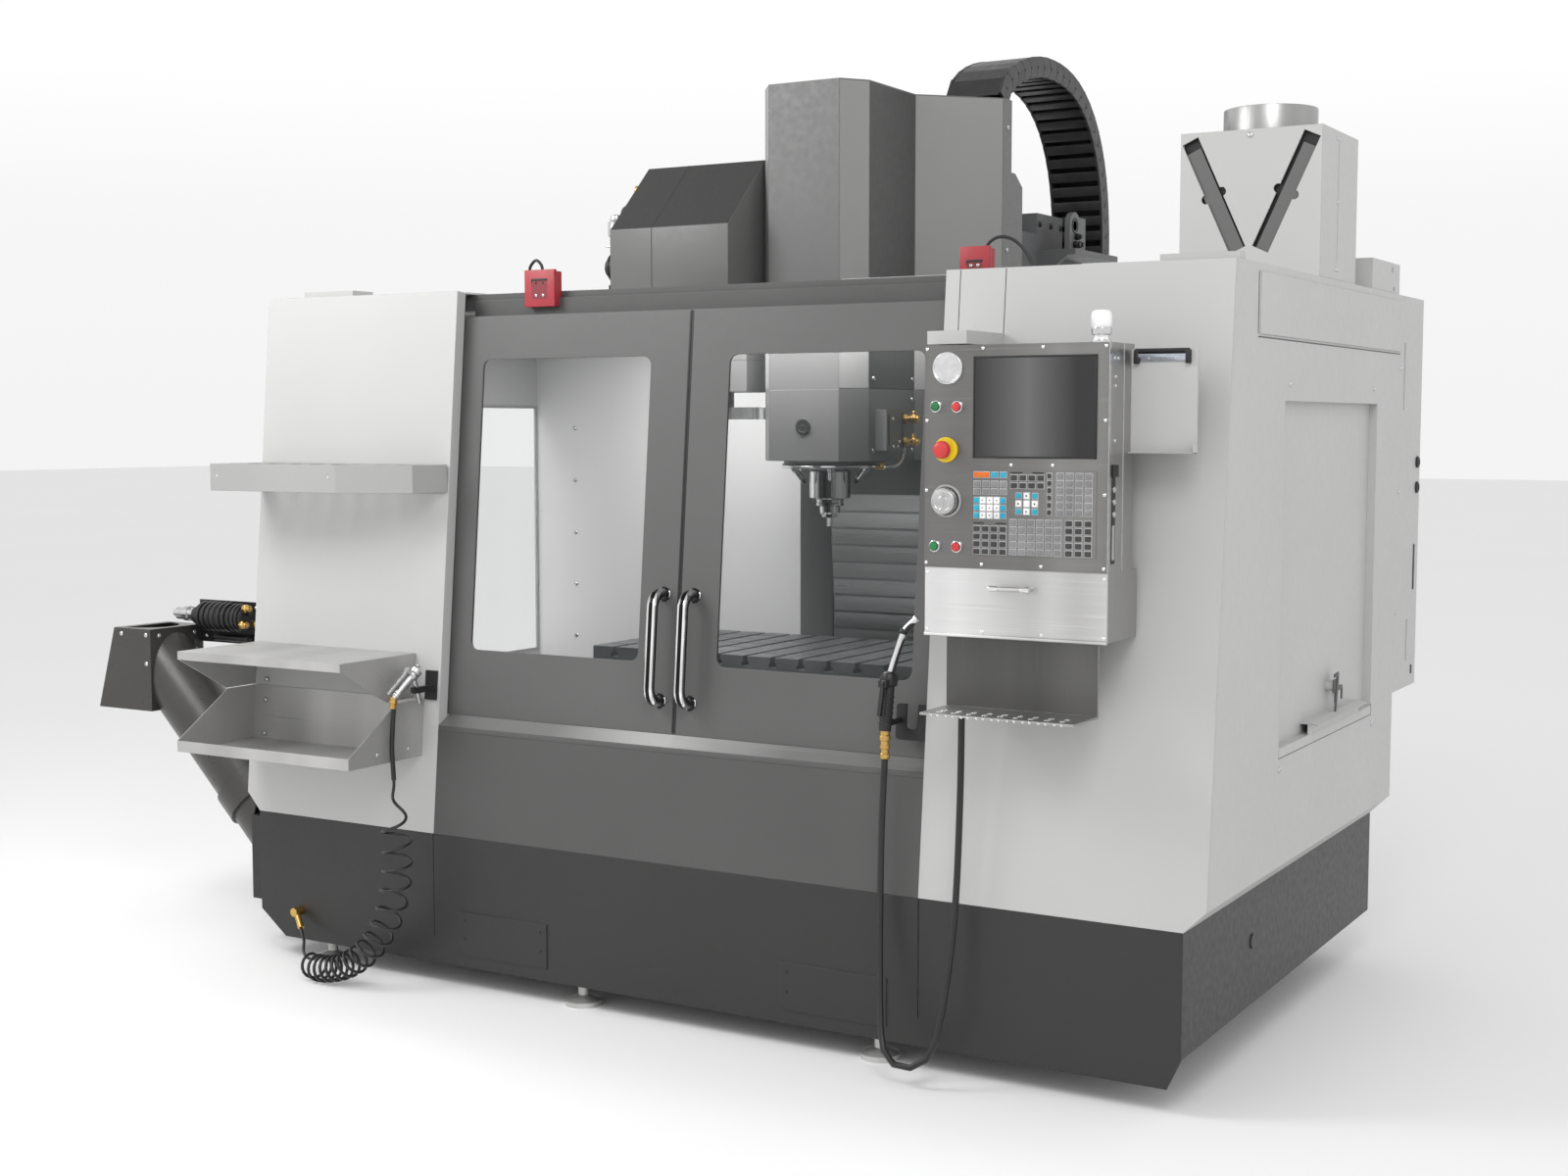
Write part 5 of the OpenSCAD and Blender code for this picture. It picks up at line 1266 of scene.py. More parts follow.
    def side_bay(self) -> None:
        """Builds the rail, the folded ledge and the hook of the bay in the right side."""
        x = self.side_x
        rail = Shell("bay_rail")
        rail.box((x - 0.4, x + 1.2), (self.bay_y[0], self.bay_y[1]), (self.bay_z - 27, self.bay_z), 0.5, 1)
        rail.prism([(x - 3, self.bay_z - 4), (x + 0.6, self.bay_z - 4), (x + 0.6, 888), (x + 27, 881),
                    (x + 28, 883.5), (x + 0.6, 891), (x - 3, 891)], Axis.Y, self.ledge_y, 0.8, 1)
        rail.piece(COAT_WHITE, "frame", "panel_white")
        hook = Shell("bay_hook")
        hook.prism(self.hook_plate, Axis.X, (x + 0.2, x + 3.2), 1.2, 2)
        hook.prism(self.hook, Axis.X, (x + 2.6, x + 6.2), 1.0, 2)
        hook.piece(COAT_HEADER, "frame", "panel_white")
        line = Shell("bay_lines")
        line.box((x - 0.4, x + 0.7), (self.bay_y[0], self.bay_y[1] + 2),
                 (self.bay_z - 29, self.bay_z - 27.4))
        line.box((x - 0.4, x + 1.5), (self.bay_y[1], self.bay_y[1] + 2), (self.bay_z - 29, self.bay_z + 6))
        line.piece(BLACK_PLASTIC, "frame", "panel_white")

    def sill_trim(self) -> None:
        """Builds the painted fold that carries the lower panel's colour over the sill's front lip."""
        fold = Shell("sill_fold", LEANING)
        fold.prism(self.sill_fold, Axis.X, (-self.sill_half, self.sill_half), 0.5, 1)
        fold.piece(COAT_LOWER, "frame", "lower_grey")

    def door_skirt(self) -> None:
        """Hangs the dark skirt that closes the gap between the doors' tops and the header."""
        skirt = Shell("door_skirt")
        skirt.box((-self.skirt_half, self.skirt_half), self.skirt_y, self.skirt_z, 1.0, 1)
        skirt.piece(COAT_HEADER, "frame", "header_grey")

    def build(self) -> None:
        """Builds the enclosure's small parts."""
        self.door_skirt()
        self.side_bay()
        self.sill_trim()
        self.seams()
        self.fasteners()
        self.rear_right()


@dataclass
class Doors:
    """Seals, window lips and chrome pulls of the two doors."""

    rise: Pair = (367, 1594)
    front: float = 49.0
    window_x: Pair = (129.0, 763.0)
    window_z: Pair = (565.0, 1467.0)
    window_r: float = 30.0
    lip_r: float = 4.0
    pull_x: float = 52.0
    pull_z: Pair = (461.5, 770.5)
    pull_r: float = 16.5
    pull_off: float = 60.0
    pull_bend: float = 40.0

    def pull(self, side: int, body: str) -> None:
        """Builds a door's chrome pull: a bar with two bends and a flange at each foot.

        Args:
            side: -1 for the left door, 1 for the right one.
            body: The door's body.
        """
        shell = Shell(f"{body}_pull", LEANING)
        x, y, r = side * self.pull_x, self.front - self.pull_off, self.pull_bend
        low, high = self.pull_z
        turns = [math.radians(10 * k) for k in range(10)]
        line = [(x, self.front, low)]
        line += [(x, y + r - r * math.sin(t), low + r - r * math.cos(t)) for t in turns]
        line += [(x, y + r - r * math.cos(t), high - r + r * math.sin(t)) for t in turns]
        line += [(x, self.front, high)]
        shell.tube(line, self.pull_r, 28)
        for z in self.pull_z:
            shell.lathe([(0, 22), (3, 22), (4.5, 20), (4.5, 0)], (x, self.front, z), FRONT, 32)
        shell.piece(CHROME_PAINTED_REFLECTIONS, body, "chrome", replaces=(body.replace("door", "handle"),))

    def build(self) -> None:
        """Builds a seal along the split, a lip round each window, and each door's pull."""
        for side, body in ((-1, "left_door"), (1, "right_door")):
            seal = Shell(f"{body}_seal", LEANING)
            inner = tuple(sorted((side * 1.2, side * 7.0)))
            seal.box(inner, (self.front - 0.8, self.front + 6), (self.rise[0] + 4, self.rise[1] - 4), 0.6, 1)
            left, right = sorted(side * x for x in self.window_x)
            low, high = self.window_z
            r = self.window_r
            corners = ((left + r, low + r, 180), (right - r, low + r, 270), (right - r, high - r, 0),
                       (left + r, high - r, 90))
            turns = [(x, z, math.radians(start + k * 15)) for x, z, start in corners for k in range(7)]
            line = [(x + r * math.cos(t), self.front + 10, z + r * math.sin(t)) for x, z, t in turns]
            seal.tube(line, self.lip_r, 8, closed=True)
            seal.piece(RUBBER, body, "door_grey")
            self.pull(side, body)


@dataclass
class Head:
    """Painted light and shade sheets on the cover, coolant ring, jets, nose rings, valves and screws of the
    spindle head.
    """

    axis: Pair = (0.0, 1006.0)
    ring_r: float = 151.0
    ring_z: float = 1590.0
    jet_r: float = 136.0
    jet_deg: float = 40.0
    jets: int = 6
    sleeve_r: float = 66.8
    nose_z: float = 1486.0
    side_x: float = 190.0
    plan: tuple[Pair, ...] = ((127.0, 832.0), (190.0, 915.0), (190.0, 1229.0), (407.0, 1440.0))
    cover_z: Pair = (1833.0, 2792.0)
    supply: tuple[Point, ...] = ((150, 1010, 1590), (186, 1012, 1590), (214, 1030, 1588), (224, 1060, 1600),
                                 (224, 1084, 1622), (224, 1090, 1650))
    jet_z: float = 1585.0
    box_x: float = 230.0
    valve_y: float = 1086.0
    valve_z: Pair = (1742, 1668)
    plug_at: Point = (0, 828, 1716)
    casting_screws: tuple[Pair, ...] = ((945, 1867), (1217, 1870), (1217, 1805), (945, 1640), (1217, 1640))
    flare_screws: tuple[float, ...] = (1900, 2300, 2700)
    flare_at: Pair = (407.0, 1476.0)
    box_screws: tuple[Pair, ...] = ((1004, 1740), (1048, 1668), (1010, 1652), (1040, 1652))

    def panels(self) -> None:
        """Builds thin sheets over the cover that paint its light and shade: dark ones on the flanks as
        painted shade, light ones on the chamfers and the flares as painted light.
        """
        light, dark = Shell("cover_painted_light_sheets"), Shell("cover_painted_shade_sheets")
        rise = (self.cover_z[0] + 4, self.cover_z[1] - 4)
        for side in (-1, 1):
            for shell, (a, b) in ((light, self.plan[:2]), (dark, self.plan[1:3]), (light, self.plan[2:])):
                p, q = Vector((side * a[0], a[1])), Vector((side * b[0], b[1]))
                along = (q - p).normalized()
                out = Vector((along.y, -along.x)) * side * 0.5
                ends = [p + along * 1.5, q - along * 1.5]
                shell.prism([tuple(e + out) for e in ends] + [tuple(e - out) for e in ends[::-1]], Axis.Z,
                            rise)
        light.piece(COVER_PAINTED_LIGHT, "spindle_head", "cover_grey")
        dark.piece(COVER_PAINTED_SHADE, "spindle_head", "cover_grey")

    def ring(self) -> None:
        """Builds the bright coolant ring with its supply tube."""
        shell = Shell("coolant_ring")
        x, y = self.axis
        turns = [math.radians(k * 7.5) for k in range(48)]
        line = [(x + self.ring_r * math.cos(t), y + self.ring_r * math.sin(t), self.ring_z) for t in turns]
        shell.tube(line, 8.0, 12, closed=True)
        shell.tube(smooth_line(self.supply, 24), 6.5, 12)
        shell.piece(CHROME, "spindle_head", "head_iron")

    def nozzles(self) -> None:
        """Builds a knuckle, a tube and a black tip over each jet."""
        bright = Shell("jet_tubes")
        tips = Shell("jet_tips")
        tilt = math.radians(self.jet_deg)
        for k in range(self.jets):
            turn = math.radians(k * 360 / self.jets)
            out = Vector((math.cos(turn), math.sin(turn), 0))
            aim = -out * math.sin(tilt) - Vector((0, 0, math.cos(tilt)))
            base = Vector((*self.axis, self.jet_z)) + out * self.jet_r
            bright.lathe([(-4, 11), (8, 12), (14, 10), (14, 8.4), (40, 8.4), (47.5, 8.4), (50, 6.5),
                          (50, 0)], base, aim, 16)
            tips.lathe([(48, 5.5), (52, 5.5), (66, 3.4), (66, 1.8), (58, 1.6), (58, 0)], base, aim, 12)
        bright.piece(CHROME, "spindle_head", "head_iron")
        tips.piece(BLACK_PLASTIC, "spindle_head", "head_iron")

    def nose(self) -> None:
        """Builds the chrome sleeve over the cartridge, and the grooved flange and nut of the tool holder."""
        sleeve = Shell("cartridge_sleeve")
        r = self.sleeve_r
        sleeve.lathe([(0, 43.2), (0, r - 3), (1.5, r), (86, r), (86, r - 0.6), (0.2, r - 0.6), (0.2, 43.2)],
                     (*self.axis, self.nose_z - 0.3), UP, 64, ring=True)
        for k in range(6):
            turn = math.radians(30 + 60 * k)
            seat = (self.axis[0] + 54 * math.cos(turn), self.axis[1] + 54 * math.sin(turn),
                    self.nose_z - 0.3)
            sleeve.screw(seat, DOWN, 5, 2.4)
        sleeve.piece(CHROME_PAINTED_REFLECTIONS, "spindle_head", "head_iron")
        holder = Shell("tool_holder_rings")
        base = (*self.axis, self.nose_z)
        holder.lathe([(4, 41.6), (4, 43.4), (6, 45), (10, 45), (13.5, 42.4), (16, 42.4), (19.5, 45),
                      (24, 45), (25.6, 43.6), (26.2, 41.6)], base, DOWN, 48, ring=True)
        holder.lathe([(26.4, 31.6), (27, 33.2), (33, 33.6), (50, 31.8), (51.6, 31.6)], base, DOWN, 48,
                     ring=True)
        holder.lathe([(52.4, 23.6), (52.4, 27), (62, 27), (64, 24.6), (64, 23.6)], base, DOWN, 8, ring=True)
        holder.piece(CHROME_PAINTED_REFLECTIONS, "spindle", "chrome")

    def valves(self) -> None:
        """Builds brass valves and dark slots on the side box."""
        brass = Shell("coolant_valves")
        for z in self.valve_z:
            seat = (self.box_x, self.valve_y, z)
            brass.nut(seat, RIGHT, 16, 12)
            brass.lathe([(12, 10), (30, 10), (30, 14), (44, 14), (44, 9), (52, 9), (52, 0)], seat, RIGHT, 18)
            brass.lathe([(0, 8), (22, 8), (24, 6), (24, 0)], (self.box_x + 32, self.valve_y, z), UP, 14)
        brass.nut((170, 1011, self.ring_z), RIGHT, 14, 26)
        brass.piece(BRASS, "spindle_head", "brass")
        dark = Shell("side_box_slots")
        dark.box((self.box_x - 1, self.box_x + 1), (972, 980), (1655, 1756), 0.8, 1)
        dark.box((self.box_x - 1, self.box_x + 2), (1066, 1072), (1650, 1762), 0.8, 1)
        dark.lathe([(0, 26.4), (1.5, 26.4), (2.5, 24), (2.5, 17), (0.8, 16), (0.8, 6), (2, 5), (2, 0)],
                   self.plug_at, FRONT, 32)
        dark.piece(BLACK_PLASTIC, "spindle_head", "head_iron")

    def screws(self) -> None:
        """Sets screws on the casting and the cover."""
        shell = Shell("head_screws")
        for side in (-1, 1):
            for y, z in self.casting_screws:
                shell.screw((side * self.side_x, y, z), (side, 0, 0), 8)
            for z in self.flare_screws:
                shell.screw((side * self.flare_at[0], self.flare_at[1], z), (side, 0, 0), 8)
        for y, z in self.box_screws:
            shell.screw((self.box_x, y, z), RIGHT, 6)
        shell.piece(BRIGHT, "spindle_head", "head_iron")

    def build(self) -> None:
        """Builds the head's small parts."""
        self.panels()
        self.ring()
        self.nozzles()
        self.nose()
        self.valves()
        self.screws()


@dataclass
class ToolChanger:
    """Cover, gear case, seam and screws of the tool changer, and the air fittings at its left."""

    x: Pair = (-650.0, -198.0)
    seam_x: float = -487.0
    front: float = 700.0
    eave: float = 926.0
    heights: tuple[float, float, float] = (2131.0, 2352.0, 2573.0)
    foot: float = 2111.0
    rear: float = 1200.0
    case_x: Pair = (-560.0, -240.0)
    case_y: Pair = (880.0, 1130.0)
    case_z: tuple[float, float, float] = (1830.0, 1932.0, 2113.0)
    bore: tuple[float, float, float] = (-400.0, 1005.0, 30.4)
    elbow_yz: Pair = (930.0, 2505.0)
    regulator_y: float = 830.0
    plug_yz: Pair = (820.0, 2241.0)
    plug_ribs: int = 6

    def cover(self) -> None:
        """Builds the sheet cover with its slope, a darker sheet on the slope as painted shade, and the gear
        case below it with the arm's bore.
        """
        cover = Shell("changer_cover")
        _, brow, top = self.heights
        cover.prism([(self.front, self.foot), (self.front, brow), (self.eave, top), (self.rear, top),
                     (self.rear, self.foot)],
                    Axis.X, self.x, 2.5, 2)
        cover.piece(COAT_CHANGER, "frame", "changer_grey", replaces=("tool_changer",))
        # Painted shade: a near-black sheet over the slope, darker than the cover's own paint.
        slope = Shell("changer_slope_painted_shade")
        fall = Vector((self.eave - self.front, top - brow)).normalized()
        out = Vector((-fall.y, fall.x))
        a, b = Vector((self.front, brow)) + fall * 2, Vector((self.eave, top)) - fall * 2
        slope.prism([tuple(a + out * 0.5), tuple(b + out * 0.5), tuple(b - out), tuple(a - out)], Axis.X,
                    (self.x[0] + 2, self.x[1] - 2))
        slope.piece(SLOPE_PAINTED_SHADE, "frame", "changer_grey")
        case = Shell("changer_gear_case")
        low, mid, high = self.case_z
        near, far = self.case_y
        x, y, r = self.bore
        turns = [math.radians(k * 15) for k in range(13)]
        for side, outer in ((-1, self.case_x[0]), (1, self.case_x[1])):
            arc = [(x + side * r * math.sin(t), y - r * math.cos(t)) for t in turns]
            case.prism([(outer, near), (x, near), *arc, (x, far), (outer, far)], Axis.Z, (low, mid))
        case.box(self.case_x, self.case_y, (mid, high))
        case.piece(COAT_CHANGER, "frame", "changer_grey")

    def seam(self) -> None:
        """Draws the fold down the slope and the wall."""
        shell = Shell("changer_seam")
        low, brow, top = self.heights
        fall = Vector((self.eave - self.front, top - brow)).normalized()
        lift = Vector((-fall.y, fall.x)) * 0.7
        x = (self.seam_x - 1.1, self.seam_x + 1.1)
        shell.box(x, (self.front - 0.7, self.front + 0.5), (low, brow))
        a, b = Vector((self.front, brow)), Vector((self.eave, top))
        shell.prism([tuple(a + lift), tuple(b + lift), tuple(b - lift), tuple(a - lift)], Axis.X, x)
        shell.piece(BLACK_PLASTIC, "frame", "changer_grey")
        screws = Shell("changer_screws")
        for sx in (-600, -300):
            for k in (-8, 8):
                screws.screw((sx + k, self.front, 2143), FRONT, 5)
        screws.piece(BRIGHT, "frame", "changer_grey")

    def fittings(self) -> None:
        """Builds the brass elbow, the silver regulator, the clip and the ribbed plug on the left wall."""
        x = self.x[0]
        brass = Shell("changer_elbow")
        seat = (x, *self.elbow_yz)
        brass.nut(seat, LEFT, 16, 14)
        brass.lathe([(14, 11), (34, 11), (34, 16), (50, 16), (54, 12), (54, 0)], seat, LEFT, 20)
        brass.lathe([(0, 9), (26, 9), (26, 12), (36, 12), (36, 0)], (x - 42, *self.elbow_yz), DOWN, 18)
        brass.piece(BRASS, "frame", "brass")
        silver = Shell("changer_regulator")
        silver.lathe([(0, 17), (28, 17), (28, 13), (40, 13)], (x, self.regulator_y, 2385), LEFT, 20)
        silver.lathe([(-38, 0), (-38, 20), (-30, 28), (12, 28), (20, 22), (34, 20), (38, 14), (38, 0)],
                     (x - 66, self.regulator_y, 2378), UP, 24)
        silver.tube([(x + 2, 800, 2309), (x - 60, 798, 2309), (x - 84, 796, 2312)], 4.5, 10)
        silver.piece(BRIGHT, "frame", "gun_metal")
        black = Shell("changer_plug")
        for k in range(self.plug_ribs):
            r = 58 - 3 * abs(k - 2)
            black.lathe([(0, r), (7, r), (9, r - 6), (12, r - 6)], (x - 12 * k, *self.plug_yz), LEFT, 24)
        black.lathe([(0, 30), (14, 30), (16, 26), (16, 0)], (x - 12 * self.plug_ribs, *self.plug_yz), LEFT,
                    20)
        black.tube(smooth_line([(x + 2, 880, 2445), (x - 40, 878, 2448), (x - 62, 872, 2440),
                                (x - 64, 862, 2418), (x - 44, 850, 2400), (x - 30, 838, 2392)], 22), 6, 10)
        black.box((x - 78, x + 1), (800, 840), (2160, 2168), 1.5, 1)
        black.box((x - 78, x - 70), (800, 840), (2160, 2184), 1.5, 1)
        black.piece(BLACK_PLASTIC, "frame", "motor_black")

    def build(self) -> None:
        """Builds the changer's cover and small parts."""
        self.cover()
        self.seam()
        self.fittings()


@dataclass
class Exhaust:
    """Blades, collar sleeve, screws and seam of the exhaust box, and notches of the low box behind it."""

    centre: Pair = (1408.0, 1087.5)
    top: float = 2550.0
    collar_h: float = 75.0
    collar_r: float = 132.0
    x: Pair = (1205.0, 1611.0)
    y: Pair = (900.0, 1275.0)
    slot_off: float = 104.0
    slot_mid: float = 2351.0
    slot_size: Pair = (50.0, 344.0)
    slot_deg: float = 24.5
    front_screw_z: float = 2534.0
    side_screws: tuple[Pair, ...] = ((1060, 2528), (1082, 2528), (1068, 2350), (1060, 2162), (1084, 2162))
    notches: tuple[tuple[float, Pair], ...] = ((1716, (2196, 2212)), (1738, (2140, 2152)))

    def slots(self) -> None:
        """Builds the grey blade in each long slot, and behind both a black sheet that paints the shade
        inside the box.
        """
        blades = Shell("exhaust_blades")
        w, h = self.slot_size[0] / 2, self.slot_size[1] / 2
        for side in (-1, 1):
            blades.place = Matrix.Translation((self.centre[0] + side * self.slot_off, 0, self.slot_mid)) \
                @ Matrix.Rotation(math.radians(side * self.slot_deg), 4, "Y")
            blades.box((3 - w, w + 2), (self.y[0] + 6.5, self.y[0] + 9), (-h - 2, h - 12))
        blades.piece(COAT_COVER, "frame", "panel_white")
        # Painted shade: a black sheet at the white baffle, standing in for the shade behind the slots.
        dark = Shell("exhaust_back_painted_shade")
        dark.box((self.x[0] + 7, self.x[1] - 7), (self.y[0] + 16, self.y[0] + 19), (2120, 2543), 0.5, 1)
        dark.piece(BLACK_PLASTIC, "frame", "panel_white")

    def build(self) -> None:
        """Builds the exhaust's small parts."""
        self.slots()
        sleeve = Shell("exhaust_sleeve")
        r, h = self.collar_r, self.collar_h
        sleeve.lathe([(0.5, r + 0.2), (0.5, r + 1.2), (h - 2, r + 1.2), (h, r + 0.6), (h + 0.6, r - 1.6),
                      (h, r - 4.3), (0.5, r - 4.6), (0.5, r - 4.2), (h - 1, r - 3.8), (h - 1, r + 0.2)],
                     (*self.centre, self.top), UP, 96, ring=True)
        sleeve.piece(COLLAR_STEEL, "frame", "panel_white")
        screws = Shell("exhaust_screws")
        screws.screw((self.centre[0], self.y[0], self.front_screw_z), FRONT, 8)
        for y, z in self.side_screws:
            screws.screw((self.x[1], y, z), RIGHT, 7)
        screws.piece(BRIGHT, "frame", "panel_white")
        seam = Shell("exhaust_seam")
        seam.box((self.x[1] - 0.4, self.x[1] + 0.7), (1070.5, 1072), (2180, 2515))
        for y, rise in self.notches:
            seam.box((self.x[1] - 0.5, self.x[1] + 0.8), (y - 5, y + 5), rise, 0.5, 1)
        seam.piece(COAT_HEADER, "frame", "panel_white")


@dataclass
class ChainLedge:
    """Bolts and lug ring at the cable chain's fixed end."""

    side_x: float = 400.0
    bolts: tuple[Pair, ...] = ((2076, 2364), (2108, 2366), (2090, 2392))
    lug: Pair = (2083.0, 2431.0)
    screw_x: float = 290.0
    screw_y: tuple[float, ...] = (2020, 2120, 2210)
    screw_z: float = 2437.0

    def build(self) -> None:
        """Builds black bolts beside the lug and a ring round its hole."""
        shell = Shell("ledge_bolts")
        for y, z in self.bolts:
            shell.nut((self.side_x, y, z), RIGHT, 13, 16)
            shell.lathe([(16, 8), (24, 8), (24, 0)], (self.side_x, y, z), RIGHT, 14)
        shell.lathe([(-0.5, 19), (1.5, 24), (2.5, 26), (1.5, 28), (-0.5, 28)], (self.side_x, *self.lug),
                    RIGHT, 32)
        for y in self.screw_y:
            shell.screw((self.screw_x, y, self.screw_z), RIGHT, 11)
        shell.piece(BLACK_PLASTIC, "frame", "column_iron")


@dataclass(frozen=True)
class Switch:
    """One door switch: its box, the height of its recess's top and bottom, and its lead's line."""

    x: Pair
    z: Pair
    recess: Pair
    lead: tuple[Point, ...]


@dataclass
class DoorSwitches:
    """Red boxes, recesses shown as darker red patches of painted shade, screws and looped black leads of the
    two door switches.
    """

    switches: tuple[Switch, ...] = (
        Switch((-613.0, -501.0), (2078.0, 2189.0), (2101.0, 2161.0),
               ((-608, 220, 2120), (-608, 220, 2186), (-602, 220, 2205), (-583, 220, 2219),
                (-564, 220, 2205), (-558, 220, 2186))),
        Switch((843.0, 930.0), (2131.0, 2195.0), (2133.0, 2158.0),
               ((910, 220, 2190), (924, 221, 2208), (951, 223, 2218), (985, 226, 2210), (1015, 229, 2185),
                (1034, 231, 2155), (1044, 232, 2130))))
    front: float = 200.0
    lead_r: float = 4.6

    def build(self) -> None:
        """Builds both switches."""
        boxes = Shell("switch_boxes")
        recesses = Shell("switch_recess_painted_shade")
        dark = Shell("switch_leads")
        bright = Shell("switch_screws")
        for switch in self.switches:
            (x0, x1), (z0, z1), (low, high) = switch.x, switch.z, switch.recess
            boxes.box((x0, x1), (self.front, self.front + 14), (z0, z1), 2.0, 2)
            boxes.box((x0 + 2, x1 - 1), (self.front + 13, self.front + 40), (z0, z1 - 5), 2.0, 2)
            left, right = x0 + 0.24 * (x1 - x0), x0 + 0.76 * (x1 - x0)
            # Painted shade: a darker red patch on the box's face where its recess is.
            recesses.box((left, right), (self.front - 0.6, self.front + 1), (low, high), 0.5, 1)
            dark.box((left - 1, right + 1), (self.front - 1.2, self.front + 1), (high - 6, high + 1), 3.0, 3)
            dark.box((left - 1, left + 3), (self.front - 1.2, self.front + 1), (high - 12, high - 2), 1.5, 2)
            dark.tube(smooth_line(switch.lead, 26), self.lead_r, 12)
            for x in (left + 0.3 * (right - left), left + 0.75 * (right - left)):
                dark.screw((x, self.front - 0.6, high - 12), FRONT, 3.0)
                bright.screw((x, self.front - 0.6, low + 11), FRONT, 5.0)
        boxes.piece(COAT_RED, "frame", "switch_red", replaces=("door_switches",))
        recesses.piece(SWITCH_RED_PAINTED_SHADE, "frame", "switch_red")
        dark.piece(BLACK_PLASTIC, "frame", "motor_black")
        bright.piece(BRIGHT, "frame", "chrome")


@dataclass
class ChipAuger:
    """Drive fittings and screws of the chip auger."""

    motor: Pair = (267.0, 1062.0)
    end_x: float = -2078.0
    ribs: int = 9
    rib_x: float = -2070.0
    rib_pitch: float = 21.0
    cap_x: float = -1881.0
    rod_at: Point = (-2060, 300, 985)
    gland_x: float = -1872.0
    glands: tuple[Pair, ...] = ((-11.2, 34), (-27.2, -20), (17.6, -22))
    hood_front: float = 90.0
    hood_screws: tuple[Pair, ...] = ((-2170, 1004), (-2170, 905), (-2290, 1004))
    cheek_at: Pair = (-2150.0, 1000.0)
    cheek_y: Pair = (130.0, 290.0)
    plate_x: Pair = (-2120.0, -1880.0)
    plate_y: float = 318.0
    plate_z: Pair = (985.0, 1092.0)

    def build(self) -> None:
        """Builds the gear motor's silver end, its ribs, glands and the hood's screws."""
        y, z = self.motor
        silver = Shell("auger_gear_end")
        silver.lathe([(0, 20), (60, 20), (64, 26), (84, 26), (88, 22), (120, 22), (120, 12), (138, 12),
                      (140, 9), (140, 0)],
                     (self.end_x, y, z + 4), LEFT, 28)
        silver.tube([(self.end_x - 140, y, z + 4), (self.end_x - 144, y, z + 4)], 6, 10)
        silver.piece(BRIGHT, "frame", "gun_metal")
        ribs = Shell("auger_motor_ribs")
        for k in range(self.ribs):
            place = (self.rib_x + self.rib_pitch * k, y, z)
            ribs.lathe([(0, 44), (0, 48.5), (9, 48.5), (9, 44)], place, RIGHT, 32)
        ribs.lathe([(0, 40), (10, 40), (14, 34), (14, 0)], (self.cap_x, y, z), RIGHT, 28)
        ribs.lathe([(0, 11), (150, 11), (152, 15), (166, 15), (168, 8), (180, 8), (180, 0)], self.rod_at,
                   RIGHT, 20)
        ribs.piece(BLACK_PLASTIC, "frame", "motor_black")
        glands = Shell("auger_glands")
        for dy, dz in self.glands:
            place = (self.gland_x, y + dy, z + dz)
            glands.nut(place, RIGHT, 15, 14)
            glands.lathe([(14, 11), (26, 11), (28, 9), (28, 5), (34, 5), (34, 0)], place, RIGHT, 16)
        glands.piece(BRASS, "frame", "brass")
        screws = Shell("hood_screws")
        for x, sz in self.hood_screws:
            screws.screw((x, self.hood_front, sz), FRONT, 8)
        for sy in self.cheek_y:
            screws.screw((self.cheek_at[0], sy, self.cheek_at[1]), RIGHT, 8)
        for sx in self.plate_x:
            for sz in self.plate_z:
                screws.screw((sx, self.plate_y, sz), FRONT, 7)
        screws.piece(BRIGHT, "frame", "chrome")


@dataclass
class FrontFurniture:
    """Screws of the tool rack, the work shelf and the parts bin."""

    bolt_x: Pair = (-1551.0, -938.0)
    bolt_heights: tuple[float, ...] = (724.0, 833.0, 899.0)
    cheek_x: float = -890.0
    cheek_screws: tuple[Pair, ...] = ((-40, 735), (-180, 735), (-20, 905), (10, 985))
    rack_x: Pair = (-1590.0, -1120.0)
    rack_z: float = 1560.0
    rack_depth: float = 222.0

    def build(self) -> None:
        """Sets the furniture's screws."""
        shell = Shell("furniture_screws")
        for x in self.bolt_x:
            for z in self.bolt_heights:
                shell.screw((x, plane_y(z) - 7, z), FRONT, 8)
        for y, z in self.cheek_screws:
            shell.screw((self.cheek_x, y, z), RIGHT, 6)
        for x in self.rack_x:
            shell.screw((x, plane_y(self.rack_z) - self.rack_depth, self.rack_z), FRONT, 5)
        shell.piece(BRIGHT, "frame", "stainless")


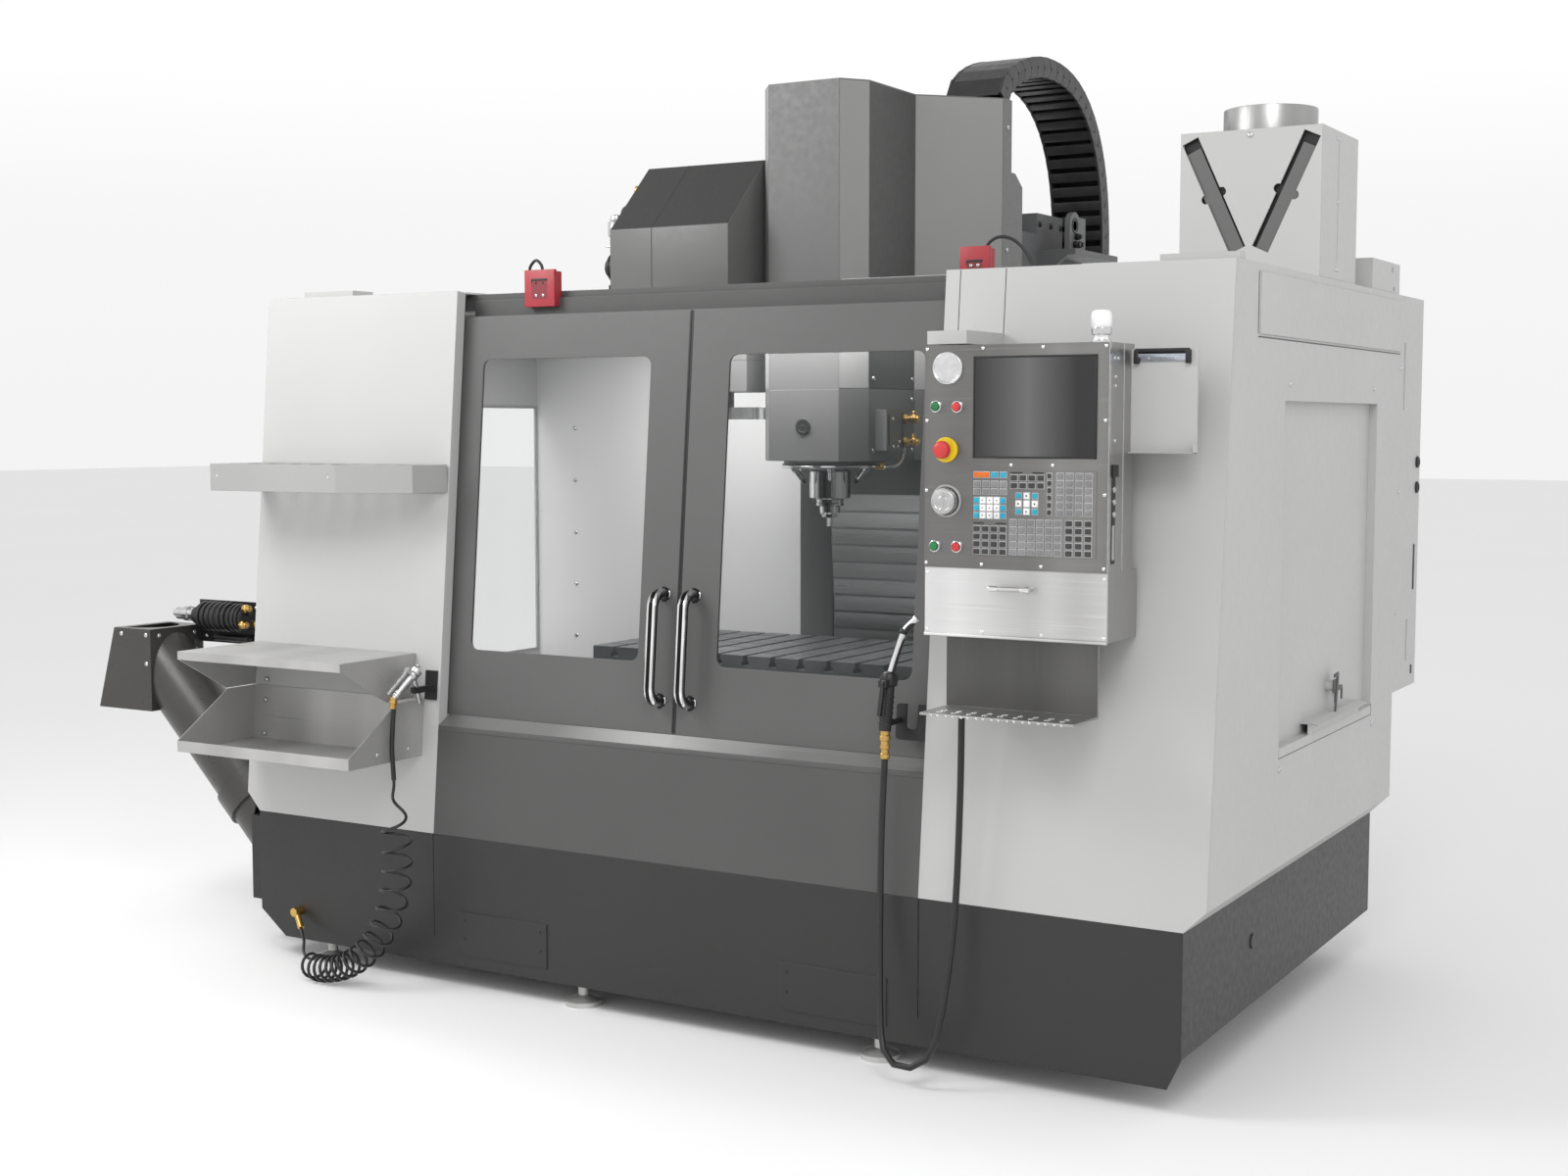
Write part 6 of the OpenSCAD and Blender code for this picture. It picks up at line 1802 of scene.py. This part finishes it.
@dataclass
class Guns:
    """Couplings and rings of the wash gun and the air gun, and the wash gun's bright wand."""

    wand_r: float = 8.7
    wand: tuple[Point, ...] = ((743.5, -0.6, 1062), (756, 7, 1110), (773.5, 17, 1171), (784, 21, 1190),
                               (803.6, 24.2, 1208))
    wand_aim: Point = (28, 6, 30)
    wash_foot: Point = (742, -25, 838)
    wash_grip: Point = (740, -21, 914)
    wash_top: Point = (742, -2, 1045)
    air_tail: Point = (-870, -126, 902)
    air_head: Point = (-843, -69, 968)

    def wash(self) -> None:
        """Builds the wash gun's stepped coupling, wand, grip ribs and collar."""
        coupling = Shell("wash_coupling")
        grip_foot, end = Vector(self.wash_grip), Vector(self.wash_foot)
        coupling.lathe([(-2, 13), (10, 13), (12, 15), (24, 15), (26, 11.5), (36, 11.5), (36, 14), (46, 14),
                        (48, 11), (58, 11), (60, 13.5), (72, 13.5), (74, 11), (74, 0)],
                       grip_foot, end - grip_foot, 20)
        coupling.piece(BRASS, "frame", "brass")
        wand = Shell("wash_wand")
        wand.tube(smooth_line(self.wand, 26), self.wand_r, 14)
        wand.lathe([(0, 10), (8, 10.5), (10, 9.4), (10, 0)], self.wand[-1], self.wand_aim, 14)
        wand.piece(CHROME, "frame", "gun_metal")
        grip = Shell("wash_grip_ribs")
        axis = Vector(self.wash_top) - grip_foot
        for k in range(6):
            base = grip_foot + axis * (0.12 + 0.11 * k)
            grip.lathe([(0, 15.5), (1, 17.8), (7, 17.8), (8, 15.5)], base, axis, 20)
        collar = Vector(self.wash_top) - axis.normalized() * 14
        grip.lathe([(0, 14), (4, 22), (22, 24), (34, 20), (40, 12)], collar, axis, 20)
        grip.piece(BLACK_PLASTIC, "frame", "gun_black")

    def air(self) -> None:
        """Builds the air gun's coupling, rings and end cap."""
        tail, head = Vector(self.air_tail), Vector(self.air_head)
        axis = head - tail
        brass = Shell("air_coupling")
        brass.lathe([(-4, 11), (6, 11), (8, 13), (16, 13), (18, 10), (24, 10), (26, 12), (32, 12)], tail,
                    Vector((0, -4, -22)), 18)
        brass.piece(BRASS, "frame", "brass")
        metal = Shell("air_gun_rings")
        for share in (0.06, 0.16, 0.9):
            metal.lathe([(0, 12.5), (1.5, 15), (7, 15), (8.5, 12.5)], tail + axis * share, axis, 22)
        metal.lathe([(0, 17.4), (4, 18), (12, 18), (16, 13), (18, 6), (18, 0)],
                    head + axis.normalized() * 8, axis, 24)
        metal.piece(BRIGHT, "frame", "gun_metal")

    def build(self) -> None:
        """Builds both guns' small parts."""
        self.wash()
        self.air()


@dataclass(frozen=True)
class KeyBlock:
    """Rows and columns of equal keys."""

    left: float
    top: float
    columns: int
    rows: int
    pitch: Pair = (23.6, 18.7)
    size: Pair = (17.0, 13.2)

    def centres(self) -> list[Pair]:
        """Middles of the keys as (X, Z)."""
        return [(self.left + self.pitch[0] * c, self.top - self.pitch[1] * r)
                for c in range(self.columns) for r in range(self.rows)]


@dataclass(frozen=True)
class PushButton:
    """A push button: its body, its middle on the face, its cap's finish and its slot."""

    body: str
    place: Pair
    finish: Finish
    slot: str


@dataclass
class Control:
    """Keys, buttons, screen frame, trims, beacon and clipboard of the control."""

    front: float = -146.0
    x: Pair = (915.0, 1405.0)
    z: Pair = (1365.0, 1920.0)
    plate_x: Pair = (1050.0, 1377.0)
    plate_z: Pair = (1398.0, 1610.0)
    screen_x: Pair = (1049.0, 1375.0)
    screen_z: Pair = (1640.0, 1891.0)
    frame_w: float = 4.5
    digits: tuple[float, float, int, int, Pair] = (1077, 1535.8, 3, 3, (19.4, 18.7))
    arrows: tuple[Pair, ...] = ((1195, 1548.5), (1195, 1509.7), (1173.5, 1529), (1217, 1529))
    key_bars: tuple[tuple[float, float, float], ...] = ((1052, 1080, 1479), (1112, 1140, 1479),
                                                        (1152, 1183, 1605), (1209, 1239, 1605))
    push_buttons: tuple[PushButton, ...] = (
        PushButton("power_on", (947, 1768), CAP_GREEN, "button_green"),
        PushButton("power_off", (1006, 1767), CAP_RED, "button_red"),
        PushButton("cycle_start", (946, 1418), CAP_GREEN, "button_green"),
        PushButton("feed_hold", (1007, 1418), CAP_RED, "button_red"))
    button_h: float = 11.6
    disc_xz: Pair = (977.7, 1863.0)
    stop_xz: Pair = (976.0, 1660.0)
    dial_xz: Pair = (977.0, 1532.0)
    dial_r: float = 33.0
    dial_ribs: int = 24
    face_screws: tuple[Pair, ...] = (
        (921, 1911), (1074, 1911), (1234, 1911), (1397, 1911), (921, 1733), (1397, 1733), (921, 1558),
        (1397, 1554), (921, 1376), (1074, 1376), (1234, 1376), (1397, 1376), (1152, 1624), (1262, 1624))
    side_screws: tuple[Pair, ...] = ((-112, 1882), (-88, 1882), (-104, 1838), (-104, 1816), (-104, 1684))
    flap_screws: tuple[Pair, ...] = ((921, 1350), (1397, 1350), (921, 1206), (1074, 1206), (1234, 1206),
                                     (1397, 1206))
    flap_y: float = -140.4
    tray_x: Pair = (941.0, 1355.0)
    tray_holes: int = 9
    hole_y: Pair = (-190, -160)
    tray_z: Pair = (998.0, 1004.0)
    tray_front: float = -220.0
    tray_back_y: Pair = (-67.4, -65.4)
    tray_back_top: float = 1194.0
    port_z: tuple[float, ...] = (1566, 1536, 1506)
    grip_ends: tuple[Pair, ...] = ((1106, 1), (1210, -1))
    grip_yz: Pair = (-166.0, 1318.0)
    clip: tuple[Pair, ...] = ((1, 1876), (-5, 1877), (-13, 1888), (-13, 1893), (-3, 1902), (1, 1902))
    clip_x: Pair = (1424.0, 1548.0)
    roller_x: Pair = (1418.0, 1555.0)
    roller_yz: Pair = (-8.0, 1903.0)
    lip_x: Pair = (1406.0, 1574.0)
    lip_y: Pair = (-24.0, 2.0)
    lip_z: Pair = (1653.0, 1680.0)
    beacon_at: Point = (1350, -60, 1920)
    dome: tuple[Pair, ...] = ((0, 4.6), (1.2, 4.4), (2.6, 2.8), (3.1, 0))
    rim: tuple[Pair, ...] = ((-0.4, 6.2), (0.8, 6.6), (1.2, 7.6), (0.6, 8.6), (-0.4, 8.8))
    stud: tuple[Pair, ...] = ((0, 4.2), (2.2, 4), (3.8, 2.4), (4.2, 0))

    def seat(self, place: Pair) -> Point:
        """Point of the face at (X, Z)."""
        return (place[0], self.front, place[1])

    def keys(self) -> None:
        """Builds the keyboard in colour groups on one plate."""
        plate = Shell("keypad_plate")
        plate.box(self.plate_x, (self.front - 1.0, self.front), self.plate_z, 0.5, 1)
        plate.piece(FACE_STEEL, "pendant", "keys", replaces=("keypad",))
        groups: list[tuple[str, Finish, list[KeyBlock]]] = [
            ("keys_grey", KEY_GREY, [
                KeyBlock(1061, 1576.4, 4, 2), KeyBlock(1282.4, 1598, 4, 6, (24.8, 17.8)),
                KeyBlock(1159, 1483, 6, 5, (23.7, 18.3))]),
            ("keys_dark", KEY_DARK, [
                KeyBlock(1061, 1465, 4, 4, (23.6, 18.9)), KeyBlock(1160.7, 1592.5, 4, 2, (23.6, 19)),
                KeyBlock(1306.6, 1483, 3, 5, (24.9, 18.3)),
                KeyBlock(1254.7, 1598, 1, 6, (24, 17.8), (10.5, 12))]),
            ("keys_cyan", KEY_CYAN, [
                KeyBlock(1108, 1599, 2, 1), KeyBlock(1061, 1535.8, 1, 3, size=(15, 13)),
                KeyBlock(1131.5, 1535.8, 1, 3, size=(15, 13)),
                KeyBlock(1173.5, 1548.5, 2, 2, (43.5, 38.8), (14, 13))]),
            ("keys_white", KEY_WHITE, [
                KeyBlock(*self.digits, (15.5, 15.5)), KeyBlock(1195, 1548.5, 1, 2, (20, 38.8), (15, 15)),
                KeyBlock(1173.5, 1529, 3, 1, (21.7, 19), (15, 15))]),
            ("keys_orange", KEY_ORANGE, [KeyBlock(1073, 1599, 1, 1, size=(41, 13.5))])]
        rims = Shell("key_rims")
        for name, finish, blocks in groups:
            shell = Shell(name)
            for block in blocks:
                w, h = block.size[0] / 2, block.size[1] / 2
                for cx, cz in block.centres():
                    shell.box((cx - w, cx + w), (self.front - 4.2, self.front), (cz - h, cz + h), 1.6, 2)
                    rims.box((cx - w - 1.6, cx + w + 1.6), (self.front - 1.9, self.front),
                             (cz - h - 1.6, cz + h + 1.6), 0.7, 1)
            shell.piece(finish, "pendant", "keys")
        rims.piece(KEY_RIM, "pendant", "keys")
        marks = Shell("key_bars")
        for x0, x1, mz in self.key_bars:
            marks.box((x0, x1), (self.front - 2.0, self.front), (mz - 1.6, mz + 1.6), 0.4, 1)
        for cx, cz in KeyBlock(*self.digits).centres():
            marks.lathe([(0, 2.6), (0.5, 2.6), (0.5, 0)], (cx, self.front - 4.1, cz), FRONT, 3)
        for cx, cz in self.arrows:
            marks.lathe([(0, 2.8), (0.5, 2.8), (0.5, 0)], (cx, self.front - 4.1, cz), FRONT, 4)
        marks.piece(BLACK_PLASTIC, "pendant", "keys")

    def screen(self) -> None:
        """Builds the black frame round the screen."""
        shell = Shell("screen_frame")
        (x0, x1), (z0, z1), w = self.screen_x, self.screen_z, self.frame_w
        for x, z in (((x0, x1), (z0, z0 + w)), ((x0, x1), (z1 - w, z1)), ((x0, x0 + w), (z0, z1)),
                     ((x1 - w, x1), (z0, z1))):
            shell.box(x, (self.front - 3.6, self.front), z, 1.2, 2)
        shell.piece(BLACK_PLASTIC, "pendant", "screen")

    def buttons(self) -> None:
        """Builds bezels, caps, the stop's ring and mushroom, the dial and the bright disc."""
        bezels = Shell("button_bezels")
        for button in self.push_buttons:
            x, z = button.place
            bezels.lathe([(-0.5, 16.2), (3, 16.2), (7, 14.6), (8, 13), (8, 11.9), (-0.5, 11.9)],
                         (x, self.front, z), FRONT, 32, ring=True)
            cap = Shell(f"{button.body}_cap")
            cap.lathe([(0, 11.2), (0.8, 11.2), (2.4, 9.6), (3.2, 6), (3.4, 0)],
                      (x, self.front - self.button_h, z), FRONT, 28)
            cap.piece(button.finish, button.body, button.slot)
        bezels.lathe([(-0.5, 41), (3, 41), (5, 39.5), (5, 36), (3, 35), (3, 0)], self.seat(self.disc_xz),
                     FRONT, 48)
        bezels.piece(CHROME, "pendant", "chrome")
        ring = Shell("stop_ring")
        ring.lathe([(-0.5, 31.5), (7.2, 31.5), (8.2, 30), (8.2, 12.5), (-0.5, 12.5)],
                   self.seat(self.stop_xz), FRONT, 40, ring=True)
        ring.piece(CAP_YELLOW, "pendant", "button_green")
        stop = Shell("stop_mushroom")
        stop.lathe([(13, 11.4), (18, 11.6), (20, 20), (23, 22), (33, 22), (37, 20), (39.4, 15), (40.4, 8),
                    (40.6, 0)],
                   self.seat(self.stop_xz), FRONT, 40)
        stop.piece(CAP_RED, "emergency_stop", "stop_red")
        dial = Shell("jog_dial")
        dial.lathe([(1, 33), (16, 33), (20, 31.5), (25, 29), (25.4, 24), (24.6, 23), (24.6, 13), (26, 12),
                    (26, 0)],
                   self.seat(self.dial_xz), FRONT, 48)
        for k in range(self.dial_ribs):
            turn = 2 * math.pi * k / self.dial_ribs
            x = self.dial_xz[0] + self.dial_r * math.cos(turn)
            z = self.dial_xz[1] + self.dial_r * math.sin(turn)
            dial.box((x - 1, x + 1), (self.front - 16, self.front - 2), (z - 1, z + 1), 0.5, 1)
        dial.lathe([(24, 6.5), (31, 6), (33, 3.5), (33, 0)], (970, self.front, 1511), FRONT, 20)
        dial.piece(BRIGHT, "jog_wheel", "jog_black")
        base = Shell("jog_base")
        base.lathe([(-0.5, 42), (2, 42), (4.5, 40.5), (5, 38.5), (4.5, 36), (-0.5, 35.6)],
                   self.seat(self.dial_xz), FRONT, 48, ring=True)
        base.piece(STAINLESS, "pendant", "chrome")

    def screws(self) -> None:
        """Sets dome screws round the face, the flap and the right side, and the ends of the flap's grip."""
        face = Shell("face_screws")
        for place in self.face_screws:
            face.lathe(self.dome, self.seat(place), FRONT, 14)
        for y, z in self.side_screws:
            face.lathe([(0, 4.2), (1.2, 4.0), (2.4, 2.6), (2.9, 0)], (self.x[1], y, z), RIGHT, 14)
        face.piece(CHROME, "pendant", "chrome")
        flap = Shell("flap_screws")
        for x, z in self.flap_screws:
            flap.lathe(self.dome, (x, self.flap_y, z), FRONT, 14)
        for x, side in self.grip_ends:
            flap.lathe([(-2, 0), (-2, 7.6), (2, 8.4), (12, 7.4), (22, 6.3)], (x, *self.grip_yz),
                       (side, 0, 0), 20)
        flap.piece(CHROME, "storage_door", "chrome")

    def side(self) -> None:
        """Builds the bright edge strips and the card slot of the right side."""
        strip = Shell("case_edge_strips")
        strip.box((self.x[1] - 0.5, self.x[1] + 1.4), (self.front, self.front + 14),
                  (self.z[0] + 1, self.z[1] - 1), 0.6, 1)
        strip.box((self.x[1] - 0.5, self.x[1] + 1.2), (-50, -46), (self.z[0] + 1, self.z[1] - 1), 0.5, 1)
        strip.piece(BRIGHT, "pendant", "case_paint")
        slot = Shell("card_slot")
        slot.box((self.x[1] - 0.5, self.x[1] + 1.0), (-122, -98), (1386, 1618), 0.5, 1)
        slot.box((self.x[1] - 0.5, self.x[1] + 7), (-124, -92), (1596, 1626), 2.5, 2)
        slot.piece(BLACK_PLASTIC, "pendant", "jog_black")
        ports = Shell("card_ports")
        for z in self.port_z:
            ports.lathe([(0, 8), (2.5, 8), (3, 6), (1.4, 5), (1.4, 0)], (self.x[1] + 0.8, -110, z), RIGHT,
                        18)
        ports.box((self.x[1], self.x[1] + 2.2), (-117, -103), (1395, 1480), 1, 1)
        ports.piece(BRIGHT, "pendant", "chrome")

    def tray(self) -> None:
        """Builds bright rims on the tray's holes and studs along its front edge."""
        shell = Shell("tray_rims")
        left, right = self.tray_x
        low, high = self.tray_z
        for k in range(self.tray_holes):
            x = left + (k + 1) * (right - left) / (self.tray_holes + 1)
            for y in self.hole_y:
                shell.lathe(self.rim, (x, y, high), UP, 18)
                shell.lathe(self.rim, (x, y, low), DOWN, 18)
            for off in (-9, 9):
                shell.lathe(self.stud, (x + off, self.tray_front, low + 2), FRONT, 12)
        shell.piece(CHROME, "pendant", "chrome")
        back = Shell("tray_back_sheet")
        back.box((left + 1, right - 1), self.tray_back_y, (high + 1, self.tray_back_top), 0.5, 1)
        back.piece(TRAY_STEEL, "pendant", "case_paint")

    def beacon(self) -> None:
        """Builds the beacon's bright foot and white lens."""
        lens = Shell("beacon_lens")
        lens.lathe([(40, 24.5), (46, 25.5), (68, 25.5), (76, 23.5), (80.5, 17), (81, 0)], self.beacon_at,
                   UP, 36)
        lens.piece(LENS_WHITE, "pendant", "beacon_white", replaces=("beacon",))
        foot = Shell("beacon_foot")
        foot.lathe([(0, 26), (6, 26), (8, 22), (14, 20.5), (20, 20.5), (22, 25), (36, 25.8), (38, 24),
                    (41, 23.6)],
                   self.beacon_at, UP, 36)
        foot.piece(CHROME, "pendant", "chrome")

    def clipboard(self) -> None:
        """Builds the clip, its roller and the folded lip."""
        clip = Shell("clip_spring")
        clip.prism(self.clip, Axis.X, self.clip_x, 1.2, 2)
        for x in (self.clip_x[0] + 28, self.clip_x[1] - 28):
            clip.lathe([(0, 3.6), (1.4, 3.4), (2, 0)], (x, -9.5, 1884), (0, -1, -0.4), 12)
        clip.piece(CLIP_BLUE, "pendant", "clip_steel")
        roller = Shell("clip_roller")
        roller.tube([(x, *self.roller_yz) for x in self.roller_x], 4.5, 14)
        for x in (self.roller_x[0] + 3, self.roller_x[1] - 3):
            roller.box((x - 6, x + 6), (-14, 1), (1870, 1904), 2.5, 2)
        roller.piece(BLACK_PLASTIC, "pendant", "clip_steel")
        lip = Shell("clip_lip")
        lip.box(self.lip_x, self.lip_y, (self.lip_z[0], self.lip_z[0] + 3), 1, 1)
        lip.box((self.lip_x[1] - 3, self.lip_x[1]), self.lip_y, self.lip_z, 1, 1)
        lip.piece(COAT_WHITE, "pendant", "clip_steel")

    def build(self) -> None:
        """Builds the control's small parts."""
        for step in (self.keys, self.screen, self.buttons, self.screws, self.side, self.tray, self.beacon,
                     self.clipboard):
            step()


@dataclass
class Dressing:
    """Finishes of the solids that stay as they are."""

    def build(self) -> None:
        """Dresses every solid that is seen."""
        dress(FOOT_STEEL, "levelling_feet")
        dress(COAT_CHARCOAL, "chip_pan")
        dress(COAT_IRON, "machine_bed", "column")
        dress(COAT_WHITE, "left_front_panel", "right_front_panel", "left_side_panel", "right_side_panel",
              "rear_cabinet", "exhaust_duct")
        dress(COAT_LINER, "liner")
        dress(COAT_HEADER, "door_header")
        dress(SILL_STEEL, "door_sill")
        dress(COAT_LOWER, "lower_front_panel")
        dress(COAT_DOOR, "left_door", "right_door")
        dress(GLASS, "left_window", "right_window", "left_side_window")
        dress(SADDLE_IRON, "saddle")
        dress(TABLE_IRON, "table")
        dress(COAT_COVER, "head_casting", "head_cover")
        dress(BRIGHT, "spindle", "tool_arm", "air_gun_lever", "auger_screw", "jog_wheel")
        dress(COAT_AUGER, "auger_tube", "discharge_hood")
        dress(BLACK_PLASTIC, "auger_motor", "gun_brackets", "wash_gun", "wash_gun_trigger")
        dress(COAT_RACK, "tool_rack")
        dress(STAINLESS, "work_shelf", "parts_bin")
        dress(GUN_METAL, "air_gun")
        dress(BRASS, "brass_fittings")
        dress(COAT_WHITE, "pendant_arm", "clipboard")
        dress(CASE_STEEL, "pendant_case")
        dress(FLAP_STEEL, "storage_door")
        dress(FACE_STEEL, "pendant_face")
        dress(SCREEN, "pendant_screen")
        dress(CAP_GREEN, "power_on", "cycle_start")
        dress(CAP_RED, "power_off", "feed_hold", "emergency_stop")


def main() -> None:
    """Builds the stage, the hoses and the sub-assemblies in order."""
    logging.basicConfig(level=logging.INFO, format="%(message)s")
    parts = (Stage(), Hoses(), Dressing(), CableChain(), WayCover(), Enclosure(), Doors(), Head(),
             ToolChanger(), Exhaust(), ChainLedge(), DoorSwitches(), ChipAuger(), FrontFurniture(), Guns(),
             Control())
    for part in parts:
        part.build()
        LOG.info("built %s", type(part).__name__)


if __name__ == "__main__":
    main()
